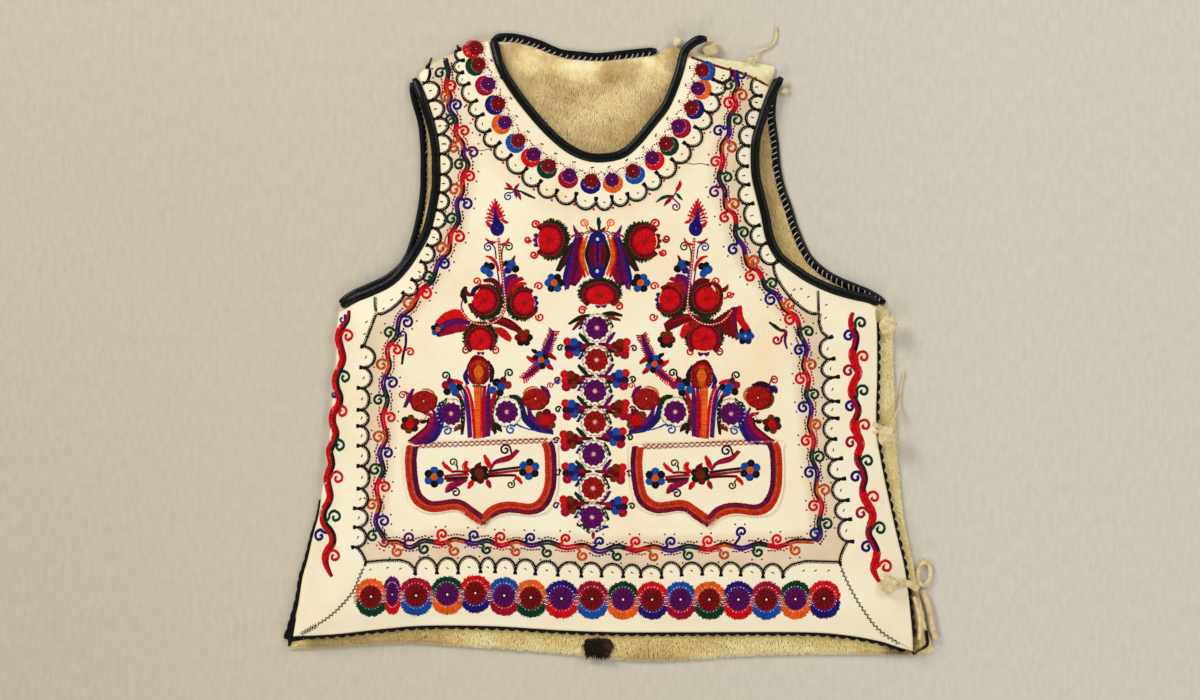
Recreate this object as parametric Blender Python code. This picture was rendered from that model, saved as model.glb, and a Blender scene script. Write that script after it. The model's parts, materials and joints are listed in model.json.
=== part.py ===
"""Embroidered sheepskin vest laid out flat, front up, neck towards +Y.

The back panel lies wool up on the ground plane and the front panel lies wool
down on it. The shoulder and the side at -X are closed. Those at +X are open
and carry knots, loops and thongs. Lengths are in metres.
"""

import math

import bmesh
import bpy
import numpy as np
from mathutils import Vector
from mathutils.geometry import delaunay_2d_cdt

# The plan tables count squares of a cutting grid: u to the right, v down.
GRID = 0.00088
MID_U = 609.5
MID_V = 347.0

GAP = 0.0003
LEATHER = 0.0016
FRONT_LEATHER = 0.0018
BAND = 0.0011
POCKET = 0.0014

RIM_WOOL = 0.0008
OPEN_WOOL = 0.0030
BACK_WOOL = 0.0070
FRONT_WOOL = 0.0080
BACK_RISE = 0.030
FRONT_RISE = 0.042
CLOSED_REACH = 0.025
ROLL = 0.0043
TURN_IN = 0.0050
WOOL_OVERHANG = 0.0026

BINDING_WIDTH = 0.0075
FRONT_BINDING = 0.0038
BACK_BINDING = 0.0024
EDGING = 0.0009
EDGING_VALLEY = 0.0018
EDGING_TOOTH = 0.0052
TOOTH_PITCH = 0.0088

STATION = 0.0150
WOOL_GRID = 0.0240
RING_INSET = 0.0010
SCALLOP_STEPS = 5

# ---------------------------------------------------------------- plan tables
# Columns: u, v. Every edge runs with the panel on its left hand.
SHOULDER_CLOSED = (
    (488.5, 39.5), (470, 46), (453, 53), (436, 61), (426, 66.5), (419, 73),
)
# Centre lines of the four armhole bindings and the two neck bindings.
ARMHOLE_LEFT_FRONT = (
    (414, 78), (424, 103), (431, 125), (435, 145), (436, 163), (436, 185), (432, 210),
    (426, 232), (417, 249), (404, 268), (390, 282), (370, 292), (355, 298), (341, 306),
)
ARMHOLE_LEFT_BACK = (
    (411, 82), (414, 98), (421, 124), (423, 145), (423.5, 167), (422, 199), (415, 234),
    (404, 262), (387, 277.5), (367, 287), (352, 294), (339, 302.5),
)
SIDE_CLOSED = (
    (338.5, 312), (336.5, 330), (335.5, 360), (332, 394), (329, 439), (327, 467),
    (322, 489), (318, 516), (313, 534), (307, 560), (302, 578), (299, 599),
)
SIDE_CLOSED_END_FRONT = ((299, 599), (296, 618), (293, 636.5))
SIDE_CLOSED_END_BACK = ((299, 599), (293.5, 622), (287, 644))
HEM_FRONT = (
    (293, 636.5), (337, 634), (382, 629), (426, 625.5), (493, 626), (560, 630),
    (620, 632), (689, 632), (801, 632), (845, 635), (879, 641), (901, 648), (913, 651),
)
HEM_BACK_WOOL = (
    (286, 648), (337, 646), (404, 642), (471, 646), (538, 651), (583, 655), (620, 659),
    (667, 660), (734, 655.5), (801, 653.5), (868, 653.5), (912, 654.5), (934, 651),
)
SIDE_OPEN_FRONT = (
    (913, 651), (912, 630), (908, 592), (904, 565), (897, 536), (888, 496), (881, 462),
    (877.5, 440), (876, 416), (877, 376), (877, 340), (876.5, 322), (875, 309),
)
SIDE_OPEN_BACK_WOOL = (
    (934, 651), (929, 636), (920, 596), (912, 556), (906, 529), (901, 496), (898, 467),
    (896.5, 440), (895, 400), (893.5, 360), (893, 330), (889, 310),
)
ARMHOLE_RIGHT_FRONT = (
    (879, 304), (870, 299), (852, 295), (832, 289), (810, 279), (792, 267), (779, 256),
    (770, 238), (765, 214), (760, 194), (756, 176), (755, 158), (756, 140), (761, 123),
    (767, 105), (774, 89), (782, 77),
)
ARMHOLE_RIGHT_BACK = (
    (886, 303), (871, 294), (857, 288), (841, 281.5), (823, 271), (808, 256), (796, 230),
    (788, 205), (781, 185), (777, 163), (775, 140), (772, 118), (773, 98), (777, 78),
)
SHOULDER_OPEN_FRONT = (
    (769.5, 86.5), (757, 80), (743, 74), (716, 66), (700, 60.5), (689.5, 57),
)
SHOULDER_OPEN_BACK = (
    (775, 66), (760, 62.5), (743, 61.5), (716, 57), (695, 49.5), (680, 46.5), (666, 47),
)
NECK_FRONT = (
    (707, 39), (698, 40), (689, 46), (684, 53), (680, 69), (674, 87), (665, 107),
    (651, 125), (636, 143), (620, 155), (594, 158), (571, 150), (549, 132), (527, 107),
    (511, 85), (500, 65), (493, 38),
)
NECK_BACK = (
    (657, 50), (629, 53), (600, 56), (583, 55), (560, 52), (538, 43), (516, 37), (499, 36.5),
)

# Columns: u, v of the line that touches the tips of a row of scallops.
NECK_SCALLOPS = (
    (458, 45), (462, 66), (470, 92), (483, 124), (500, 155), (530, 185), (566, 205),
    (604, 210.5), (638, 203), (666, 184), (686, 158), (704, 128), (720, 95), (728, 63),
)
ARMHOLE_LEFT_SCALLOPS = (
    (441, 52), (444, 75), (448, 100), (451, 130), (453, 160), (452, 185), (449, 202),
    (445, 219), (439, 236), (432, 254), (420, 277), (404, 300), (377.5, 317),
)
ARMHOLE_RIGHT_SCALLOPS = (
    (816.5, 319), (797, 301), (776, 279), (760, 255), (750, 235), (744, 214), (738, 198),
    (735, 178), (733, 158), (735, 136), (741, 118), (748, 98), (753, 71),
)
SIDE_LEFT_SCALLOPS = (
    (365, 566), (367, 535), (369, 498), (371, 460), (370.5, 420), (371, 380),
    (370.5, 345), (373.5, 321),
)
SIDE_RIGHT_SCALLOPS = (
    (820, 322), (820, 348), (823, 389), (823, 420), (824, 450), (831, 490), (836, 531),
    (840, 566),
)
HEM_SCALLOPS = ((405, 561), (500, 560.5), (600, 560.5), (700, 560.5), (790, 561.5))
# Columns: u, v of the zigzag joins between the side bands and the hem band.
JOIN_LEFT = ((365, 566), (361, 574), (353, 592), (335, 612), (317, 625), (291, 640))
JOIN_RIGHT = ((840, 566), (843, 574), (852, 592), (863, 610), (879, 630), (917, 653))
# Columns: u, v round a pocket, counted from the tip of its shield.
POCKET_SHIELD = (
    (0, 0), (12, -10), (27, -14), (50, -12), (66, -18), (74, -36), (75.5, -56),
    (74.5, -78), (70, -87), (0, -85), (-64, -83), (-78, -82), (-79, -64), (-76, -36),
    (-70, -22), (-52, -14), (-27, -17), (-14, -9),
)
POCKET_TIPS = (("pocket_left", 483, 527), ("pocket_right", 708, 528))
# Columns: u, v, half width, half height in the plan and half thickness in metres.
KNOTS = {
    "shoulder_knot": (678, 41.1, 0.0046, 0.0050, 0.0042),
    "shoulder_button": (711, 47.5, 0.0076, 0.0076, 0.0043),
    "shoulder_knot_outer": (752, 60, 0.0042, 0.0036, 0.0034),
    "shoulder_tag": (784.5, 90, 0.0050, 0.0034, 0.0026),
    "side_knot_top": (888.5, 325.5, 0.0086, 0.0100, 0.0052),
    "side_knot_middle": (887.5, 436, 0.0092, 0.0108, 0.0062),
    "side_knot_bottom": (888.5, 583.5, 0.0088, 0.0088, 0.0055),
}
# Columns: u, v, centre height above the ground plane in metres.
CORDS = {
    "shoulder_thong": (
        0.0020,
        ((753.2, 55.3, 0.0056), (756.5, 52, 0.0036), (761.5, 49.5, 0.0020), (770, 46, 0.0014),
         (776, 39, 0.0013), (777, 26, 0.0013)),
    ),
    "side_thong_middle": (
        0.0016,
        ((889.4, 423.7, 0.0158), (893.5, 419, 0.0135), (898, 411, 0.0070), (900.5, 402, 0.0016),
         (902, 388, 0.0012), (905, 372, 0.0012)),
    ),
    "side_thong_tail": (
        0.0056,
        ((922.4, 591.6, 0.0034), (927, 601, 0.0033), (930.4, 614, 0.0033),
         (933, 628, 0.0033), (937, 640.5, 0.0033)),
    ),
    "side_thong_inner": (
        0.0036,
        ((914, 596.5, 0.0136), (917, 606, 0.0129), (919.5, 617, 0.0124),
         (920, 630, 0.0121), (919.5, 640, 0.0117)),
    ),
}
# Columns: u, v and lift in metres of the strap from the lowest knot to its loop.
SIDE_STRAP = (
    (898.9, 583.6, 0.0034), (904, 583, 0.0014), (909.5, 584, 0), (914, 586.5, 0), (918, 590, 0),
)
SIDE_LOOP = (925.1, 574.5, 0.0056, 0.0102, 0.0019)
FUR_PATCH = ((585.5, 639.5), (597, 638.5), (610.5, 640), (611, 650), (606, 656.5),
             (595, 655.5), (587, 655), (585, 648))
BACK_CORNER = ((913.5, 655), (919, 651), (926.5, 647), (928.5, 643), (927, 631))

# Columns: u, v, u, v, width and height in metres of the folds of the front.
FOLDS = (
    (392, 318, 470, 372, 0.016, 0.0015),
    (812, 322, 752, 392, 0.017, 0.0014),
    (566, 560, 600, 470, 0.020, -0.0012),
    (330, 560, 420, 540, 0.018, 0.0012),
    (880, 520, 800, 552, 0.018, 0.0013),
    (520, 230, 548, 330, 0.022, 0.0012),
    (668, 236, 642, 338, 0.022, 0.0010),
)


# ---------------------------------------------------------------- plan curves
def plan(rows):
    """Metres in the plan for a table whose first two columns are u and v."""
    rows = np.asarray(rows, float)
    return np.column_stack(((rows[:, 0] - MID_U) * GRID, (MID_V - rows[:, 1]) * GRID))


def catmull(points, samples=24):
    """A smooth curve through the points, of any dimension."""
    points = np.asarray(points, float)
    first = 2 * points[0] - points[1]
    last = 2 * points[-1] - points[-2]
    rows = np.vstack((first, points, last))
    t = (np.arange(samples) / samples)[:, None]
    pieces = []
    for a, b, c, d in zip(rows, rows[1:], rows[2:], rows[3:]):
        pieces.append(
            0.5 * (2 * b + (c - a) * t + (2 * a - 5 * b + 4 * c - d) * t**2
                   + (3 * b - a - 3 * c + d) * t**3)
        )
    return np.vstack((*pieces, points[-1:]))


def at_lengths(curve, shares):
    """Points of a curve at these shares of its length."""
    steps = np.linalg.norm(np.diff(curve, axis=0), axis=1)
    along = np.concatenate(([0], np.cumsum(steps))) / steps.sum()
    return np.column_stack([np.interp(shares, along, column) for column in curve.T])


def length_of(curve):
    return float(np.linalg.norm(np.diff(curve, axis=0), axis=1).sum())


def stations(rows, pitch=STATION):
    """Evenly spaced points of the smooth curve through the table's rows."""
    curve = catmull(plan(rows))
    count = max(2, round(length_of(curve) / pitch))
    return at_lengths(curve, np.linspace(0, 1, count + 1))


def left_normals(curve):
    tangent = np.gradient(curve[:, :2], axis=0)
    tangent /= np.linalg.norm(tangent, axis=1)[:, None]
    return np.column_stack((-tangent[:, 1], tangent[:, 0]))


def beside(curve, distance):
    """The curve moved to its left."""
    return curve[:, :2] + left_normals(curve) * distance


def inset(outline, distances):
    """The closed outline with each side moved in by its own distance."""
    following = np.roll(outline, -1, axis=0)
    along = following - outline
    along /= np.linalg.norm(along, axis=1)[:, None]
    normal = np.column_stack((-along[:, 1], along[:, 0]))
    before = np.roll(normal, 1, axis=0)
    wanted = np.roll(distances, 1)
    moved = []
    for point, n, m, d, e in zip(outline, normal, before, distances, wanted):
        turn = m[0] * n[1] - m[1] * n[0]
        if abs(turn) < 0.26:
            middle = n + m
            step = middle / (middle @ middle) * (d + e)
        else:
            step = np.array((e * n[1] - d * m[1], d * m[0] - e * n[0])) / turn
        moved.append(point + step)
    return np.array(moved)


def inside(points, outline):
    """Which points lie in the closed outline."""
    x, y = points[:, 0][:, None], points[:, 1][:, None]
    a, b = outline, np.roll(outline, -1, axis=0)
    spans = (a[:, 1] > y) != (b[:, 1] > y)
    rise = np.where(a[:, 1] == b[:, 1], 1, b[:, 1] - a[:, 1])
    cross = a[:, 0] + (y - a[:, 1]) * (b[:, 0] - a[:, 0]) / rise
    return (spans & (x < cross)).sum(axis=1) % 2 == 1


def distance_to(points, line, closed=False):
    """The plan distance of each point from a polyline."""
    a = line if closed else line[:-1]
    b = np.roll(line, -1, axis=0) if closed else line[1:]
    along = b - a
    square = (along**2).sum(axis=1)
    share = ((points[:, None] - a) * along).sum(axis=2) / square
    near = a + np.clip(share, 0, 1)[..., None] * along
    return np.linalg.norm(points[:, None] - near, axis=2).min(axis=1)


def depth_in(points, outline):
    """How far inside the outline each point lies, 0 outside it."""
    return np.where(inside(points, outline), distance_to(points, outline, True), 0)


# ---------------------------------------------------------------- outlines
BINDING_STEP = BINDING_WIDTH / 2 + GAP
ARM_LEFT = beside(stations(ARMHOLE_LEFT_FRONT), BINDING_STEP)
ARM_RIGHT = beside(stations(ARMHOLE_RIGHT_FRONT), BINDING_STEP)[:-1]
NECK_LINE = beside(stations(NECK_FRONT), BINDING_STEP)[2:]
CLOSED_SHOULDER = stations(SHOULDER_CLOSED)
CLOSED_SIDE = stations(SIDE_CLOSED)

# Columns: an edge, how far inside it the leather ends and how far its wool ends.
FRONT_EDGES = (
    (CLOSED_SHOULDER, 0, ROLL),
    (ARM_LEFT, 0, 0),
    (CLOSED_SIDE, 0, ROLL),
    (stations(SIDE_CLOSED_END_FRONT), 0, ROLL),
    (stations(HEM_FRONT), 0, TURN_IN),
    (stations(SIDE_OPEN_FRONT), 0, TURN_IN),
    (ARM_RIGHT, 0, 0),
    (stations(SHOULDER_OPEN_FRONT), 0, 0.0015),
    (NECK_LINE, 0, 0),
)
BACK_EDGES = (
    (CLOSED_SHOULDER, 0, ROLL),
    (beside(stations(ARMHOLE_LEFT_BACK), BINDING_STEP), 0, 0),
    (CLOSED_SIDE, 0, ROLL),
    (stations(SIDE_CLOSED_END_BACK), 0, ROLL / 2),
    (stations(HEM_BACK_WOOL), WOOL_OVERHANG, 0),
    (stations(SIDE_OPEN_BACK_WOOL), WOOL_OVERHANG, 0),
    (beside(stations(ARMHOLE_RIGHT_BACK), BINDING_STEP), 0, 0),
    (stations(SHOULDER_OPEN_BACK), 0.0010, 0),
    (beside(stations(NECK_BACK), BINDING_STEP), 0, 0),
)


def outline_of(edges):
    """The closed outlines of the leather and of its wool, side by side."""
    points, leather, wool = [], [], []
    for i, (edge, in_leather, in_wool) in enumerate(edges):
        following = edges[(i + 1) % len(edges)]
        meets = np.linalg.norm(edge[-1] - following[0][0]) < 0.002
        sides = len(edge) - 1
        points.extend(edge[:-1] if meets else edge)
        leather.extend([in_leather] * sides)
        wool.extend([in_wool] * sides)
        if not meets:
            leather.append(max(in_leather, following[1]))
            wool.append(max(in_wool, following[2]))
    base = np.array(points)
    return inset(base, np.array(leather)), inset(base, np.array(wool))


FRONT, FRONT_WOOL_LINE = outline_of(FRONT_EDGES)
BACK, BACK_WOOL_LINE = outline_of(BACK_EDGES)
TURNED_DOWN = (CLOSED_SHOULDER, CLOSED_SIDE[:-1])


# ---------------------------------------------------------------- heights
def eased(share):
    share = np.clip(share, 0, 1)
    return 1 - (1 - share) ** 2


def smoothstep(share):
    share = np.clip(share, 0, 1)
    return share * share * (3 - 2 * share)


def from_closed(points):
    return np.min([distance_to(points, edge) for edge in TURNED_DOWN], axis=0)


def back_wool_top(points):
    rise = eased(depth_in(points, BACK_WOOL_LINE) / BACK_RISE)
    return LEATHER + GAP + RIM_WOOL + BACK_WOOL * rise


def fold_height(points):
    total = np.zeros(len(points))
    for u, v, end_u, end_v, width, height in FOLDS:
        line = plan(((u, v), (end_u, end_v)))
        total += height * np.exp(-((distance_to(points, line) / width) ** 2))
    return total


def front_wool_top(points):
    rise = eased(depth_in(points, FRONT_WOOL_LINE) / FRONT_RISE)
    rim = RIM_WOOL + (OPEN_WOOL - RIM_WOOL) * smoothstep(from_closed(points) / CLOSED_REACH)
    wool = rim + (FRONT_WOOL - rim) * rise + fold_height(points) * rise
    return back_wool_top(points) + GAP + wool


def front_underside(points):
    """The front leather's underside, its closed rims turned down to the back's."""
    share = np.clip(from_closed(points) / ROLL, 0, 1)
    low = LEATHER + GAP
    return low + (front_wool_top(points) + GAP - low) * share


def front_top(points):
    return front_underside(points) + FRONT_LEATHER


def level(height):
    return lambda points: np.full(len(points), float(height))


def raised(surface, step):
    return lambda points: surface(points) + step


# ---------------------------------------------------------------- plan meshes
def grid_in(outline, pitch, keep_off):
    """Points of a brick pattern inside the outline, away from the given points."""
    low, high = outline.min(axis=0), outline.max(axis=0)
    rows = []
    for j, y in enumerate(np.arange(low[1], high[1], pitch * 0.87)):
        shift = pitch / 2 if j % 2 else 0
        rows.extend((x + shift, y) for x in np.arange(low[0], high[0], pitch))
    points = np.array(rows)
    points = points[inside(points, outline)]
    gaps = np.linalg.norm(points[:, None] - keep_off, axis=2).min(axis=1)
    return points[gaps > pitch * 0.55]


def triangulate(loops, lines, loose):
    """Plan triangles that keep every loop and line as an edge."""
    points, edges = [], []
    for line, closed in [(loop, True) for loop in loops] + [(line, False) for line in lines]:
        start = len(points)
        points.extend(line)
        count = len(line)
        last = count if closed else count - 1
        edges.extend((start + i, start + (i + 1) % count) for i in range(last))
    points.extend(loose)
    found = delaunay_2d_cdt([Vector(p) for p in points], edges, [], 0, 1e-6)
    corners = np.array([tuple(v) for v in found[0]])
    faces = np.array([list(face) for face in found[2]])
    return corners, faces


def faces_in(mesh, *outlines):
    corners, faces = mesh
    middles = corners[faces].mean(axis=1)
    keep = np.ones(len(faces), bool)
    for outline in outlines:
        keep &= inside(middles, outline)
    return corners, faces[keep]


def rim_edges(faces):
    """Directed edges that only one face uses."""
    ends = {(int(f[i]), int(f[(i + 1) % 3])) for f in faces for i in range(3)}
    return [(a, b) for a, b in ends if (b, a) not in ends]


def facets(mesh, height, beyond=None):
    """The height of a plan mesh's flat facets; outside it, beyond or its nearest rim's."""
    corners, faces = mesh
    a, b, c = (corners[faces[:, i]] for i in range(3))
    tops = height(corners)
    rim = rim_loop(mesh)

    def cross(p, q):
        return p[..., 0] * q[..., 1] - p[..., 1] * q[..., 0]

    def surface(points):
        found = []
        whole = cross(b - a, c - a)
        for point in points:
            shares = np.stack((
                cross(b - point, c - point), cross(c - point, a - point), cross(a - point, b - point),
            )) / whole
            best = int(np.argmax(shares.min(axis=0)))
            if shares[:, best].min() > -1e-4:
                found.append(float(tops[faces[best]] @ shares[:, best]))
                continue
            if beyond is not None:
                found.append(beyond)
                continue
            near = rim[np.argmin(np.linalg.norm(rim - point, axis=1))]
            found.append(float(height(near[None])[0]))
        return np.array(found)

    return surface


def matching(points, rim, wanted):
    """The rim point that lies where the wanted one does."""
    gaps = np.linalg.norm(points[rim] - wanted, axis=1)
    return rim[int(np.argmin(gaps))]


# ---------------------------------------------------------------- objects
def finish_for(colour, roughness, metallic=0.0):
    return {"colour": colour, "roughness": roughness, "metallic": metallic}


WHITE_HIDE = finish_for((0.84, 0.76, 0.57), 0.62)
KID = finish_for((0.88, 0.84, 0.70), 0.55)
WOOL = finish_for((0.60, 0.47, 0.24), 0.95)
BLACK = finish_for((0.010, 0.009, 0.010), 0.28)
BLACK_EDGE = finish_for((0.014, 0.011, 0.010), 0.60)
THONG = finish_for((0.70, 0.59, 0.37), 0.70)
DARK_FUR = finish_for((0.045, 0.028, 0.018), 0.92)


def dress(obj, finish):
    """Give the object its own plain material."""
    material = bpy.data.materials.new(obj.name)
    material.use_nodes = True
    shader = material.node_tree.nodes["Principled BSDF"]
    shader.inputs["Base Color"].default_value = (*finish["colour"], 1)
    shader.inputs["Roughness"].default_value = finish["roughness"]
    shader.inputs["Metallic"].default_value = finish["metallic"]
    material.diffuse_color = (*finish["colour"], 1)
    obj.data.materials.append(material)


def add_mesh(name, corners, faces, finish, smooth=False):
    mesh = bpy.data.meshes.new(name)
    mesh.from_pydata([tuple(map(float, c)) for c in corners], [], [tuple(map(int, f)) for f in faces])
    builder = bmesh.new()
    builder.from_mesh(mesh)
    bmesh.ops.recalc_face_normals(builder, faces=builder.faces)
    builder.to_mesh(mesh)
    builder.free()
    mesh.polygons.foreach_set("use_smooth", [smooth] * len(mesh.polygons))
    obj = bpy.data.objects.new(name, mesh)
    bpy.context.scene.collection.objects.link(obj)
    dress(obj, finish)
    return obj


def add_sheet(name, lower, upper, low_height, high_height, finish):
    """A closed sheet between two plan meshes that share one rim."""
    corners, faces = [], []
    rims = []
    for mesh, height, flip in ((lower, low_height, True), (upper, high_height, False)):
        points, triangles = mesh
        used, index = np.unique(triangles, return_inverse=True)
        triangles = index.reshape(-1, 3)
        points = points[used]
        start = len(corners)
        corners.extend(np.column_stack((points, height(points))))
        turned = triangles[:, ::-1] if flip else triangles
        faces.extend(turned + start)
        rims.append((start, points, triangles))
    low_start, low_points, low_triangles = rims[0]
    low_rim = sorted({a for edge in rim_edges(low_triangles) for a in edge})
    top_start, top_points, top_triangles = rims[1]
    for a, b in rim_edges(top_triangles):
        low_a = low_start + matching(low_points, low_rim, top_points[a])
        low_b = low_start + matching(low_points, low_rim, top_points[b])
        faces.append((low_a, low_b, top_start + b))
        faces.append((low_a, top_start + b, top_start + a))
    return add_mesh(name, corners, faces, finish, smooth=False)


def rim_loop(mesh):
    """The plan points round a mesh, in order."""
    points, triangles = mesh
    following = dict(rim_edges(triangles))
    start = min(following)
    loop, here = [start], following[start]
    while here != start:
        loop.append(here)
        here = following[here]
    return points[loop]


def flat_copy(mesh):
    """The same rim as a plan mesh, filled without any inner point."""
    outline = rim_loop(mesh)
    return faces_in(triangulate([outline], [], []), outline)


def add_sweep(name, path, section, finish, closed=False):
    """A closed bar whose upright section of (across, up) rows follows the path."""
    count, size = len(path), len(section)
    if closed:
        before, after = np.roll(path, 1, axis=0), np.roll(path, -1, axis=0)
        tangent = (after - before)[:, :2]
        tangent /= np.linalg.norm(tangent, axis=1)[:, None]
        across = np.column_stack((-tangent[:, 1], tangent[:, 0]))
    else:
        across = left_normals(path)
    corners = []
    for point, side in zip(path, across):
        for reach, up in section:
            corners.append((*(point[:2] + side * reach), point[2] + up))
    faces = []
    last = count if closed else count - 1
    for i in range(last):
        here, there = i * size, (i + 1) % count * size
        for j in range(size):
            k = (j + 1) % size
            faces.append((here + j, here + k, there + k, there + j))
    if not closed:
        faces.append(tuple(range(size)))
        faces.append(tuple(range((count - 1) * size, count * size)))
    return add_mesh(name, corners, faces, finish, smooth=True)


def rounded_section(width, height, flat_base=False):
    """An eight sided oval, its base flat where it lies on the ground plane."""
    rows = []
    for i in range(8):
        angle = math.tau * (i + 0.5) / 8
        across = math.cos(angle) * width / 2 / math.cos(math.pi / 8)
        up = math.sin(angle) * height / 2 / math.cos(math.pi / 8)
        if flat_base and up < 0:
            up = -height / 2
            across *= 0.94
        rows.append((across, up))
    if flat_base:
        rows = rows[:5] + rows[7:]
    return rows


# ---------------------------------------------------------------- panels
def make_panels():
    """Both hides, each a leather sheet with its wool as a second sheet."""
    fixed = np.vstack((FRONT, FRONT_WOOL_LINE, BACK_WOOL_LINE))
    inner = grid_in(BACK_WOOL_LINE, WOOL_GRID, fixed)
    wool_plan = triangulate([FRONT, FRONT_WOOL_LINE, BACK_WOOL_LINE], [], inner)

    back_plan = faces_in(triangulate([BACK], [], []), BACK)
    add_sheet("back_leather", back_plan, back_plan, level(0), level(LEATHER), WHITE_HIDE)

    back_top = faces_in(wool_plan, BACK_WOOL_LINE)
    add_sheet(
        "back_fleece", flat_copy(back_top), back_top,
        level(LEATHER + GAP), back_wool_top, WOOL,
    )
    front_wool_plan = faces_in(wool_plan, FRONT_WOOL_LINE)
    add_sheet(
        "front_fleece", front_wool_plan, front_wool_plan,
        raised(back_wool_top, GAP), front_wool_top, WOOL,
    )
    return faces_in(wool_plan, FRONT), inner, facets(back_top, back_wool_top, 0.0)


def scalloped(rows, count, depth, side):
    """A row of round scallops whose tips touch the curve through the rows."""
    curve = catmull(plan(rows))
    shares = np.linspace(0, 1, count * SCALLOP_STEPS + 1)
    points = at_lengths(curve, shares)
    bulge = np.abs(np.sin(np.pi * shares * count)) ** 0.55
    return points + left_normals(points) * (side * depth * GRID * (1 - bulge))[:, None]


def stopped_at(line, ring):
    """The part of a line inside the ring, with a short stub through it."""
    fine = at_lengths(line, np.linspace(0, 1, 1200))
    held = inside(fine, ring)
    first, last = np.flatnonzero(held)[[0, -1]]
    kept = [p for p in line if inside(p[None], ring)[0] and distance_to(p[None], ring, True)[0] > 0.0008]
    rows = list(kept)
    if first > 0:
        out = fine[first - 1] - fine[first]
        rows.insert(0, fine[first] + out / np.linalg.norm(out) * 0.0004)
    if last < len(fine) - 1:
        out = fine[last + 1] - fine[last]
        rows.append(fine[last] + out / np.linalg.norm(out) * 0.0004)
    return np.array(rows)


def beside_rows(rows, distance):
    return beside(stations(rows, 0.012), distance)


def band_regions():
    """Each band's name, the lines that bound it inside and a region that holds it."""
    half = 0.00045
    neck = scalloped(NECK_SCALLOPS, 21, 7, 1)
    arm_left = scalloped(ARMHOLE_LEFT_SCALLOPS, 14, 7, -1)
    arm_right = scalloped(ARMHOLE_RIGHT_SCALLOPS, 14, 8, -1)
    side_left = scalloped(SIDE_LEFT_SCALLOPS, 13, 10, 1)
    side_right = scalloped(SIDE_RIGHT_SCALLOPS, 13, 11, 1)
    hem = np.vstack((
        plan(((365.5, 562.0),)),
        scalloped(HEM_SCALLOPS, 19, 12, -1),
        plan(((840, 562.5),)),
    ))
    under_left = plan(((377.5, 317), (375.5, 304), (374, 282)))
    under_right = plan(((816.5, 319), (817, 300), (817.5, 272)))
    side_under_left = plan(((373.5, 321), (373.5, 306), (372, 284)))
    side_under_right = plan(((820, 322), (819.4, 302), (820, 274)))
    join_left_side = beside_rows(JOIN_LEFT, -half)
    join_left_hem = beside_rows(JOIN_LEFT, half)
    join_right_side = beside_rows(JOIN_RIGHT, half)
    join_right_hem = beside_rows(JOIN_RIGHT, -half)
    return (
        ("neck_band", neck, plan(((745, 30), (609, 20), (450, 30)))),
        ("armhole_band_left", np.vstack((arm_left, under_left[1:])),
         plan(((300, 250), (380, 40), (430, 40)))),
        ("armhole_band_right", np.vstack((under_right[::-1], arm_right[1:])),
         plan(((775, 50), (840, 60), (840, 250)))),
        ("side_band_left",
         np.vstack((join_left_side[::-1], side_left[1:], side_under_left[1:])),
         plan(((340, 270), (250, 300), (250, 640)))),
        ("side_band_right",
         np.vstack((side_under_right[::-1], side_right[1:], join_right_side[1:])),
         plan(((960, 660), (960, 300), (850, 270)))),
        ("hem_band", np.vstack((join_left_hem[::-1], hem, join_right_hem)),
         plan(((950, 700), (250, 700)))),
    )


def pocket_outline(tip_u, tip_v):
    rows = [(tip_u + du, tip_v + dv) for du, dv in POCKET_SHIELD]
    return plan(rows)


def make_front(underside_plan, shared):
    """The front leather with the bands and pockets that lie on it."""
    outline = rim_loop(underside_plan)
    ring = inset(FRONT, np.full(len(FRONT), RING_INSET))
    bands = []
    for name, line, beyond in band_regions():
        bands.append((name, stopped_at(line, ring), np.vstack((line, beyond))))
    pockets = [(name, pocket_outline(u, v)) for name, u, v in POCKET_TIPS]
    drawn = np.vstack(
        [outline, ring, *(line for _, line, _ in bands), *(shape for _, shape in pockets)]
    )
    inner = np.vstack((FRONT_WOOL_LINE, shared))
    inner = inner[inside(inner, ring) & (distance_to(inner, ring, True) > 0.001)]
    crowded = np.linalg.norm(inner[:, None] - drawn, axis=2).min(axis=1) < 0.003
    inner = inner[~crowded]
    top_plan = triangulate(
        [outline, ring, *(shape for _, shape in pockets)],
        [line for _, line, _ in bands],
        inner,
    )
    add_sheet(
        "front_leather", underside_plan, faces_in(top_plan, FRONT),
        front_underside, front_top, WHITE_HIDE,
    )
    surfaces = [facets(faces_in(top_plan, FRONT), front_top, 0.0)]
    for name, _, region in bands:
        piece = faces_in(top_plan, region, ring)
        surfaces.append(facets(piece, raised(front_top, GAP + BAND), 0.0))
        add_sheet(
            name, piece, piece,
            raised(front_top, GAP), raised(front_top, GAP + BAND), KID,
        )
    for name, shape in pockets:
        piece = faces_in(top_plan, shape)
        add_sheet(
            name, piece, piece,
            raised(front_top, GAP), raised(front_top, GAP + POCKET), KID,
        )
    return surfaces


def highest(points, surfaces):
    """The top of whatever lies at these plan points."""
    top = np.max([surface(points) for surface in surfaces], axis=0)
    edging = distance_to(points, stations(SIDE_OPEN_FRONT)) < EDGING_TOOTH + GAP
    return np.where(edging, np.maximum(top, front_underside(points)), top)


# ---------------------------------------------------------------- bindings
def add_front_binding(name, rows, lift=None):
    path = stations(rows)
    edge = beside(path, BINDING_STEP)
    height = front_underside(edge)
    closed = from_closed(edge) < ROLL
    height[closed] = front_wool_top(edge[closed]) + GAP
    middle = height + FRONT_LEATHER / 2
    if lift is not None:
        middle = np.maximum(middle, lift(path))
    section = rounded_section(BINDING_WIDTH, FRONT_BINDING)
    add_sweep(name, np.column_stack((path, middle)), section, BLACK)


def add_back_binding(name, rows):
    path = stations(rows)
    section = rounded_section(BINDING_WIDTH, BACK_BINDING, flat_base=True)
    middle = np.full(len(path), BACK_BINDING / 2)
    add_sweep(name, np.column_stack((path, middle)), section, BLACK)


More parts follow.
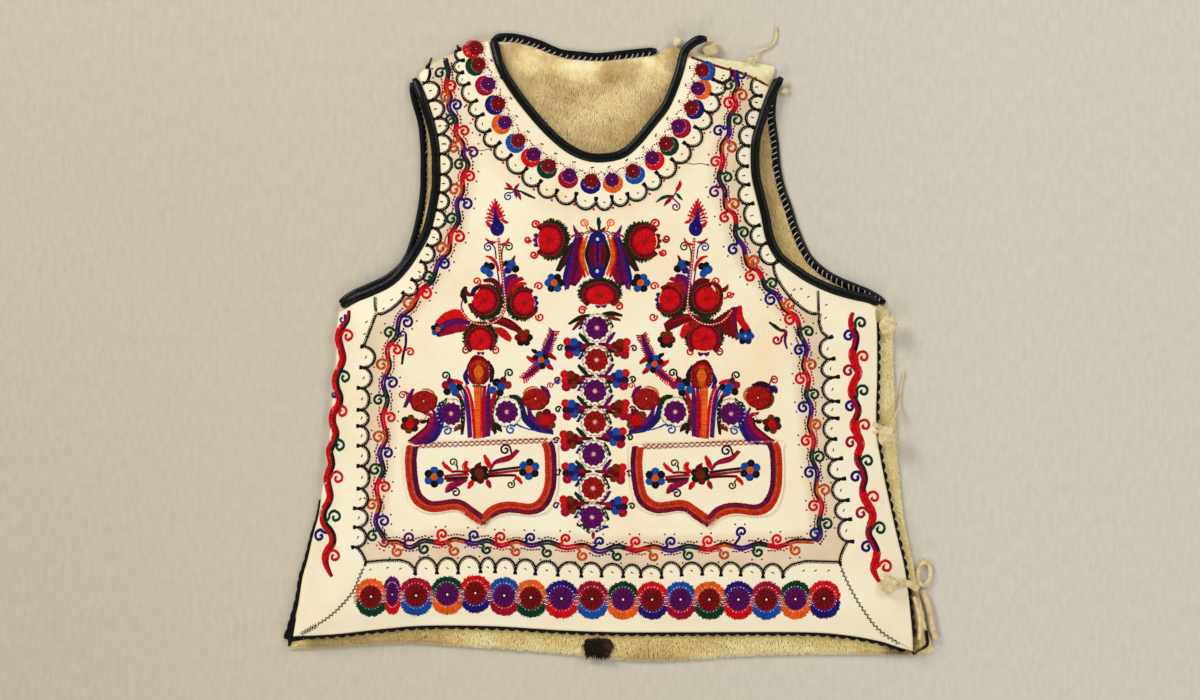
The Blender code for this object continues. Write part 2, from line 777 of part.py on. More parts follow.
def neck_end_lift(path):
    """The free end of the neck binding rises over the shoulder's button."""
    end = plan(((707, 39),))[0]
    near = np.linalg.norm(path - end, axis=1)
    return 0.0093 + 0.0032 * smoothstep(1 - near / 0.026) - 0.02 * (near > 0.026)


def make_bindings():
    add_front_binding("neck_binding_front", NECK_FRONT, neck_end_lift)
    add_front_binding("armhole_binding_left_front", ARMHOLE_LEFT_FRONT)
    add_front_binding("armhole_binding_right_front", ARMHOLE_RIGHT_FRONT)
    add_back_binding("neck_binding_back", NECK_BACK)
    add_back_binding("armhole_binding_left_back", ARMHOLE_LEFT_BACK)
    add_back_binding("armhole_binding_right_back", ARMHOLE_RIGHT_BACK)


# ---------------------------------------------------------------- edgings
def add_edging(name, edge, start, end, tuck, height):
    """A pinked strip tucked under the leather's rim, its teeth outside it."""
    total = length_of(edge)
    teeth = round((end - start) / TOOTH_PITCH)
    shares = np.linspace(start, end, 2 * teeth + 1) / total
    line = at_lengths(edge, shares)
    outwards = -left_normals(line)
    reach = np.where(np.arange(len(line)) % 2 == 1, EDGING_TOOTH, EDGING_VALLEY)
    inner = line - outwards * tuck
    outer = line + outwards * reach[:, None]
    inner_top, line_top = height(inner), height(line)
    outer_top = line_top + (line_top - inner_top) * reach / tuck
    corners = []
    for a, b, high, low in zip(inner, outer, inner_top, outer_top):
        corners += [(*a, high - EDGING), (*b, low - EDGING), (*b, low), (*a, high)]
    faces = []
    for i in range(len(line) - 1):
        here, there = 4 * i, 4 * (i + 1)
        for j in range(4):
            k = (j + 1) % 4
            faces.append((here + j, here + k, there + k, there + j))
    faces.append((0, 1, 2, 3))
    last = 4 * (len(line) - 1)
    faces.append((last, last + 1, last + 2, last + 3))
    add_mesh(name, corners, faces, BLACK_EDGE)


def make_edgings(underside):
    tucked = TURN_IN - 2 * GAP
    under = raised(facets(underside, front_underside), -GAP)
    hem, side = stations(HEM_FRONT), stations(SIDE_OPEN_FRONT)
    add_edging("hem_edging", hem, 0.012, length_of(hem) - 0.006, tucked, under)
    add_edging("side_edging_right", side, 0.012, length_of(side) - 0.012, tucked, under)
    closed = catmull(plan(SIDE_CLOSED[6:-1] + SIDE_CLOSED_END_BACK))
    beyond = beside(at_lengths(closed, np.linspace(0, 1, 60)), -0.0012)
    add_edging(
        "side_edging_left", beyond, 0.010, length_of(beyond) - 0.003, 0.0009,
        level(0.0004 + EDGING),
    )


def add_lying_strip(name, rows, width, thickness, finish, wool):
    """A strip that lies on the back's wool."""
    path = stations(rows, 0.006)
    sides = np.hstack((beside(path, width / 2), beside(path, -width / 2))).reshape(-1, 2)
    base = wool(sides).reshape(-1, 2).max(axis=1) + 2 * GAP
    half = thickness / 2
    section = [(-width / 2, -half), (width / 2, -half), (width / 2, half), (-width / 2, half)]
    add_sweep(name, np.column_stack((path, base + half)), section, finish)


def make_fur_patch(wool):
    """A small patch of dark lamb on the wool below the hem."""
    shape = plan(FUR_PATCH)
    middle = shape.mean(axis=0)
    halfway = (shape + middle) / 2
    mesh = faces_in(triangulate([shape], [], [middle, *halfway]), shape)

    def top(points):
        reach = np.linalg.norm(shape - middle, axis=1).min()
        share = np.clip(np.linalg.norm(points - middle, axis=1) / reach, 0, 1)
        return wool(points) + 0.0042 - 0.0014 * share

    add_sheet("fur_patch", mesh, mesh, raised(wool, 1.5 * GAP), top, DARK_FUR)


# ---------------------------------------------------------------- fastenings
def knot_corners(half_x, half_y, half_z, around, up):
    """Corners of a ball of wound strap, with shallow grooves between its turns."""
    rows = [(0, 0, -half_z)]
    for j in range(1, up):
        tilt = math.pi * (j / up - 0.5)
        for i in range(around):
            turn = math.tau * i / around
            groove = 1 - 0.07 * (0.5 + 0.5 * math.cos(3 * turn + 4 * tilt))
            rows.append((
                half_x * groove * math.cos(tilt) * math.cos(turn),
                half_y * groove * math.cos(tilt) * math.sin(turn),
                half_z * math.sin(tilt),
            ))
    rows.append((0, 0, half_z))
    return np.array(rows)


def knot_faces(around, up):
    top = 1 + around * (up - 1)
    faces = []
    for i in range(around):
        k = (i + 1) % around
        faces.append((0, 1 + k, 1 + i))
        for j in range(up - 2):
            low, high = 1 + j * around, 1 + (j + 1) * around
            faces.append((low + i, low + k, high + k, high + i))
        last = 1 + (up - 2) * around
        faces.append((last + i, last + k, top))
    return faces


def resting_height(middle, half_x, half_y, half_z, surfaces):
    """The lowest centre height at which an oval ball clears what lies below it."""
    rows = []
    for ring in np.linspace(0, 1, 9):
        for turn in np.arange(0, math.tau, math.tau / 24):
            rows.append((ring * half_x * math.cos(turn), ring * half_y * math.sin(turn), ring))
    rows = np.array(rows)
    points = middle + rows[:, :2]
    bottom = half_z * np.sqrt(1 - rows[:, 2] ** 2)
    return float((highest(points, surfaces) + GAP + bottom).max())


def make_knots(surfaces):
    around, up = 14, 8
    for name, (u, v, half_x, half_y, half_z) in KNOTS.items():
        middle = plan(((u, v),))[0]
        height = resting_height(middle, half_x, half_y, half_z, surfaces)
        corners = knot_corners(half_x, half_y, half_z, around, up)
        obj = add_mesh(name, corners, knot_faces(around, up), THONG, smooth=True)
        obj.location = (*middle, height)


def make_loop():
    u, v, half_x, half_y, strand = SIDE_LOOP
    middle = plan(((u, v),))[0]
    turns = np.arange(20) * math.tau / 20
    path = np.column_stack((
        middle[0] + half_x * np.cos(turns) + 0.0008 * np.sin(turns),
        middle[1] + half_y * np.sin(turns),
        np.full(20, strand + GAP),
    ))
    section = [(strand * math.cos(a), strand * math.sin(a)) for a in turns[::3]]
    add_sweep("side_loop_bottom", path, section, THONG, closed=True)


def make_strap(surfaces):
    """The flat strap between the lowest knot and its loop."""
    path = stations(SIDE_STRAP, 0.0028)
    sides = np.hstack((beside(path, 0.0031), beside(path, -0.0031), path)).reshape(-1, 2)
    top = highest(sides, surfaces).reshape(-1, 3).max(axis=1)
    rows = plan(SIDE_STRAP)
    top += np.interp(path[:, 0], rows[:, 0], [row[2] for row in SIDE_STRAP])
    for _ in range(2):
        top = np.maximum(top, np.convolve(np.pad(top, 1, mode="edge"), (0.3, 0.4, 0.3), "valid"))
    section = rounded_section(0.0060, 0.0022)
    heights = top + 0.0011 / math.cos(math.pi / 8) + 2 * GAP
    add_sweep("side_strap_bottom", np.column_stack((path, heights)), section, THONG)


def make_cords():
    for name, (diameter, rows) in CORDS.items():
        route = np.column_stack((plan(rows), [row[2] for row in rows]))
        curve = catmull(route)
        count = max(6, math.ceil(length_of(curve) / (2.5 * diameter)))
        points = at_lengths(curve, np.linspace(0, 1, count + 1))
        data = bpy.data.curves.new(name, "CURVE")
        data.dimensions = "3D"
        data.bevel_depth = diameter / 2
        data.bevel_resolution = 2
        data.use_fill_caps = True
        spline = data.splines.new("POLY")
        spline.points.add(len(points) - 1)
        for target, point in zip(spline.points, points):
            target.co = (*point, 1)
        obj = bpy.data.objects.new(name, data)
        bpy.context.scene.collection.objects.link(obj)
        dress(obj, THONG)


def main():
    for obj in list(bpy.data.objects):
        bpy.data.objects.remove(obj, do_unlink=True)
    underside, shared, wool = make_panels()
    surfaces = [wool, *make_front(underside, shared)]
    make_bindings()
    make_edgings(underside)
    add_lying_strip("back_corner_edging", BACK_CORNER, 0.0030, 0.0010, BLACK_EDGE, wool)
    make_fur_patch(wool)
    make_knots(surfaces)
    make_loop()
    make_strap(surfaces)
    make_cords()


main()
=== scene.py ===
"""The looks of an embroidered sheepskin vest, laid out flat, front up.

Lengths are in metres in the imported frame. Plan tables count squares of a
cutting grid, u to the right and v down, as the solids' own plan does. The
needlework is drawn on the same grid: every stitch runs from one hole to
another and becomes a small ridge of yarn on whatever lies under it.
"""

import json
import math

import bpy
import numpy as np
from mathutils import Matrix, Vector
from mathutils.bvhtree import BVHTree
from mathutils.geometry import delaunay_2d_cdt

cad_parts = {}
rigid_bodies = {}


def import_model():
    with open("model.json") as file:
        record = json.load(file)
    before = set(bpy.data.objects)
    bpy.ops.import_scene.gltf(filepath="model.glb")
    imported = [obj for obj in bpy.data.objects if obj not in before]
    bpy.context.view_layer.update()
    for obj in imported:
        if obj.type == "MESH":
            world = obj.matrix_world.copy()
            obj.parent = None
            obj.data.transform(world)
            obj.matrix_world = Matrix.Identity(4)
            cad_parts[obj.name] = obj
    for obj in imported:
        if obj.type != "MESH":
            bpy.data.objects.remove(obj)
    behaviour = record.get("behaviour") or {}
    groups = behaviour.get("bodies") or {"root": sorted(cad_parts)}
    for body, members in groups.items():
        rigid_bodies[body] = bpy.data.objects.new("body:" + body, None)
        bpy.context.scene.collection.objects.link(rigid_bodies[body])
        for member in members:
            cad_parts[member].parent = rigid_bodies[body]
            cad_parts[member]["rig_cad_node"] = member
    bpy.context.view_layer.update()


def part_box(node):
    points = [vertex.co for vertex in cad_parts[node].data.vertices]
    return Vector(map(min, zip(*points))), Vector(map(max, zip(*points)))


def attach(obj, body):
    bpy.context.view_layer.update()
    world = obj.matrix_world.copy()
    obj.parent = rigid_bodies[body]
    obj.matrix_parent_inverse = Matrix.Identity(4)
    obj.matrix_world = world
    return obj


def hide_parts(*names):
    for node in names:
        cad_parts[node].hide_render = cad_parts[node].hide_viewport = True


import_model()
RNG = np.random.default_rng(7)

# ---------------------------------------------------------------- driving sizes
# One square of the cutting grid, and the square that lies over the frame's origin.
GRID = 0.00088
MID_U, MID_V = 609.5, 347.0

# The air between two layers, and the thickness of each kind of leather.
GAP = 0.0003
LEATHER, FRONT_LEATHER = 0.0016, 0.0018
BAND, POCKET = 0.0011, 0.0014
EDGING = 0.0009

# The wool's depth: at closed rims, at open rims, and inside each panel.
RIM_WOOL, OPEN_WOOL = 0.0008, 0.0030
BACK_WOOL, FRONT_WOOL = 0.0070, 0.0080
# How far in from the rim the wool is fully deep, and how far the closed rims reach.
BACK_RISE, FRONT_RISE = 0.030, 0.042
CLOSED_REACH = 0.025

# The rims: rolled down, turned in, wool beyond the leather.
ROLL = 0.0043
TURN_IN = 0.0050
WOOL_OVERHANG = 0.0026
SHOULDER_TURN_IN = 0.0015
SHOULDER_INSET = 0.0010
RING_INSET = 0.0010

BINDING_WIDTH = 0.0075
BINDING_STEP = BINDING_WIDTH / 2 + GAP
BACK_BINDING = 0.0024
EDGING_VALLEY, EDGING_TOOTH = 0.0018, 0.0052
TOOTH_PITCH = 0.0088

# The pitch of points along an edge: coarse for heights, fine for what shows.
STATION = 0.0150
FINE = 0.0036
TURNED_STEP = 0.0018


# ---------------------------------------------------------------- plan tables
# Columns: u, v. Every edge runs with the panel on its left hand.
SHOULDER_CLOSED = (
    (488.5, 39.5), (470, 46), (453, 53), (436, 61), (426, 66.5), (419, 73),
)
# Centre lines of the four armhole bindings and the two neck bindings.
ARMHOLE_LEFT_FRONT = (
    (414, 78), (424, 103), (431, 125), (435, 145), (436, 163), (436, 185), (432, 210),
    (426, 232), (417, 249), (404, 268), (390, 282), (370, 292), (355, 298), (341, 306),
)
ARMHOLE_LEFT_BACK = (
    (411, 82), (414, 98), (421, 124), (423, 145), (423.5, 167), (422, 199), (415, 234),
    (404, 262), (387, 277.5), (367, 287), (352, 294), (339, 302.5),
)
SIDE_CLOSED = (
    (338.5, 312), (336.5, 330), (335.5, 360), (332, 394), (329, 439), (327, 467),
    (322, 489), (318, 516), (313, 534), (307, 560), (302, 578), (299, 599),
)
SIDE_CLOSED_END_FRONT = ((299, 599), (296, 618), (293, 636.5))
SIDE_CLOSED_END_BACK = ((299, 599), (293.5, 622), (287, 644))
HEM_FRONT = (
    (293, 636.5), (337, 634), (382, 629), (426, 625.5), (493, 626), (560, 630),
    (620, 632), (689, 632), (801, 632), (845, 635), (879, 641), (901, 648), (913, 651),
)
HEM_BACK_WOOL = (
    (286, 648), (337, 646), (404, 642), (471, 646), (538, 651), (583, 655), (620, 659),
    (667, 660), (734, 655.5), (801, 653.5), (868, 653.5), (912, 654.5), (934, 651),
)
SIDE_OPEN_FRONT = (
    (913, 651), (912, 630), (908, 592), (904, 565), (897, 536), (888, 496), (881, 462),
    (877.5, 440), (876, 416), (877, 376), (877, 340), (876.5, 322), (875, 309),
)
SIDE_OPEN_BACK_WOOL = (
    (934, 651), (929, 636), (920, 596), (912, 556), (906, 529), (901, 496), (898, 467),
    (896.5, 440), (895, 400), (893.5, 360), (893, 330), (889, 310),
)
ARMHOLE_RIGHT_FRONT = (
    (879, 304), (870, 299), (852, 295), (832, 289), (810, 279), (792, 267), (779, 256),
    (770, 238), (765, 214), (760, 194), (756, 176), (755, 158), (756, 140), (761, 123),
    (767, 105), (774, 89), (782, 77),
)
ARMHOLE_RIGHT_BACK = (
    (886, 303), (871, 294), (857, 288), (841, 281.5), (823, 271), (808, 256), (796, 230),
    (788, 205), (781, 185), (777, 163), (775, 140), (772, 118), (773, 98), (777, 78),
)
SHOULDER_OPEN_FRONT = (
    (769.5, 86.5), (757, 80), (743, 74), (716, 66), (700, 60.5), (689.5, 57),
)
SHOULDER_OPEN_BACK = (
    (775, 66), (760, 62.5), (743, 61.5), (716, 57), (695, 49.5), (680, 46.5), (666, 47),
)
NECK_FRONT = (
    (707, 39), (698, 40), (689, 46), (684, 53), (680, 69), (674, 87), (665, 107),
    (651, 125), (636, 143), (620, 155), (594, 158), (571, 150), (549, 132), (527, 107),
    (511, 85), (500, 65), (493, 38),
)
NECK_BACK = (
    (657, 50), (629, 53), (600, 56), (583, 55), (560, 52), (538, 43), (516, 37), (499, 36.5),
)

# Columns: u, v of the zigzag joins between the side bands and the hem band.
JOIN_LEFT = ((365, 566), (361, 574), (353, 592), (335, 612), (317, 625), (291, 640))
JOIN_RIGHT = ((840, 566), (843, 574), (852, 592), (863, 610), (879, 630), (917, 653))
# Columns: u, v round a pocket, counted from the tip of its shield.
POCKET_SHIELD = (
    (0, 0), (12, -10), (27, -14), (50, -12), (66, -18), (74, -36), (75.5, -56),
    (74.5, -78), (70, -87), (0, -85), (-64, -83), (-78, -82), (-79, -64), (-76, -36),
    (-70, -22), (-52, -14), (-27, -17), (-14, -9),
)
POCKET_TIPS = (("pocket_left", 483, 527), ("pocket_right", 708, 528))
# Each cord: its diameter, then u, v and its middle's height above the ground in metres.
CORDS = {
    "shoulder_thong": (
        0.0020,
        ((753.2, 55.3, 0.0056), (756.5, 52, 0.0036), (761.5, 49.5, 0.0020), (770, 46, 0.0014),
         (776, 39, 0.0013), (777, 26, 0.0013)),
    ),
    "side_thong_middle": (
        0.0016,
        ((889.4, 423.7, 0.0158), (893.5, 419, 0.0135), (898, 411, 0.0070), (900.5, 402, 0.0016),
         (902, 388, 0.0012), (905, 372, 0.0012)),
    ),
    "side_thong_tail": (
        0.0056,
        ((922.4, 591.6, 0.0034), (927, 601, 0.0033), (930.4, 614, 0.0033),
         (933, 628, 0.0033), (937, 640.5, 0.0033)),
    ),
    "side_thong_inner": (
        0.0036,
        ((914, 596.5, 0.0136), (917, 606, 0.0129), (919.5, 617, 0.0124),
         (920, 630, 0.0121), (919.5, 640, 0.0117)),
    ),
}
# Columns: u, v and lift in metres of the strap from the lowest knot to its loop.
SIDE_STRAP = (
    (898.9, 583.6, 0.0034), (904, 583, 0.0014), (909.5, 584, 0), (914, 586.5, 0), (918, 590, 0),
)
# u, v, half width, half height and half thickness in metres.
SIDE_LOOP = (925.1, 574.5, 0.0056, 0.0102, 0.0019)
FUR_PATCH = ((585.5, 639.5), (597, 638.5), (610.5, 640), (611, 650), (606, 656.5),
             (595, 655.5), (587, 655), (585, 648))
BACK_CORNER = ((913.5, 655), (919, 651), (926.5, 647), (928.5, 643), (927, 631))

# Columns: u, v, u, v, width and height in metres of the folds of the front.
FOLDS = (
    (392, 318, 470, 372, 0.016, 0.0015),
    (812, 322, 752, 392, 0.017, 0.0014),
    (566, 560, 600, 470, 0.020, -0.0012),
    (330, 560, 420, 540, 0.018, 0.0012),
    (880, 520, 800, 552, 0.018, 0.0013),
    (520, 230, 548, 330, 0.022, 0.0012),
    (668, 236, 642, 338, 0.022, 0.0010),
)


# ---------------------------------------------------------------- plan curves
def plan(rows):
    """Metres in the plan for a table whose first two columns are u and v."""
    rows = np.asarray(rows, float)
    return np.column_stack(((rows[:, 0] - MID_U) * GRID, (MID_V - rows[:, 1]) * GRID))


def catmull(points, samples=24):
    """A smooth curve through the points, of any dimension."""
    points = np.asarray(points, float)
    first = 2 * points[0] - points[1]
    last = 2 * points[-1] - points[-2]
    rows = np.vstack((first, points, last))
    t = (np.arange(samples) / samples)[:, None]
    pieces = []
    for a, b, c, d in zip(rows, rows[1:], rows[2:], rows[3:]):
        pieces.append(
            0.5 * (2 * b + (c - a) * t + (2 * a - 5 * b + 4 * c - d) * t**2
                   + (3 * b - a - 3 * c + d) * t**3)
        )
    return np.vstack((*pieces, points[-1:]))


def at_lengths(curve, shares):
    """Points of a curve at these shares of its length."""
    steps = np.linalg.norm(np.diff(curve, axis=0), axis=1)
    along = np.concatenate(([0], np.cumsum(steps))) / steps.sum()
    return np.column_stack([np.interp(shares, along, column) for column in curve.T])


def length_of(curve):
    """The length of a polyline."""
    return float(np.linalg.norm(np.diff(curve, axis=0), axis=1).sum())


def stations(rows, pitch=STATION):
    """Evenly spaced points of the smooth curve through the table's rows."""
    curve = catmull(plan(rows))
    count = max(2, round(length_of(curve) / pitch))
    return at_lengths(curve, np.linspace(0, 1, count + 1))


def left_normals(curve):
    """Unit rows to a polyline's left, in the plan."""
    tangent = np.gradient(curve[:, :2], axis=0)
    tangent /= np.linalg.norm(tangent, axis=1)[:, None]
    return np.column_stack((-tangent[:, 1], tangent[:, 0]))


def beside(curve, distance):
    """The curve moved to its left."""
    return curve[:, :2] + left_normals(curve) * distance


# Below this sine of the turn between two sides, their corner moves along the mean of
# their normals.
SLIGHT_TURN = 0.26


def inset(outline, distances):
    """The closed outline with each side moved in by its own distance."""
    following = np.roll(outline, -1, axis=0)
    along = following - outline
    along /= np.linalg.norm(along, axis=1)[:, None]
    normal = np.column_stack((-along[:, 1], along[:, 0]))
    before = np.roll(normal, 1, axis=0)
    wanted = np.roll(distances, 1)
    moved = []
    for point, n, m, d, e in zip(outline, normal, before, distances, wanted):
        turn = m[0] * n[1] - m[1] * n[0]
        if abs(turn) < SLIGHT_TURN:
            middle = n + m
            step = middle / (middle @ middle) * (d + e)
        else:
            step = np.array((e * n[1] - d * m[1], d * m[0] - e * n[0])) / turn
        moved.append(point + step)
    return np.array(moved)


def inside(points, outline):
    """Which points lie in the closed outline."""
    x, y = points[:, 0][:, None], points[:, 1][:, None]
    a, b = outline, np.roll(outline, -1, axis=0)
    spans = (a[:, 1] > y) != (b[:, 1] > y)
    rise = np.where(a[:, 1] == b[:, 1], 1, b[:, 1] - a[:, 1])
    cross = a[:, 0] + (y - a[:, 1]) * (b[:, 0] - a[:, 0]) / rise
    return (spans & (x < cross)).sum(axis=1) % 2 == 1


def distance_to(points, line, closed=False):
    """The plan distance of each point from a polyline."""
    a = line if closed else line[:-1]
    b = np.roll(line, -1, axis=0) if closed else line[1:]
    along = b - a
    square = (along**2).sum(axis=1)
    share = ((points[:, None] - a) * along).sum(axis=2) / square
    near = a + np.clip(share, 0, 1)[..., None] * along
    return np.linalg.norm(points[:, None] - near, axis=2).min(axis=1)


def depth_in(points, outline):
    """How far inside the outline each point lies, 0 outside it."""
    return np.where(inside(points, outline), distance_to(points, outline, True), 0)


# ---------------------------------------------------------------- outlines
# Two edges that end this near each other share their corner.
SAME_CORNER = 0.002


def front_edges(pitch):
    """The front's edges: line, how far inside it the leather and the wool end."""
    arm_left = beside(stations(ARMHOLE_LEFT_FRONT, pitch), BINDING_STEP)
    arm_right = beside(stations(ARMHOLE_RIGHT_FRONT, pitch), BINDING_STEP)
    neck = beside(stations(NECK_FRONT, pitch), BINDING_STEP)
    cut = round(STATION / pitch)
    return (
        (stations(SHOULDER_CLOSED, pitch), 0, ROLL),
        (arm_left, 0, 0),
        (stations(SIDE_CLOSED, pitch), 0, ROLL),
        (stations(SIDE_CLOSED_END_FRONT, pitch), 0, ROLL),
        (stations(HEM_FRONT, pitch), 0, TURN_IN),
        (stations(SIDE_OPEN_FRONT, pitch), 0, TURN_IN),
        (arm_right[:-cut], 0, 0),
        (stations(SHOULDER_OPEN_FRONT, pitch), 0, SHOULDER_TURN_IN),
        (neck[2 * cut:], 0, 0),
    )


def back_edges(pitch):
    """The back's edges, in the same columns."""
    return (
        (stations(SHOULDER_CLOSED, pitch), 0, ROLL),
        (beside(stations(ARMHOLE_LEFT_BACK, pitch), BINDING_STEP), 0, 0),
        (stations(SIDE_CLOSED, pitch), 0, ROLL),
        (stations(SIDE_CLOSED_END_BACK, pitch), 0, ROLL / 2),
        (stations(HEM_BACK_WOOL, pitch), WOOL_OVERHANG, 0),
        (stations(SIDE_OPEN_BACK_WOOL, pitch), WOOL_OVERHANG, 0),
        (beside(stations(ARMHOLE_RIGHT_BACK, pitch), BINDING_STEP), 0, 0),
        (stations(SHOULDER_OPEN_BACK, pitch), SHOULDER_INSET, 0),
        (beside(stations(NECK_BACK, pitch), BINDING_STEP), 0, 0),
    )


def outline_of(edges):
    """The closed outlines of the edges themselves, of the leather and of its wool."""
    points, leather, wool = [], [], []
    for i, (edge, in_leather, in_wool) in enumerate(edges):
        following = edges[(i + 1) % len(edges)]
        meets = np.linalg.norm(edge[-1] - following[0][0]) < SAME_CORNER
        sides = len(edge) - 1
        points.extend(edge[:-1] if meets else edge)
        leather.extend([in_leather] * sides)
        wool.extend([in_wool] * sides)
        if not meets:
            leather.append(max(in_leather, following[1]))
            wool.append(max(in_wool, following[2]))
    base = np.array(points)
    return base, inset(base, np.array(leather)), inset(base, np.array(wool))


FRONT, FRONT_WOOL_LINE = outline_of(front_edges(STATION))[::2]
BACK, BACK_WOOL_LINE = outline_of(back_edges(STATION))[1:]
FRONT_FINE = outline_of(front_edges(FINE))[0]
TURNED_DOWN = (stations(SHOULDER_CLOSED), stations(SIDE_CLOSED)[:-1])
TURNED_FINE = (
    stations(SHOULDER_CLOSED, TURNED_STEP),
    np.vstack((stations(SIDE_CLOSED, TURNED_STEP),
               stations(SIDE_CLOSED_END_FRONT, TURNED_STEP)[1:])),
)

# Columns: u, v, u, v, width and height in metres of the hide's soft creases.
CREASES = (
    (372, 330, 402, 352, 0.0050, -0.0010), (366, 372, 404, 392, 0.0060, 0.0007),
    (352, 430, 372, 470, 0.0070, 0.0008), (392, 420, 396, 486, 0.0080, -0.0007),
    (420, 300, 462, 318, 0.0070, -0.0009), (470, 358, 500, 372, 0.0060, 0.0006),
    (556, 372, 566, 452, 0.0070, -0.0008), (640, 388, 634, 470, 0.0080, -0.0007),
    (548, 545, 640, 552, 0.0060, 0.0006), (420, 556, 500, 552, 0.0055, -0.0006),
    (752, 300, 790, 316, 0.0060, -0.0009), (776, 356, 806, 338, 0.0055, 0.0008),
    (770, 410, 800, 470, 0.0080, 0.0009), (856, 380, 846, 450, 0.0070, -0.0009),
    (868, 520, 846, 566, 0.0060, 0.0009), (700, 556, 780, 548, 0.0060, -0.0006),
    (560, 205, 620, 214, 0.0060, -0.0006), (462, 240, 486, 214, 0.0070, 0.0008),
    (700, 214, 728, 232, 0.0065, 0.0007), (590, 600, 700, 606, 0.0070, -0.0005),
    (400, 604, 520, 608, 0.0065, 0.0005), (340, 600, 356, 566, 0.0060, 0.0008),
)


# ---------------------------------------------------------------- vine paths
# Columns: u, v along the middle of the small scrolling vine.
VINE_LEFT = (
    (445, 58), (447, 74), (449, 92), (452, 112), (457, 126), (460, 140), (465, 152), (467, 164),
    (465, 178), (461, 193), (459, 208), (457, 222), (452, 240), (445, 256), (436, 272),
    (426, 288), (413, 304), (402, 320), (395, 336), (389, 352), (388, 366), (386, 383),
    (386, 400), (385, 418), (384.5, 437), (382, 453), (381.5, 469), (379, 487), (378, 504),
    (378, 521), (380, 534), (387, 542),
)
VINE_RIGHT = (
    (738, 66), (736, 84), (734, 104), (729, 124), (725, 140), (721, 156), (720, 172),
    (722, 190), (727, 207), (735, 222), (737.5, 239), (744, 254), (751, 267), (761, 278),
    (769, 290), (780, 302), (789, 312), (798, 324), (803, 340), (804, 356), (805, 370),
    (807, 386), (808, 400), (810, 416), (811, 433), (812, 449), (814, 465), (816, 482),
    (819, 500), (820, 516), (820, 530), (815, 541),
)
VINE_BOTTOM = (
    (387, 542), (409, 545), (426, 542), (442, 541), (474, 541), (500, 543), (530, 543),
    (565, 545), (582, 547), (600, 549), (620, 548), (640, 548), (680, 548), (720, 546),
    (760, 545), (795, 543), (815, 541),
)


# ---------------------------------------------------------------- heights
WAVES = 6
RUN = 4000
# The front's leather: how far in from its edge it is calm, and its soft waves.
CALM_EDGE = 0.020
WAVE_HEIGHT, WAVE_SIZE = 0.00045, 0.060


def eased(share):
    """From 0 to 1, steep at first and level at the end."""
    share = np.clip(share, 0, 1)
    return 1 - (1 - share) ** 2


def smoothstep(share):
    """From 0 to 1, level at both ends."""
    share = np.clip(share, 0, 1)
    return share * share * (3 - 2 * share)


def in_runs(function):
    """The same function of many points, worked out a run at a time."""
    def whole(points):
        runs = [function(points[i:i + RUN]) for i in range(0, len(points), RUN)]
        return np.concatenate(runs) if runs else np.zeros(0)
    return whole


def from_closed(points):
    """How far each point lies from the rims that are rolled down."""
    return np.min([distance_to(points, edge) for edge in TURNED_DOWN], axis=0)


def ripple(points, size, seed):
    """A soft uneven wave between -1 and 1."""
    rng = np.random.default_rng(seed)
    total = np.zeros(len(points))
    for _ in range(WAVES):
        turn, phase = rng.uniform(0, math.tau, 2)
        step = math.tau / (size * rng.uniform(0.6, 1.7))
        across = points[:, 0] * math.cos(turn) + points[:, 1] * math.sin(turn)
        total += np.sin(across * step + phase)
    return total / WAVES


@in_runs
def back_wool_top(points):
    rise = eased(depth_in(points, BACK_WOOL_LINE) / BACK_RISE)
    return LEATHER + GAP + RIM_WOOL + BACK_WOOL * rise


def ridges(points, rows):
    """Soft troughs and ridges along short lines."""
    total = np.zeros(len(points))
    for u, v, end_u, end_v, width, height in rows:
        line = plan(((u, v), (end_u, end_v)))
        total += height * np.exp(-((distance_to(points, line) / width) ** 2))
    return total


@in_runs
def front_wool_top(points):
    rise = eased(depth_in(points, FRONT_WOOL_LINE) / FRONT_RISE)
    rim = RIM_WOOL + (OPEN_WOOL - RIM_WOOL) * smoothstep(from_closed(points) / CLOSED_REACH)
    wool = rim + (FRONT_WOOL - rim) * rise + ridges(points, FOLDS) * rise
    return back_wool_top(points) + GAP + wool


@in_runs
def front_underside(points):
    """The front leather's underside, rolled down to the back's along its closed rims."""
    share = np.clip(from_closed(points) / ROLL, 0, 1)
    low = LEATHER + GAP
    round_over = np.sqrt(1 - (1 - share) ** 2)
    calm = smoothstep(distance_to(points, FRONT, True) / CALM_EDGE)
    creased = ridges(points, CREASES) + WAVE_HEIGHT * ripple(points, WAVE_SIZE, 3)
    return low + (front_wool_top(points) + GAP - low) * round_over + creased * calm


def front_top(points):
    return front_underside(points) + FRONT_LEATHER


def squares(points):
    """Grid squares of plan points in metres."""
    return np.column_stack((points[:, 0] / GRID + MID_U, MID_V - points[:, 1] / GRID))


def level(height):
    """A surface at one height."""
    return lambda points: np.full(len(points), float(height))


def raised(surface, step):
    """A surface a step above another."""
    return lambda points: surface(points) + step


# ---------------------------------------------------------------- plan meshes
# Rows of the net stand this share of the pitch apart, and this clear of what is fixed.
ROW_SHARE, CLEAR_SHARE = 0.87, 0.6
SNAP = 1e-6


def grid_in(outline, pitch, keep_off):
    """Points of a brick pattern inside the outline, clear of the given points."""
    low, high = outline.min(axis=0), outline.max(axis=0)
    rows = []
    for j, y in enumerate(np.arange(low[1], high[1], pitch * ROW_SHARE)):
        shift = pitch / 2 if j % 2 else 0
        rows.extend((x + shift, y) for x in np.arange(low[0], high[0], pitch))
    points = np.array(rows)
    points = points[in_runs(lambda p: inside(p, outline))(points)]
    clear = in_runs(lambda p: np.linalg.norm(p[:, None] - keep_off, axis=2).min(axis=1))
    return points[clear(points) > pitch * CLEAR_SHARE]


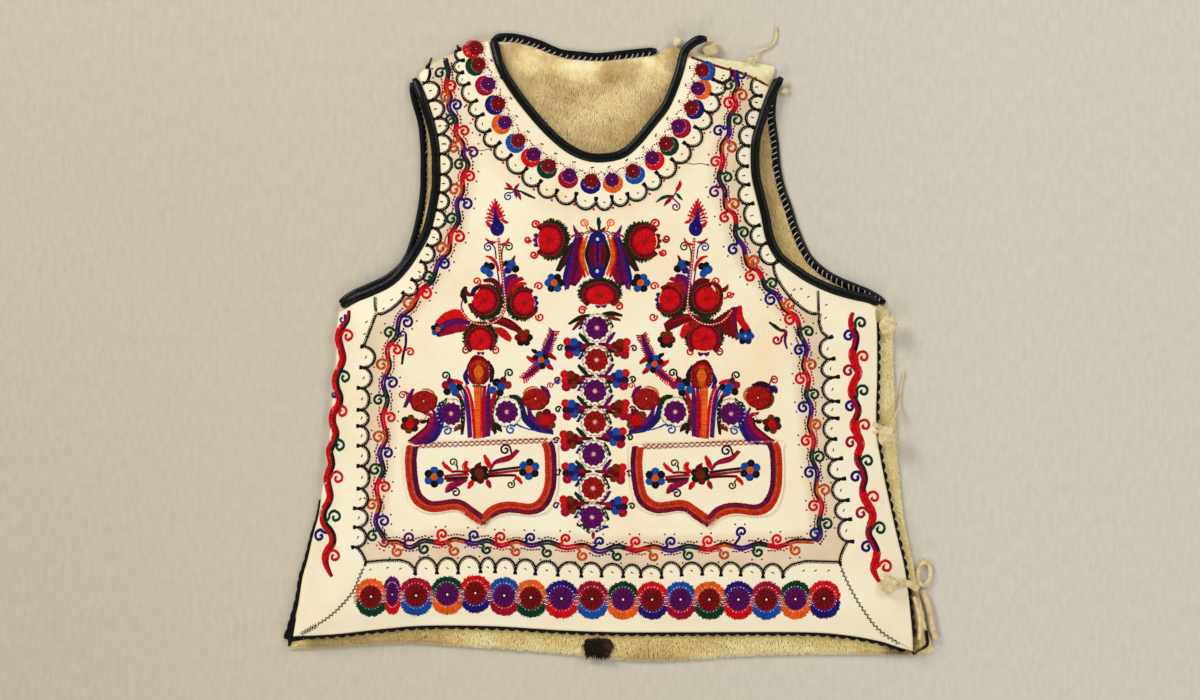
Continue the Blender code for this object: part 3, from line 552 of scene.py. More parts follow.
def triangulate(loops, lines, loose):
    """Plan triangles that keep every loop and line as an edge."""
    points, edges = [], []
    for line, closed in [(loop, True) for loop in loops] + [(line, False) for line in lines]:
        start = len(points)
        points.extend(line)
        count = len(line)
        last = count if closed else count - 1
        edges.extend((start + i, start + (i + 1) % count) for i in range(last))
    points.extend(loose)
    found = delaunay_2d_cdt([Vector(p) for p in points], edges, [], 0, SNAP)
    corners = np.array([tuple(v) for v in found[0]])
    faces = np.array([list(face) for face in found[2]])
    return corners, faces


def faces_in(mesh, *outlines):
    """A plan mesh with only the triangles that lie in every outline."""
    corners, faces = mesh
    middles = corners[faces].mean(axis=1)
    keep = np.ones(len(faces), bool)
    for outline in outlines:
        keep &= in_runs(lambda p: inside(p, outline))(middles)
    return corners, faces[keep]


def filled(outline, pitch, extra=()):
    """An outline filled with an even net of triangles."""
    fixed = np.vstack((outline, *extra)) if len(extra) else outline
    inner = np.vstack((grid_in(outline, pitch, fixed), *extra))
    return faces_in(triangulate([outline], [], inner), outline)


def rim_edges(faces):
    """Directed edges that only one face uses."""
    edges = np.vstack((faces[:, [0, 1]], faces[:, [1, 2]], faces[:, [2, 0]]))
    ends = set(map(tuple, edges.tolist()))
    return [(a, b) for a, b in ends if (b, a) not in ends]


# ---------------------------------------------------------------- materials
def tone(red, green, blue):
    """A screen colour of 0 to 255 as linear light."""
    def line(c):
        c /= 255
        return c / 12.92 if c <= 0.04045 else ((c + 0.055) / 1.055) ** 2.4
    return (line(red), line(green), line(blue), 1)


NOISE_ROUGHNESS = 0.55


class Look:
    """A material and short ways to wire its nodes."""

    def __init__(self, name, **sockets):
        self.material = bpy.data.materials.new(name)
        self.material.use_nodes = True
        self.tree = self.material.node_tree
        self.shader = self.tree.nodes["Principled BSDF"]
        for key, value in sockets.items():
            self.shader.inputs[key.replace("_", " ")].default_value = value
        self.place = self.node("ShaderNodeTexCoord").outputs["Object"]

    def node(self, kind, **values):
        made = self.tree.nodes.new(kind)
        for key, value in values.items():
            setattr(made, key, value)
        return made

    def wire(self, source, target):
        self.tree.links.new(source, target)

    def noise(self, size, detail=3, stretch=None):
        """Soft noise whose blobs are about this size in metres."""
        place = self.place
        if stretch is not None:
            mapped = self.node("ShaderNodeMapping")
            mapped.inputs["Scale"].default_value = stretch
            self.wire(self.place, mapped.inputs["Vector"])
            place = mapped.outputs["Vector"]
        made = self.node("ShaderNodeTexNoise")
        made.inputs["Scale"].default_value = 1 / size
        made.inputs["Detail"].default_value = detail
        made.inputs["Roughness"].default_value = NOISE_ROUGHNESS
        self.wire(place, made.inputs["Vector"])
        return made.outputs["Fac"]

    def cells(self, size):
        made = self.node("ShaderNodeTexVoronoi")
        made.inputs["Scale"].default_value = 1 / size
        self.wire(self.place, made.inputs["Vector"])
        return made.outputs["Distance"]

    def value(self, name):
        return self.node("ShaderNodeAttribute", attribute_name=name).outputs["Fac"]

    def ramp(self, source, *stops):
        """A colour that runs through (place, colour) stops."""
        made = self.node("ShaderNodeValToRGB")
        elements = made.color_ramp.elements
        while len(elements) < len(stops):
            elements.new(0.5)
        for element, (place, colour) in zip(elements, stops):
            element.position = place
            element.color = colour
        self.wire(source, made.inputs["Fac"])
        return made.outputs["Color"]

    def mix(self, share, first, second, blend="MIX"):
        made = self.node("ShaderNodeMix", data_type="RGBA", blend_type=blend)
        for key, value in (("Factor", share), ("A", first), ("B", second)):
            socket = next(s for s in made.inputs if s.name == key and s.enabled)
            if isinstance(value, (int, float, tuple)):
                socket.default_value = value
            else:
                self.wire(value, socket)
        return next(s for s in made.outputs if s.enabled)

    def sums(self, *terms):
        """A sum of (source, weight) terms."""
        total = None
        for source, weight in terms:
            scaled = self.node("ShaderNodeMath", operation="MULTIPLY")
            self.wire(source, scaled.inputs[0])
            scaled.inputs[1].default_value = weight
            if total is None:
                total = scaled.outputs[0]
                continue
            added = self.node("ShaderNodeMath", operation="ADD")
            self.wire(total, added.inputs[0])
            self.wire(scaled.outputs[0], added.inputs[1])
            total = added.outputs[0]
        return total

    def colour(self, source):
        self.wire(source, self.shader.inputs["Base Color"])

    def rough(self, source, low, high):
        made = self.node("ShaderNodeMapRange")
        made.inputs["To Min"].default_value = low
        made.inputs["To Max"].default_value = high
        self.wire(source, made.inputs["Value"])
        self.wire(made.outputs["Result"], self.shader.inputs["Roughness"])

    def bump(self, source, depth):
        """Raise the surface by up to this many metres."""
        made = self.node("ShaderNodeBump")
        made.inputs["Strength"].default_value = 1
        made.inputs["Distance"].default_value = depth
        self.wire(source, made.inputs["Height"])
        self.wire(made.outputs["Normal"], self.shader.inputs["Normal"])


def hide_look():
    """Tanned sheepskin: cream, yellower in soft clouds, browned where the vine runs."""
    look = Look("white_hide", Sheen_Weight=0.25, Sheen_Roughness=0.5, Specular_IOR_Level=0.35)
    clouds = look.noise(0.085, 4)
    base = look.ramp(clouds, (0.30, tone(255, 248, 219)), (0.54, tone(255, 240, 203)),
                     (0.78, tone(251, 227, 184)))
    browns = look.sums((look.noise(0.030, 5), 0.6), (look.noise(0.110, 2), 0.4))
    stain = look.ramp(browns, (0.32, tone(246, 222, 188)), (0.7, tone(216, 187, 150)))
    worn = look.sums((look.value("worn"), 1.05), (look.noise(0.016, 4), -0.32))
    base = look.mix(worn, base, stain)
    speck = look.ramp(look.noise(0.0016, 2), (0.35, (0.90, 0.90, 0.90, 1)), (0.6, (1, 1, 1, 1)))
    look.colour(look.mix(0.5, base, speck, "MULTIPLY"))
    look.rough(look.noise(0.004), 0.55, 0.78)
    look.bump(look.sums((look.noise(0.0011, 3), 0.5), (look.cells(0.0022), 0.35),
                        (look.noise(0.009, 3), 0.9)), 0.00032)
    return look.material


def kid_look():
    """White kid leather, smoother and whiter than the hide."""
    look = Look("kid", Sheen_Weight=0.15, Sheen_Roughness=0.5, Specular_IOR_Level=0.4)
    base = look.ramp(look.noise(0.050, 4), (0.30, tone(255, 246, 217)),
                     (0.60, tone(254, 238, 201)), (0.82, tone(248, 225, 180)))
    speck = look.ramp(look.noise(0.0014, 2), (0.35, (0.92, 0.92, 0.92, 1)), (0.6, (1, 1, 1, 1)))
    look.colour(look.mix(0.5, base, speck, "MULTIPLY"))
    look.rough(look.noise(0.005), 0.48, 0.68)
    look.bump(look.sums((look.noise(0.0009, 3), 0.5), (look.cells(0.0017), 0.3),
                        (look.noise(0.007, 3), 0.9)), 0.00022)
    return look.material


def black_look():
    """Black leather, polished on its ridges."""
    look = Look("black_leather", Specular_IOR_Level=0.20)
    look.colour(look.ramp(look.noise(0.006, 4), (0.35, (0.0015, 0.0015, 0.0015, 1)),
                          (0.75, (0.005, 0.004, 0.0045, 1))))
    look.rough(look.noise(0.003, 3), 0.22, 0.40)
    look.bump(look.sums((look.noise(0.0016, 4), 0.7), (look.cells(0.0012), 0.3)), 0.00035)
    return look.material


def edging_look():
    """The dull black leather of the pinked strips."""
    look = Look("black_edging", Specular_IOR_Level=0.15)
    look.colour(look.ramp(look.noise(0.003, 4), (0.35, (0.003, 0.002, 0.002, 1)),
                          (0.75, (0.010, 0.008, 0.006, 1))))
    look.rough(look.noise(0.002, 3), 0.55, 0.80)
    look.bump(look.noise(0.0008, 4), 0.00025)
    return look.material


# Where the first of a wool's tints stands on its ramp, and how far apart they are.
FIRST_TINT, TINT_STEP = 0.22, 0.155


def wool_look(name, tints, base=False):
    """Wool: the tint of a lock comes from its own value."""
    look = Look(name, Roughness=0.85, Sheen_Weight=0.35, Sheen_Roughness=0.4,
                Specular_IOR_Level=0.2)
    source = look.noise(0.010, 5) if base else look.value("lock")
    broad = look.noise(0.055, 3)
    terms = [(source, 0.62), (broad, 0.42)]
    # The skin's colour takes in its own tint and the painted highlight and shadow from the same map
    # as the locks.
    if base:
        terms.append((look.value("tint_and_painted_light"), 0.70))
    tint = look.ramp(look.sums(*terms),
                     *((FIRST_TINT + TINT_STEP * i, t) for i, t in enumerate(tints)))
    look.colour(tint)
    if base:
        look.bump(look.sums((look.noise(0.0022, 5), 1.0), (look.noise(0.009, 4), 1.2)), 0.0016)
    else:
        look.bump(look.noise(0.0006, 2), 0.0001)
    return look.material


def thong_look():
    """Pale undyed leather, browned by hands."""
    look = Look("thong", Sheen_Weight=0.3, Specular_IOR_Level=0.35)
    look.colour(look.ramp(look.noise(0.005, 5), (0.28, tone(196, 170, 118)),
                          (0.50, tone(229, 205, 152)), (0.74, tone(247, 232, 190))))
    look.rough(look.noise(0.003), 0.55, 0.8)
    look.bump(look.sums((look.noise(0.0007, 4), 0.6), (look.noise(0.0035, 3), 0.8)), 0.0005)
    return look.material


def thread_look(name, colour):
    """Wool yarn laid in stitches, a little uneven in its dye."""
    look = Look("thread_" + name, Specular_IOR_Level=0.09)
    dark = tuple(c * 0.55 for c in colour[:3]) + (1,)
    light = tuple(min(1, c * 1.18 + 0.002) for c in colour[:3]) + (1,)
    source = look.sums((look.noise(0.0024, 4), 0.55), (look.value("dye"), 0.45))
    look.colour(look.ramp(source, (0.25, dark), (0.50, colour), (0.78, light)))
    look.rough(look.noise(0.002, 2), 0.55, 0.85)
    look.bump(look.noise(0.0005, 3), 0.00014)
    return look.material


# The dyes of the yarn.
THREADS = {
    "red": tone(212, 10, 16), "crimson": tone(164, 6, 44), "dark_red": tone(108, 4, 12),
    "purple": tone(94, 8, 92), "navy": tone(30, 18, 108), "blue": tone(20, 78, 160),
    "orange": tone(236, 96, 22), "green": tone(6, 56, 34), "brown": tone(118, 44, 12),
    "black": tone(18, 12, 10), "cream": tone(246, 234, 206), "pink": tone(226, 130, 130),
    "ochre": tone(200, 118, 36), "leaf": tone(30, 26, 10), "moss": tone(16, 44, 14),
    "brick": tone(164, 18, 12), "plum": tone(92, 4, 56), "rust": tone(196, 76, 26),
    "night": tone(46, 4, 44), "ember": tone(66, 4, 8), "wine": tone(132, 8, 16),
    # The last grey is painted shade, laid round rims of pale stitches.
    "flame": tone(206, 46, 18), "shade_grey": tone(176, 146, 124),
}


# ---------------------------------------------------------------- pieces
def add_piece(name, corners, faces, looks, replaces=(), slot=None, index=None, values=None,
              smooth=True, sharp=None):
    """A mesh piece that rides on the vest's one body."""
    mesh = bpy.data.meshes.new(name)
    mesh.from_pydata(np.asarray(corners, np.float64).tolist(), [],
                     [tuple(map(int, face)) for face in faces])
    for look in looks if isinstance(looks, (list, tuple)) else [looks]:
        mesh.materials.append(look)
    if index is not None:
        mesh.polygons.foreach_set("material_index", np.asarray(index, np.int32))
    for key, data in (values or {}).items():
        layer = mesh.attributes.new(key, "FLOAT", "POINT")
        layer.data.foreach_set("value", np.asarray(data, np.float32))
    mesh.polygons.foreach_set("use_smooth", np.full(len(mesh.polygons), smooth))
    mesh.update()
    if sharp is not None:
        mesh.set_sharp_from_angle(angle=math.radians(sharp))
    obj = bpy.data.objects.new(name, mesh)
    bpy.context.scene.collection.objects.link(obj)
    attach(obj, "root")
    if replaces:
        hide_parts(*replaces)
    return obj


def sheet_mesh(plan_mesh, low_height, high_height):
    """Corners and faces of a closed sheet with the same net above and below."""
    points, triangles = plan_mesh
    used, index = np.unique(triangles, return_inverse=True)
    triangles = index.reshape(-1, 3)
    points = points[used]
    count = len(points)
    corners = np.vstack((
        np.column_stack((points, low_height(points))),
        np.column_stack((points, high_height(points))),
    ))
    rim = np.array(rim_edges(triangles))
    sides = np.vstack((
        np.column_stack((rim[:, 0], rim[:, 1], rim[:, 1] + count)),
        np.column_stack((rim[:, 0], rim[:, 1] + count, rim[:, 0] + count)),
    ))
    return corners, np.vstack((triangles[:, ::-1], triangles + count, sides))


def add_layer(name, plan_mesh, low_height, high_height, look, replaces, slot, values=None):
    corners, faces = sheet_mesh(plan_mesh, low_height, high_height)
    filled_values = {k: f(corners[:, :2]) for k, f in (values or {}).items()}
    return add_piece(name, corners, faces, look, replaces, slot, values=filled_values, sharp=50)


def sweep_mesh(path, across, ups, half_width, half_height, sides=12, closed=False, power=1.0):
    """A bar along a path; across and ups are unit rows, the halves one number a row."""
    count = len(path)
    turns = np.arange(sides) * math.tau / sides
    reach = np.sign(np.cos(turns)) * np.abs(np.cos(turns)) ** power
    rise = np.sign(np.sin(turns)) * np.abs(np.sin(turns)) ** power
    half_width = np.broadcast_to(half_width, count)[:, None, None]
    half_height = np.broadcast_to(half_height, count)[:, None, None]
    corners = (path[:, None] + across[:, None] * reach[None, :, None] * half_width
               + ups[:, None] * rise[None, :, None] * half_height).reshape(-1, 3)
    faces = []
    for i in range(count if closed else count - 1):
        here, there = i * sides, (i + 1) % count * sides
        for j in range(sides):
            k = (j + 1) % sides
            faces.append((here + j, here + k, there + k, there + j))
    if not closed:
        faces.append(tuple(range(sides - 1, -1, -1)))
        faces.append(tuple(range((count - 1) * sides, count * sides)))
    return corners, faces


def joined(parts):
    """Several meshes as one."""
    corners, faces, start = [], [], 0
    for points, polygons in parts:
        corners.append(points)
        faces.extend(tuple(start + int(i) for i in polygon) for polygon in polygons)
        start += len(points)
    return np.vstack(corners), faces


def flat_frames(path):
    """Level rows across a path, and the upright that goes with them."""
    across = np.column_stack((left_normals(path), np.zeros(len(path))))
    along = np.gradient(path, axis=0)
    along /= np.linalg.norm(along, axis=1)[:, None]
    ups = np.cross(along, across)
    ups /= np.linalg.norm(ups, axis=1)[:, None]
    return across, ups


def tapered(count, ends=3, tip=0.35):
    """1 along a bar and less towards its ends."""
    share = np.ones(count)
    for i in range(min(ends, count // 2)):
        rounded = tip + (1 - tip) * math.sin((i + 0.5) / ends * math.pi / 2)
        share[i] = share[-1 - i] = rounded
    return share


# ---------------------------------------------------------------- stage
# The photo's width and middle in grid squares, and the height where the scale holds.
PHOTO_WIDTH = 1200
PHOTO_MIDDLE = (600, 350)
SCALE_HEIGHT = 0.012
CAMERA_HEIGHT = 3.6
SENSOR = 36
# Columns: name, place, size, power.
LIGHTS = (
    ("key", (-1.30, 1.25, 1.35), 0.8, 27), ("side", (1.45, 1.10, 1.50), 1.0, 15),
    ("front", (-0.90, -1.60, 1.50), 1.0, 13), ("fill", (1.40, -1.30, 1.40), 1.0, 11),
)
FLOOR_HALF = 4
FLOOR_DROP = 0.0002
# The floor carries painted shade on the left: from this x to this one.
SHADE_FROM, SHADE_TO = -0.55, 0.35


def make_camera(scene):
    """Straight down, so far up that the vest's height hardly shows."""
    camera = bpy.data.objects.new("camera", bpy.data.cameras.new("camera"))
    camera.location = (*plan((PHOTO_MIDDLE,))[0], CAMERA_HEIGHT)
    camera.data.sensor_width = SENSOR
    camera.data.lens = SENSOR * (CAMERA_HEIGHT - SCALE_HEIGHT) / (PHOTO_WIDTH * GRID)
    camera.data.clip_start, camera.data.clip_end = 0.1, 20
    scene.collection.objects.link(camera)
    scene.camera = camera


def make_lights(scene):
    """Soft lights from all four corners, the strongest at the upper left."""
    for name, place, size, power in LIGHTS:
        light = bpy.data.objects.new(name, bpy.data.lights.new(name, "AREA"))
        light.data.size = size
        light.data.energy = power
        light.location = place
        light.rotation_mode = "QUATERNION"
        light.rotation_quaternion = Vector(place).to_track_quat("Z", "Y")
        light.visible_camera = False
        scene.collection.objects.link(light)
    world = bpy.data.worlds.new("studio")
    world.use_nodes = True
    sky = world.node_tree.nodes["Background"]
    sky.inputs["Color"].default_value = (1, 0.98, 0.94, 1)
    sky.inputs["Strength"].default_value = 0.22
    scene.world = world


def floor_look():
    """Pale linen, with painted shade on the left."""
    look = Look("floor", Roughness=0.9, Specular_IOR_Level=0.1)
    weave = look.ramp(look.noise(0.012, 5, stretch=(3, 1, 1)), (0.3, tone(210, 203, 187)),
                      (0.7, tone(220, 213, 197)))
    sides = look.node("ShaderNodeSeparateXYZ")
    look.wire(look.place, sides.inputs[0])
    across = look.node("ShaderNodeMapRange")
    across.inputs["From Min"].default_value = SHADE_FROM
    across.inputs["From Max"].default_value = SHADE_TO
    look.wire(sides.outputs["X"], across.inputs["Value"])
    shade = look.ramp(across.outputs["Result"], (0.0, (0.84, 0.80, 0.72, 1)), (1.0, (1, 1, 1, 1)))
    look.colour(look.mix(1.0, weave, shade, "MULTIPLY"))
    look.bump(look.noise(0.0012, 2), 0.0001)
    return look.material


def make_floor(scene):
    mesh = bpy.data.meshes.new("floor")
    corners = [(x * FLOOR_HALF, y * FLOOR_HALF, 0) for x, y in ((-1, -1), (1, -1), (1, 1), (-1, 1))]
    mesh.from_pydata(corners, [], [(0, 1, 2, 3)])
    mesh.materials.append(floor_look())
    ground = bpy.data.objects.new("floor", mesh)
    ground.location.z = -FLOOR_DROP
    scene.collection.objects.link(ground)


def make_stage():
    scene = bpy.context.scene
    scene.view_settings.view_transform = "Standard"
    make_camera(scene)
    make_lights(scene)
    make_floor(scene)


# ---------------------------------------------------------------- hides
# Columns: u, v of each valley between two scallops and the depth of the next one.
NECK_HUMPS = (
    (457, 44, 0), (457.5, 49, 4), (461.5, 60.5, 7.5), (461, 73.3, 7), (467.5, 85, 8.5),
    (475, 102, 9), (481.5, 115.7, 9), (488.5, 131.8, 9.5), (498.5, 144.5, 10), (510, 157, 10),
    (525.5, 170.3, 10), (540, 183, 10), (556.5, 192.6, 10), (576, 195.8, 11), (596, 200.7, 10),
    (612, 199, 8.5), (628, 196, 9.5), (645, 186.3, 10), (657.5, 174.3, 10.5), (673, 161, 11),
    (685.5, 144.4, 11), (696.5, 128.4, 11), (704, 111.2, 11), (712.5, 95, 11), (714.8, 80.7, 9),
    (729, 67.5, 0), (731, 62, 0),
)
ARM_LEFT_HUMPS = (
    (431, 57, 0), (427.5, 67, 3.5), (424.5, 83, 12.5), (430, 101, 12), (434.5, 119, 12),
    (438.8, 135, 11.5), (441, 154, 10.5), (441.5, 174.5, 10), (440.5, 192.6, 10),
    (437.5, 210, 10.5), (433.5, 228, 10), (428.5, 245.5, 9.5), (422, 262, 8.5), (413, 280, 9.5),
    (404, 293.5, 4.5), (378.5, 313.5, 0),
)
ARM_RIGHT_HUMPS = (
    (817, 313, 10.5), (775, 263, 10), (764.5, 244, 10.5), (757.5, 226, 10), (751, 204, 10.5),
    (747, 185, 10), (745.5, 166.5, 9.5), (747, 146, 10), (751.5, 127, 8.5), (757.5, 110, 8.5),
    (759.5, 96, 7), (757, 78, 0), (759, 68, 0),
)
SIDE_LEFT_HUMPS = (
    (365.4, 565, 3.5), (354.6, 546.4, 11), (356.4, 526.8, 11.5), (356.4, 508, 10),
    (360, 488.4, 9.5), (360, 465.7, 9.5), (360, 445.5, 9), (359.6, 425.9, 9), (360, 409.8, 9.5),
    (360, 387.9, 10.5), (362.7, 367.5, 12), (363.6, 346.8, 0), (376, 314.5, 0),
)
SIDE_RIGHT_HUMPS = (
    (819.5, 314, 0), (818.5, 322, 0), (821.5, 332, 0), (829, 338, 10.5), (831, 359, 12),
    (835.4, 377, 13), (835.7, 401.3, 13), (835, 418, 10.5), (832.7, 439, 11),
    (838.6, 458.6, 12), (841.6, 478.6, 11.5), (845.2, 500, 11.5), (847.5, 519, 10.5),
    (849.6, 540.7, 3.5), (840.5, 565, 0),
)
HEM_HUMPS = (
    (365.5, 562, 0), (385, 560.2, 0), (401, 560, 0), (409, 562.5, 0), (413.5, 567, 0),
    (416.1, 572.5, 14.5), (437.3, 571.4, 13.5), (458.5, 571.4, 14.5), (480.8, 570.3, 12.5),
    (495.4, 570.3, 12.5), (515.4, 571.4, 12.5), (535.5, 572.5, 12), (557.9, 573.7, 12),
    (581.3, 574.8, 12), (601.5, 574.5, 11), (623.1, 575.1, 10.5), (640.7, 575.1, 9.5),
    (661.4, 575.9, 12.5), (681.3, 573.5, 10.5), (702, 572.7, 10), (720.7, 573.5, 11),
    (740.3, 573.5, 10.5), (762.6, 575.4, 11.5), (782.1, 575.4, 0), (784.5, 570, 0),
    (791.3, 564.5, 0), (805.7, 561, 0), (840, 562, 0),
)


HUMP_STEPS = 14


def out_of(row, after, side):
    """The way a scallop bulges between two valleys, in grid squares."""
    along = np.array((after[0] - row[0], after[1] - row[1]), float)
    return np.array((along[1], -along[0])) * -side / np.linalg.norm(along)


def humps(rows, side):
    """Round scallops from valley to valley, each as deep as its row says."""
    share = np.linspace(0, 1, HUMP_STEPS + 1)[:-1, None]
    run, rise = (1 - np.cos(np.pi * share)) / 2, np.sin(np.pi * share)
    parts = [np.array(row[:2], float) + (np.array(after[:2]) - row[:2]) * run
             + out_of(row, after, side) * row[2] * rise for row, after in zip(rows, rows[1:])]
    return np.vstack((*parts, (rows[-1][:2],)))


# How finely a cut line is searched for its way out of the ring, how far through it
# the line goes on, and how clear of the ring its other points stay.
RING_SEARCH = 1200
STUB, RING_CLEAR = 0.0004, 0.0006


def stopped_at(line, ring):
    """The part of a line inside the ring, with a short stub through it."""
    fine = at_lengths(line, np.linspace(0, 1, RING_SEARCH))
    held = inside(fine, ring)
    first, last = np.flatnonzero(held)[[0, -1]]
    clear = inside(line, ring) & (distance_to(line, ring, True) > RING_CLEAR)
    rows = list(line[clear])
    if first > 0:
        out = fine[first - 1] - fine[first]
        rows.insert(0, fine[first] + out / np.linalg.norm(out) * STUB)
    if last < len(fine) - 1:
        out = fine[last + 1] - fine[last]
        rows.append(fine[last] + out / np.linalg.norm(out) * STUB)
    return np.array(rows)


# Columns: u, v of the short cuts that run on under the armholes' bindings.
UNDER_ARM_LEFT = ((376.3, 304), (374.8, 282))
UNDER_ARM_RIGHT = ((817, 300), (817.5, 272))
UNDER_SIDE_LEFT = ((373.8, 306), (372.3, 284))
UNDER_SIDE_RIGHT = ((819.4, 302), (820, 274))
# Half the gap between two bands along a zigzag join, and the pitch of its points.
JOIN_HALF, JOIN_PITCH = 0.00045, 0.012


def join_line(rows, side):
    """One edge of the gap along a zigzag join."""
    return beside(stations(rows, JOIN_PITCH), side * JOIN_HALF)


def band_lines():
    """Each band's name, the line that bounds it inside and points beyond its outer edge."""
    hem = plan(humps(HEM_HUMPS, -1))
    arm_left, arm_right = (plan(humps(rows, -1)) for rows in (ARM_LEFT_HUMPS, ARM_RIGHT_HUMPS))
    side_left, side_right = (plan(humps(rows, 1)) for rows in (SIDE_LEFT_HUMPS, SIDE_RIGHT_HUMPS))
    return (
        ("neck_band", (plan(humps(NECK_HUMPS, 1)),), ((745, 30), (609, 20), (450, 30))),
        ("armhole_band_left", (arm_left, plan(UNDER_ARM_LEFT)),
         ((300, 250), (380, 40), (430, 40))),
        ("armhole_band_right", (plan(UNDER_ARM_RIGHT)[::-1], arm_right),
         ((775, 50), (840, 60), (840, 250))),
        ("side_band_left",
         (join_line(JOIN_LEFT, -1)[::-1], side_left[1:], plan(UNDER_SIDE_LEFT)),
         ((340, 270), (250, 300), (250, 640))),
        ("side_band_right",
         (plan(UNDER_SIDE_RIGHT)[::-1], side_right, join_line(JOIN_RIGHT, 1)[1:]),
         ((960, 660), (960, 300), (850, 270))),
        ("hem_band", (join_line(JOIN_LEFT, 1)[::-1], hem, join_line(JOIN_RIGHT, -1)),
         ((950, 700), (250, 700))),
    )


RING = inset(FRONT_FINE, np.full(len(FRONT_FINE), RING_INSET))
BANDS = [(name, np.vstack(parts), np.vstack((*parts, plan(beyond))))
         for name, parts, beyond in band_lines()]
POCKETS = [
    (name, catmull(plan(np.array(POCKET_SHIELD + POCKET_SHIELD[:1]) + (u, v)), 4)[:-1])
    for name, u, v in POCKET_TIPS
]
FIELD_EDGE = plan(VINE_LEFT + VINE_BOTTOM[1:-1] + VINE_RIGHT[::-1])
NECK_VALLEYS = plan([row[:2] for row in NECK_HUMPS])
# How far the browned hide reaches from the vine and from the neck, and how brown it is there.
VINE_REACH, NECK_REACH, NECK_WEAR = 0.016, 0.022, 0.42
# Below this v the hide's rim stays pale this far in.
PALE_RIM_BELOW, PALE_RIM = 100, 0.006


@in_runs
def vine_wear(points):
    """How far the hide is browned: all between the vine and the bands, and just past the vine."""
    inwards = np.where(inside(points, FIELD_EDGE), 1, -1)
    away = distance_to(points, FIELD_EDGE) * inwards
    near_neck = smoothstep(1.4 - distance_to(points, NECK_VALLEYS) / NECK_REACH)
    browned = np.maximum(smoothstep(1.10 - away / VINE_REACH), NECK_WEAR * near_neck)
    rim = smoothstep(distance_to(points, FRONT_FINE, True) / PALE_RIM - 0.9)
    return browned * np.where(squares(points)[:, 1] > PALE_RIM_BELOW, rim, 1)


# How far apart the points of each net stand.
FRONT_NET, BACK_NET, BAND_NET, POCKET_NET = 0.0046, 0.020, 0.0042, 0.0040
# A band's net keeps this far off its cut edge.
CUT_CLEAR = 0.0015
# Extra lines of points this far in follow the rolled rims.
ROLL_LINES = (0.0004, 0.0011, 0.0021, 0.0033)


def make_hides(looks):
    """The panels' leather, and the bands and pockets on the front, which are returned."""
    close = [beside(line, depth) for line in TURNED_FINE for depth in ROLL_LINES]
    close = [line[inside(line, RING)] for line in close]
    front = filled(FRONT_FINE, FRONT_NET, close)
    lying = [add_layer("front_hide", front, front_underside, front_top, looks["hide"],
                       ["front_leather"], "white_hide", {"worn": vine_wear})]
    back = filled(BACK, BACK_NET)
    add_layer("back_hide", back, level(0), level(LEATHER), looks["hide"], ["back_leather"],
              "white_hide")
    net = grid_in(RING, BAND_NET, RING)
    for name, line, region in BANDS:
        near = net[in_runs(lambda p: inside(p, region))(net)]
        near = near[in_runs(lambda p: distance_to(p, line))(near) > CUT_CLEAR]
        mesh = faces_in(triangulate([RING], [stopped_at(line, RING)], near), region, RING)
        lying.append(add_layer(name + "_kid", mesh, raised(front_top, GAP),
                               raised(front_top, GAP + BAND), looks["kid"], [name], "kid"))
    for name, shape in POCKETS:
        mesh = filled(shape, POCKET_NET)
        lying.append(add_layer(name + "_patch", mesh, raised(front_top, GAP),
                               raised(front_top, GAP + POCKET), looks["kid"], [name], "kid"))
    return lying


# ---------------------------------------------------------------- bindings
BINDING_PITCH = 0.0030
ROLL_SIDES = 14
# Half widths and half heights of the rolls, and how uneven they are.
FRONT_ROLL, FRONT_ROLL_HEIGHT = 0.0040, 0.0024
BACK_ROLL, SLIM_BACK_ROLL, BACK_ROLL_HEIGHT = 0.0037, 0.0031, 0.0014
UNEVEN, UNEVEN_SIZE = 0.05, 0.020
SMOOTHINGS = 6
# The whip stitches over the back's bindings.
WHIP_PITCH, WHIP_SHIFT, WHIP_ENDS = 0.0052, 0.0008, 0.006
WHIP_POINTS, WHIP_STEPS = 6, 900
WHIP_OUT, WHIP_RISE, WHIP_FOOT, WHIP_LOWEST = 0.0004, 0.0019, 0.0006, -0.0009
WHIP_HALF, WHIP_HALF_HEIGHT = 0.00050, 0.00042
# The free end of the neck's binding: its place, its height there and how far back it bends.
NECK_END, NECK_END_HEIGHT, NECK_END_RISE, NECK_END_REACH = (707, 39), 0.0093, 0.0032, 0.026


def add_roll(name, line, width, height, seed, looks):
    """A roll of black leather along a line, tapered at its ends."""
    across, ups = flat_frames(line)
    fat = tapered(len(line)) * (1 + UNEVEN * ripple(line, UNEVEN_SIZE, seed))
    corners, faces = sweep_mesh(line, across, ups, width * fat, height * fat, ROLL_SIDES)
    add_piece(name + "_roll", corners, faces, looks["black"], [name], "black_leather")


def front_binding(name, rows, looks, lift=None):
    """A binding that follows the front's edge, or stands as high as lift says."""
    path = stations(rows, BINDING_PITCH)
    edge = beside(path, BINDING_STEP)
    height = front_underside(edge)
    closed = from_closed(edge) < ROLL
    height[closed] = front_wool_top(edge[closed]) + GAP
    middle = height + FRONT_LEATHER / 2
    if lift is not None:
        middle = np.maximum(middle, lift(path))
    for _ in range(SMOOTHINGS):
        middle[1:-1] = (middle[:-2] + middle[1:-1] * 2 + middle[2:]) / 4
    line = np.column_stack((path, middle))
    add_roll(name, line, FRONT_ROLL, FRONT_ROLL_HEIGHT, 5, looks)


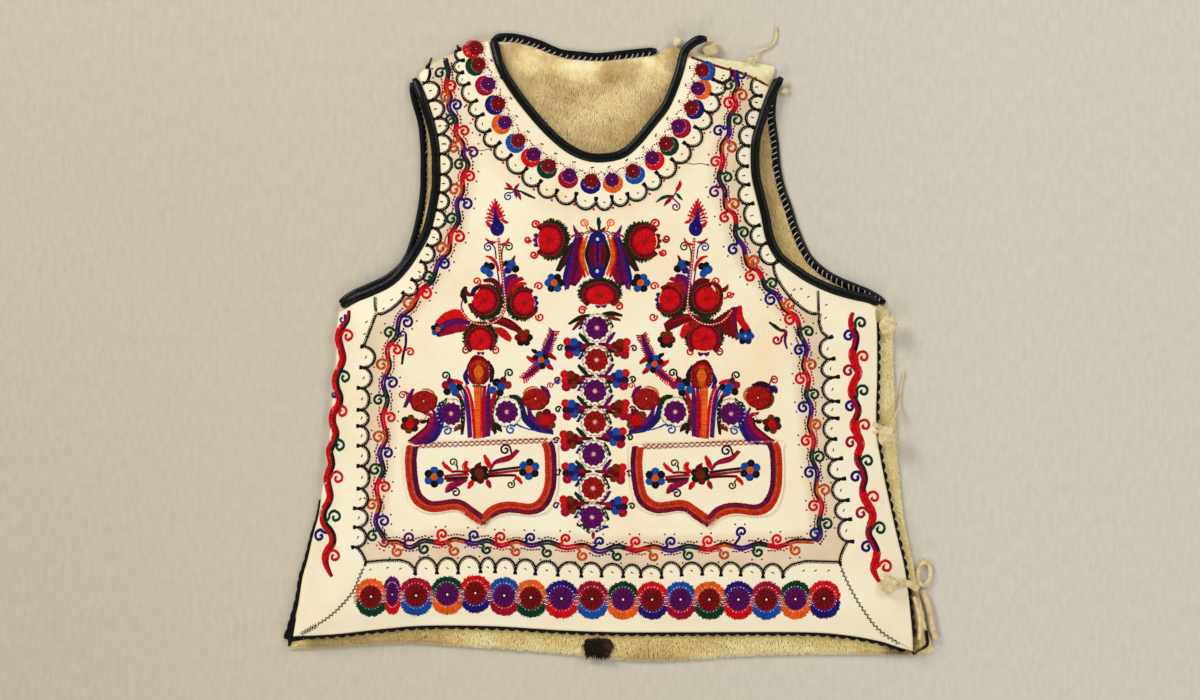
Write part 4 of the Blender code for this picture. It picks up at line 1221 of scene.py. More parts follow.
def back_binding(name, rows, looks, whips, half=BACK_ROLL):
    """A binding that lies on the floor; its whip stitches' paths are returned."""
    path = stations(rows, BINDING_PITCH)
    line = np.column_stack((path, np.full(len(path), BACK_BINDING / 2 + GAP)))
    add_roll(name, line, half, BACK_ROLL_HEIGHT, 9, looks)
    start, end, lean = whips
    fine = at_lengths(line, np.linspace(0, 1, WHIP_STEPS))
    total = length_of(fine)
    side = left_normals(fine)
    stitches = []
    for s in np.arange(WHIP_ENDS, total - WHIP_ENDS, WHIP_PITCH):
        s += RNG.uniform(-WHIP_SHIFT, WHIP_SHIFT)
        rows = []
        for share in np.linspace(0, 1, WHIP_POINTS):
            i = int(np.clip((s + lean * share) / total, 0, 1) * (WHIP_STEPS - 1))
            angle = math.radians(start + (end - start) * share)
            out = (half + WHIP_OUT) * math.cos(angle)
            rise = max(WHIP_RISE * math.sin(angle) + WHIP_FOOT, WHIP_LOWEST)
            rows.append((*(fine[i, :2] + side[i] * out), fine[i, 2] + rise))
        stitches.append(np.array(rows))
    return stitches


def make_whips(paths, looks):
    """White thread over the back's bindings."""
    parts = []
    for path in paths:
        across, ups = flat_frames(path)
        half = WHIP_HALF * tapered(WHIP_POINTS, 1, 0.5)
        parts.append(sweep_mesh(path, across, ups, half, WHIP_HALF_HEIGHT, 5))
    corners, faces = joined(parts)
    add_piece("whip_stitches", corners, faces, looks["cream"])


def neck_end_lift(path):
    """The free end of the neck binding rises over the shoulder's button."""
    near = np.linalg.norm(path - plan((NECK_END,))[0], axis=1)
    rise = NECK_END_RISE * smoothstep(1 - near / NECK_END_REACH)
    return np.where(near > NECK_END_REACH, 0, NECK_END_HEIGHT + rise)


def make_bindings(looks):
    front_binding("neck_binding_front", NECK_FRONT, looks, neck_end_lift)
    front_binding("armhole_binding_left_front", ARMHOLE_LEFT_FRONT, looks)
    front_binding("armhole_binding_right_front", ARMHOLE_RIGHT_FRONT, looks)
    # The whips' columns: angle from and to in degrees, lean along the binding in metres.
    make_whips([
        *back_binding("neck_binding_back", NECK_BACK + ((493.5, 38.5),), looks,
                      (82, -14, 0.0034)),
        *back_binding("armhole_binding_left_back", ARMHOLE_LEFT_BACK, looks, (40, -10, 0.0008),
                      SLIM_BACK_ROLL),
        *back_binding("armhole_binding_right_back", ARMHOLE_RIGHT_BACK, looks,
                      (105, -8, -0.0030)),
    ], looks)


# ---------------------------------------------------------------- edgings
def strip_mesh(grid, tops, thickness):
    """A closed strip from rows of plan points and their heights."""
    n, m = grid.shape[:2]
    flat = grid.reshape(-1, 2)
    high = tops.reshape(-1)
    corners = np.vstack((np.column_stack((flat, high)),
                         np.column_stack((flat, high - thickness))))
    cell = np.arange(n * m).reshape(n, m)
    quads = np.stack((cell[:-1, :-1], cell[1:, :-1], cell[1:, 1:], cell[:-1, 1:]), axis=-1)
    quads = quads.reshape(-1, 4)
    loop = np.concatenate((cell[:, 0], cell[-1, 1:], cell[-2::-1, -1], cell[0, -2:0:-1]))
    after = np.roll(loop, -1)
    sides = np.column_stack((loop, loop + n * m, after + n * m, after))
    return corners, np.vstack((quads, quads[:, ::-1] + n * m, sides))


# Columns: u, v and half the width in grid squares of the black corner at the closed side.
CORNER_FOLDS = (
    ((293.6, 617, 1.2), (293.0, 624, 2.0), (291.6, 631, 2.6), (290.6, 636, 3.4),
     (289.8, 640, 3.4), (288.9, 644, 2.2), (288.2, 647, 0.9)),
    ((289.6, 639.8, 2.6), (296, 639.2, 2.2), (303, 638.4, 1.8), (311, 637.4, 1.3)),
)
FOLD_PITCH, FOLD_TOP = 0.0010, 0.0013
# The strip at the back's corner: its pitch, the lines along it and its height on the wool.
CORNER_PITCH, CORNER_LINES, CORNER_TOP = 0.0020, (0.0017, 0.0004, -0.0011), 0.0016
TOOTH_STEPS = 10
TOOTH_ROUND, TOOTH_UNEVEN, TOOTH_UNEVEN_SIZE = 0.75, 0.10, 0.03
# How far along the tuck (below 0) or the tooth each row of the strip lies.
STRIP_ROWS = (-1, -0.4, 0, 0.35, 0.7, 1)
# Where a strip of teeth starts and ends along its edge, and how far its tips droop.
EDGING_START, HEM_END, SIDE_END, CLOSED_START, CLOSED_END = 0.012, 0.006, 0.012, 0.010, 0.003
HEM_DROOP, SIDE_DROOP = 0.0012, 0.0010
# The closed side's strip: how far out it lies, its tuck and its height on the floor.
CLOSED_OUT, CLOSED_TUCK, CLOSED_HEIGHT = 0.0012, 0.0009, 0.0004
CLOSED_POINTS = 60


def edging(name, edge, start, end, tuck, height, droop, looks, size=0.66, grow=0, deep=1):
    """A pinked strip tucked under the leather's rim, its round teeth outside it."""
    total = length_of(edge)
    teeth = round((end - start) / TOOTH_PITCH)
    steps = np.linspace(0, teeth, teeth * TOOTH_STEPS + 1)
    line = at_lengths(edge, (start + (end - start) * steps / teeth) / total)
    outwards = -left_normals(line)
    tooth = np.abs(np.sin(np.pi * steps)) ** TOOTH_ROUND
    tooth *= 1 + TOOTH_UNEVEN * ripple(line, TOOTH_UNEVEN_SIZE, 2)
    reach = size * (1 + grow * (steps / teeth - 0.5)) * (
        EDGING_TOOTH - (EDGING_TOOTH - EDGING_VALLEY) * deep * (1 - tooth))
    base = height(line)
    inner = height(line - outwards * tuck)
    columns, tops = [], []
    for share in STRIP_ROWS:
        step = tuck * share if share < 0 else reach * share
        columns.append(line + outwards * np.broadcast_to(step, len(line))[:, None])
        tops.append(base + (inner - base) * -share if share < 0 else base - droop * share**2)
    grid, high = np.stack(columns, axis=1), np.stack(tops, axis=1)
    corners, faces = strip_mesh(grid, high, EDGING)
    add_piece(name + "_strip", corners, faces, looks["edging"], [name], "black_edging", sharp=40)


def make_corner_fold(looks):
    """The black fold that joins the hem's edging to the closed side's."""
    parts = []
    for rows in CORNER_FOLDS:
        path = stations([row[:2] for row in rows], FOLD_PITCH)
        shares = np.linspace(0, 1, len(path))
        wide = np.interp(shares, np.linspace(0, 1, len(rows)), [row[2] for row in rows]) * GRID
        grid = np.stack([path + left_normals(path) * wide[:, None] * side for side in (1, 0, -1)],
                        axis=1)
        high = back_wool_top(grid.reshape(-1, 2)).reshape(grid.shape[:2]) + FOLD_TOP
        parts.append(strip_mesh(grid, high, EDGING))
    add_piece("hem_edging_fold", *joined(parts), looks["edging"], [], "black_edging", sharp=40)


def make_edgings(looks):
    under = raised(front_underside, -GAP)
    hem, side = stations(HEM_FRONT, FINE), stations(SIDE_OPEN_FRONT, FINE)
    tuck = TURN_IN - 2 * GAP
    edging("hem_edging", hem, EDGING_START, length_of(hem) - HEM_END, tuck, under, HEM_DROOP,
           looks, size=0.74, deep=0.75)
    edging("side_edging_right", side, EDGING_START, length_of(side) - SIDE_END, tuck, under,
           SIDE_DROOP, looks)
    closed = catmull(plan(SIDE_CLOSED[6:-1] + SIDE_CLOSED_END_BACK))
    beyond = beside(at_lengths(closed, np.linspace(0, 1, CLOSED_POINTS)), -CLOSED_OUT)
    edging("side_edging_left", beyond, CLOSED_START, length_of(beyond) - CLOSED_END, CLOSED_TUCK,
           level(CLOSED_HEIGHT + EDGING), 0, looks, size=0.50, grow=1.3, deep=0.35)
    make_corner_fold(looks)
    path = stations(BACK_CORNER, CORNER_PITCH)
    grid = np.stack([beside(path, out) for out in CORNER_LINES], axis=1)
    tops = np.repeat(back_wool_top(path)[:, None] + CORNER_TOP, len(CORNER_LINES), axis=1)
    corners, faces = strip_mesh(grid, tops, EDGING)
    add_piece("back_corner_strip", corners, faces, looks["edging"], ["back_corner_edging"],
              "black_edging", sharp=40)


# ---------------------------------------------------------------- fastenings
def ball(centre, halves):
    """An oval ball."""
    around, up = 20, 12
    tilts = (np.arange(1, up) / up - 0.5) * math.pi
    turns = np.arange(around) * math.tau / around
    tilt, turn = np.meshgrid(tilts, turns, indexing="ij")
    rows = np.stack((np.cos(tilt) * np.cos(turn), np.cos(tilt) * np.sin(turn), np.sin(tilt)), -1)
    rows = np.vstack(((0, 0, -1), rows.reshape(-1, 3), (0, 0, 1)))
    faces = []
    for i in range(around):
        k = (i + 1) % around
        faces.append((0, 1 + k, 1 + i))
        for j in range(up - 2):
            low, high = 1 + j * around, 1 + (j + 1) * around
            faces.append((low + i, low + k, high + k, high + i))
        last = 1 + (up - 2) * around
        faces.append((last + i, last + k, len(rows) - 1))
    return rows * halves + centre, faces


# Columns for each knot: turn and lean in degrees, offset, size, half width in
# metres of each wound strap.
WINDS = {
    "shoulder_knot": ((35, 10, -0.35, 0.93, 0.0017), (35, 10, 0.40, 0.95, 0.0017),
                      (120, 20, 0.05, 1.0, 0.0018)),
    "shoulder_button": ((10, 30, -0.42, 0.92, 0.0022), (15, 20, 0.36, 0.94, 0.0023),
                        (95, 35, -0.25, 0.97, 0.0021), (110, 10, 0.45, 1.0, 0.0020)),
    "shoulder_knot_outer": ((60, 10, -0.30, 0.95, 0.0014), (140, 20, 0.20, 1.0, 0.0015)),
    "shoulder_tag": ((80, 10, -0.25, 0.95, 0.0013), (10, 30, 0.35, 1.0, 0.0012)),
    "side_knot_top": ((20, 15, -0.55, 0.90, 0.0026), (25, 10, 0.10, 0.93, 0.0027),
                      (100, 25, -0.30, 0.96, 0.0026), (120, 15, 0.48, 1.0, 0.0024)),
    "side_knot_middle": ((40, 10, -0.58, 0.90, 0.0027), (45, 12, 0.02, 0.92, 0.0028),
                         (48, 8, 0.60, 0.91, 0.0025), (130, 20, -0.38, 0.97, 0.0029),
                         (136, 14, 0.34, 1.0, 0.0028)),
    "side_knot_bottom": ((15, 12, -0.52, 0.90, 0.0026), (18, 14, 0.10, 0.92, 0.0026),
                         (82, 16, 0.55, 0.95, 0.0023), (100, 20, -0.15, 1.0, 0.0028)),
}


# The core's share of a knot, half the thickness of the strap wound over it, and the
# points along one turn of the strap.
CORE, STRAP_HALF, TURN_POINTS = 0.86, 0.00065, 36
KNOT_INSET, WIND_UNEVEN = 0.0002, 0.10


def wound_knot(name, looks):
    """Flat straps wound over an oval core, each lying on the last."""
    low, high = (np.array(corner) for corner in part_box(name))
    centre, halves = (low + high) / 2, (high - low) / 2 - KNOT_INSET
    parts = [ball(centre, halves * CORE)]
    for turn, lean, offset, size, wide in WINDS[name]:
        turn, lean = math.radians(turn), math.radians(lean)
        pole = np.array((math.cos(turn) * math.cos(lean), math.sin(turn) * math.cos(lean),
                         math.sin(lean)))
        first = np.cross(pole, (0, 0, 1))
        first /= np.linalg.norm(first)
        second = np.cross(pole, first)
        spin = np.arange(TURN_POINTS)[:, None] * math.tau / TURN_POINTS
        reach = math.sqrt(1 - offset**2)
        unit = pole * offset + reach * (first * np.cos(spin) + second * np.sin(spin))
        path = centre + unit * (halves * size - STRAP_HALF)
        ups = unit / halves
        ups /= np.linalg.norm(ups, axis=1)[:, None]
        along = np.roll(path, -1, axis=0) - np.roll(path, 1, axis=0)
        along /= np.linalg.norm(along, axis=1)[:, None]
        across = np.cross(ups, along)
        width = wide * (1 + WIND_UNEVEN * np.sin(spin[:, 0] * 3 + turn * 5))
        parts.append(sweep_mesh(path, across, ups, width, STRAP_HALF, 10, True, 0.75))
    corners, faces = joined(parts)
    add_piece(name + "_wound", corners, faces, looks["thong"], [name], "thong", sharp=60)


def strand(path, width, thick, power=0.8, sides=10):
    """A strap along a path with rounded ends."""
    across, ups = flat_frames(path)
    fat = tapered(len(path), 2, 0.55)
    return sweep_mesh(path, across, ups, width * fat, thick * fat, sides, False, power)


# The loop: its points, its slant and wave in metres, how uneven and how flat it is.
LOOP_POINTS, LOOP_SLANT, LOOP_WAVE, LOOP_UNEVEN, LOOP_FLAT = 48, 0.0008, 0.0002, 0.08, 0.92
# The strap's and the tab's half width and thickness, and how high they lie on the hides.
STRAP, STRAP_THICK, STRAP_HEIGHT = 0.0032, 0.0010, 0.0019
TAB, TAB_THICK, TAB_HEIGHT = 0.0021, 0.0008, 0.0016
STRAP_PITCH = 0.0012
# The strap stays this far below the top of its solid.
STRAP_BELOW = 0.0009
STRAP_SMOOTHINGS = 8
# Columns: u, v of the two ends of the middle knot's tab.
KNOT_TABS = (
    ((872.5, 424), (878, 426), (884, 430)), ((873, 431.5), (879, 431.5), (885, 432)),
)
# A cord is drawn at this many points, and is a little flatter than round.
CORD_POINTS, CORD_FLAT = 33, 0.96


def make_loop(looks):
    """The closed loop at the end of the lowest knot's strap."""
    u, v, half_x, half_y, thick = SIDE_LOOP
    middle = plan(((u, v),))[0]
    turns = np.arange(LOOP_POINTS) * math.tau / LOOP_POINTS
    path = np.column_stack((
        middle[0] + half_x * np.cos(turns) + LOOP_SLANT * np.sin(turns),
        middle[1] + half_y * np.sin(turns),
        thick + GAP + LOOP_WAVE * np.sin(turns * 3),
    ))
    across = np.column_stack((np.cos(turns), np.sin(turns), np.zeros(LOOP_POINTS)))
    ups = np.tile((0.0, 0.0, 1.0), (LOOP_POINTS, 1))
    twist = 1 + LOOP_UNEVEN * np.sin(turns * 5)
    corners, faces = sweep_mesh(path, across, ups, thick * twist, thick * LOOP_FLAT, 12, True, 0.85)
    add_piece("side_loop_strap", corners, faces, looks["thong"], ["side_loop_bottom"], "thong")


def over_hides(points, step):
    return np.maximum(front_top(points), back_wool_top(points)) + step


def make_strap(looks):
    """The strap from the lowest knot to its loop, bent over the edge of the front."""
    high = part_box("side_strap_bottom")[1]
    rows = stations(SIDE_STRAP, STRAP_PITCH)
    lift = plan(SIDE_STRAP)
    height = over_hides(rows, STRAP_HEIGHT)
    height += np.interp(rows[:, 0], lift[:, 0], [row[2] for row in SIDE_STRAP])
    height = np.minimum(height, high[2] - STRAP_BELOW)
    for _ in range(STRAP_SMOOTHINGS):
        height[1:-1] = np.maximum(height[1:-1], (height[:-2] + height[2:]) / 2)
    corners, faces = joined([strand(np.column_stack((rows, height)), STRAP, STRAP_THICK)])
    add_piece("side_strap_leather", corners, faces, looks["thong"], ["side_strap_bottom"], "thong")


def make_tab(looks):
    """Two short straps that run from the middle knot onto the front."""
    laid = []
    for rows in KNOT_TABS:
        rows = stations(rows, STRAP_PITCH)
        line = np.column_stack((rows, over_hides(rows, TAB_HEIGHT)))
        laid.append(strand(line, TAB, TAB_THICK))
    corners, faces = joined(laid)
    add_piece("side_knot_middle_tab", corners, faces, looks["thong"], (), "thong")


def make_cords(looks):
    """The bare-ended thongs of the knots."""
    for name, (diameter, rows) in CORDS.items():
        route = np.column_stack((plan(rows), [row[2] for row in rows]))
        points = at_lengths(catmull(route), np.linspace(0, 1, CORD_POINTS))
        corners, faces = joined([strand(points, diameter / 2, diameter / 2 * CORD_FLAT, 0.9, 12)])
        obj = add_piece(name + "_leather", corners, faces, looks["thong"], [name], "thong")


def make_fastenings(looks):
    for name in WINDS:
        wound_knot(name, looks)
    make_loop(looks)
    make_strap(looks)
    make_tab(looks)
    make_cords(looks)


# ---------------------------------------------------------------- wool
# A lock: how far it bends sideways for its length, how deep its root lies, how far
# along its bow its tip stands, and the share of its length and its width at each row.
LOCK_BEND, LOCK_ROOT, LOCK_TIP = 0.35, 0.0006, 0.92
LOCK_ROWS = ((0, 1.0), (0.5, 0.9), (1, 0))


def hairs(name, roots, heights, lengths, turns, lifts, width, look, tints, slot):
    """Thin bent locks: each a ribbon of a quarter and a point, as one mesh."""
    count = len(roots)
    along = np.column_stack((np.cos(turns), np.sin(turns)))
    side = np.column_stack((-along[:, 1], along[:, 0]))
    bend = RNG.uniform(-LOCK_BEND, LOCK_BEND, count)[:, None] * lengths[:, None]
    rows = []
    for share, wide in LOCK_ROWS:
        middle = roots + along * (lengths * share)[:, None] + side * bend * share**2
        rise = heights + lifts * math.sin(math.pi * min(share, LOCK_TIP)) - LOCK_ROOT * (share == 0)
        for edge in (-0.5, 0.5) if wide else (0,):
            rows.append(np.column_stack((middle + side * width * wide * edge, rise)))
    corners = np.stack(rows, axis=1).reshape(-1, 3)
    start = np.arange(count)[:, None] * len(rows)
    quads = (start + (0, 2, 3, 1)).tolist()
    points = (start + (2, 4, 3)).tolist()
    faces = [f for pair in zip(quads, points) for f in pair]
    return add_piece(name, corners, faces, look, (), slot,
                     values={"lock": np.repeat(tints, len(rows))})


def scattered(outline, spacing, keep):
    """Uneven points inside an outline that keep() accepts."""
    low, high = outline.min(axis=0), outline.max(axis=0)
    count = int(np.prod(high - low) / spacing**2)
    points = RNG.uniform(low, high, (count, 2))
    points = points[in_runs(lambda p: inside(p, outline))(points)]
    return points[keep(points)]


# Columns: u, v, reach in grid squares, strength of the paler (below 0: darker) tufts: partly the
# wool's own tint, partly painted highlight and painted shade.
TINT_AND_LIGHT_TUFTS = (
    (533, 59, 13, 0.45), (583, 67, 15, 0.5), (558, 63, 9, 0.3), (645, 57, 9, 0.5),
    (655, 70, 12, 0.3), (610, 108, 16, 0.2), (540, 86, 12, 0.18), (624, 88, 14, 0.2),
    (609, 71, 9, -0.4), (335, 642, 22, -0.55), (388, 639, 18, -0.4), (440, 638, 14, -0.2),
    (482, 640, 11, 0.4), (660, 652, 24, -0.25), (768, 650, 26, 0.4), (868, 650, 10, -0.3),
    (914, 640, 13, -0.5),
)


# In grid squares: where the open neck ends, and where the open side begins.
NECK_FOOT, OPEN_SIDE = 200, 868
# The open shoulder's wool lies right of this u and above this v.
OPEN_SHOULDER, SHOULDER_FOOT = 690, 96
# The hem's wool lies below the first v, and carries a painted highlight along the second.
HEM_WOOL, HEM_MIDDLE = 600, 651
# Painted shadow on the wool by the lowest knot: u from, u to, v from and its darkest u.
SHADOW_CORNER = (880, 920, 586, 900)
# A tuft's share of its stated strength, and how much wider than high it is.
TUFT_SHARE, TUFT_WIDE = 0.75, 1.6


def wool_tint_and_painted_light(points):
    """How much paler the wool is at the neck's rim, along the open side and on the hem: partly its
    own tint, partly painted highlight, and painted shadow by the lowest knot.
    """
    u, v = squares(points).T
    light = np.zeros(len(points))
    for tuft_u, tuft_v, reach, strength in TINT_AND_LIGHT_TUFTS:
        away = np.hypot((u - tuft_u) / TUFT_WIDE, v - tuft_v) / reach
        light += TUFT_SHARE * strength * smoothstep(1.4 - away)
    shoulder = (v < SHOULDER_FOOT) & (u > OPEN_SHOULDER)
    right = (u > OPEN_SIDE) & ~shoulder
    hem = (v > HEM_WOOL) & ~right
    # A painted highlight along the middle of the hem's strip, strongest near u 525 and right of the
    # open shoulder.
    middle = smoothstep(1.5 - np.abs(v - HEM_MIDDLE - 4 * np.sin(u / 90)) / 5)
    along = 0.5 + 0.5 * ripple(points, 0.045, 8)
    painted_highlight = smoothstep(1.6 - np.abs(u - 525) / 45) + (u > OPEN_SHOULDER)
    light += 0.80 * shoulder + 0.42 * right * (0.8 + 0.4 * along)
    light += hem * (0.14 + 0.60 * middle * painted_highlight * along + 0.20 * along)
    # Painted shadow: the wool is darkened in the corner by the lowest knot.
    first_u, last_u, top_v, shadow_u = SHADOW_CORNER
    corner = (u > first_u) & (u < last_u) & (v > top_v)
    light -= 1.3 * corner * smoothstep(1.3 - np.abs(u - shadow_u) / 18)
    return np.clip(light, -0.9, 1)


# The pitch of the wool's own skins and the bumps of the back's.
BACK_SKIN, FRONT_SKIN = 0.0075, 0.012
BUMP, BUMP_SIZE, SKIN_BELOW = 0.0005, 0.022, 0.0006
# The locks that show past the front: how far apart they stand, how wide they are and
# how far their roots lie below the wool's top.
LOCK_SPACING, LOCK_WIDTH, ROOT_BELOW = 0.00095, 0.0008, 0.0004
LOCK_LENGTHS, LOCK_LIFTS = (0.006, 0.011), (0.0005, 0.0014)
NECK_LENGTH, HEM_LENGTH = 1.1, 0.55
# Locks that would pass the wool's outline are no longer than this.
RIM_LENGTH = 0.0026
CALM_RIM = 0.006


def make_wool_skins(looks):
    """The body of the wool under its locks, on the back and under the front."""
    def bumpy(points):
        return back_wool_top(points) + BUMP * ripple(points, BUMP_SIZE, 4) - SKIN_BELOW

    add_layer("back_wool", filled(BACK_WOOL_LINE, BACK_SKIN), level(LEATHER + GAP), bumpy,
              looks["wool_base"], ["back_fleece"], "wool", {"tint_and_painted_light": wool_tint_and_painted_light})
    add_layer("front_wool", filled(FRONT_WOOL_LINE, FRONT_SKIN), raised(back_wool_top, GAP),
              front_wool_top, looks["wool_base"], ["front_fleece"], "wool")


def outside(points, outline):
    return ~in_runs(lambda p: inside(p, outline))(points)


def make_wool(looks):
    """The wool's skins, and locks wherever the front leaves the back's wool bare."""
    make_wool_skins(looks)
    points = scattered(BACK_WOOL_LINE, LOCK_SPACING, lambda p: outside(p, FRONT))
    u, v = squares(points).T
    neck, right = v < NECK_FOOT, u > OPEN_SIDE
    broad, clump = ripple(points, 0.050, 5), ripple(points, 0.012, 21)
    turns = -math.pi / 2 + 0.22 * clump + RNG.normal(0, 0.16, len(points))
    turns[right] = -1.2 + 0.5 * clump[right] + RNG.normal(0, 0.3, right.sum())
    lengths = RNG.uniform(*LOCK_LENGTHS, len(points)) * np.where(neck, NECK_LENGTH, HEM_LENGTH)
    tips = points + np.column_stack((np.cos(turns), np.sin(turns))) * lengths[:, None]
    lengths = np.where(outside(tips, BACK_WOOL_LINE), np.minimum(lengths, RIM_LENGTH), lengths)
    heights = back_wool_top(points) - ROOT_BELOW
    rim = in_runs(lambda p: distance_to(p, BACK_WOOL_LINE, True))(points)
    lifts = RNG.uniform(*LOCK_LIFTS, len(points)) * smoothstep(rim / CALM_RIM)
    tints = 0.50 + 0.16 * broad + 0.12 * clump + RNG.normal(0, 0.07, len(points))
    # The locks' tints take in the wool's own tint and its painted highlight and shadow.
    tints = np.clip(tints + wool_tint_and_painted_light(points), 0, 1)
    for name, look, keep in (("back_locks", "wool", neck), ("hem_locks", "hem_wool", ~neck)):
        hairs(name, points[keep], heights[keep], lengths[keep], turns[keep], lifts[keep],
              LOCK_WIDTH, looks[look], tints[keep], "wool")


# The fur patch: its net, how high its middle stands and its rim falls, and its hairs.
FUR_NET, FUR_TOP, FUR_FALL, FUR_FOOT = 0.0016, 0.0036, 0.0012, 0.0004
FUR_SPACING, FUR_WIDTH, FUR_ROOT = 0.00050, 0.00045, 0.0003
FUR_LENGTHS, FUR_LIFTS = (0.0025, 0.0062), (0.0004, 0.0010)
FUR_POINTS = 61
FUR_BUMP, FUR_BUMP_SIZE = 0.0003, 0.006
# Its hairs are dark up to this u and browner, as painted highlight, from this many squares further
# on.
DARK_FUR_TO, FUR_BLEND = 598, 12


def make_fur_patch(looks):
    """A small patch of dark lamb on the wool below the hem."""
    ring = catmull(plan(FUR_PATCH + FUR_PATCH[:1]))
    shape = at_lengths(ring, np.linspace(0, 1, FUR_POINTS))[:-1]
    middle = shape.mean(axis=0)
    reach = np.linalg.norm(shape - middle, axis=1).min()

    def top(points):
        share = np.clip(np.linalg.norm(points - middle, axis=1) / reach, 0, 1.6)
        return (back_wool_top(points) + FUR_TOP - FUR_FALL * share
                + FUR_BUMP * ripple(points, FUR_BUMP_SIZE, 3))

    add_layer("fur_patch_skin", filled(shape, FUR_NET), raised(back_wool_top, FUR_FOOT), top,
              looks["fur"], ["fur_patch"], "dark_fur")
    roots = scattered(shape, FUR_SPACING, lambda p: np.ones(len(p), bool))
    turns = -math.pi / 2 + 0.9 * ripple(roots, 0.005, 2) + RNG.normal(0, 0.5, len(roots))
    lengths = RNG.uniform(*FUR_LENGTHS, len(roots))
    lifts = RNG.uniform(*FUR_LIFTS, len(roots))
    # Painted highlight: the hairs on the right are tinted browner.
    brown = smoothstep((squares(roots)[:, 0] - DARK_FUR_TO) / FUR_BLEND)
    tints = RNG.normal(0.10, 0.2, len(roots)) + 0.9 * brown * RNG.uniform(0, 1, len(roots))
    hairs("fur_patch_locks", roots, top(roots) - FUR_ROOT, lengths, turns, lifts, FUR_WIDTH,
          looks["fur_hair"], np.clip(tints, 0, 1), "dark_fur")


# ---------------------------------------------------------------- needlework
DYES = list(THREADS)
# A lift counts layers of yarn that lie under a stitch, each this thick.
LAYER = 0.0001
# In grid squares: the width of a filling stitch.
FILLING = 1.25
# A stem stitch slants and laps its neighbours by these shares of its length, and its
# yarn spreads to this many times its stated width.
SLANT, LAP, STEM_FULL = 0.07, 0.25, 1.3


def ray_at(degrees):
    """One square that way on the grid, 0 to the right and 90 towards the neck."""
    angle = math.radians(degrees)
    return np.array((math.cos(angle), -math.sin(angle)))


def heading(way):
    """The degrees of a way on the grid, as ray_at counts them."""
    return math.degrees(math.atan2(-way[1], way[0]))


def evened(values, over):
    """A row of values, each the mean of this many round it."""
    return np.convolve(np.pad(values, over // 2, mode="edge"), np.ones(over) / over, "valid")


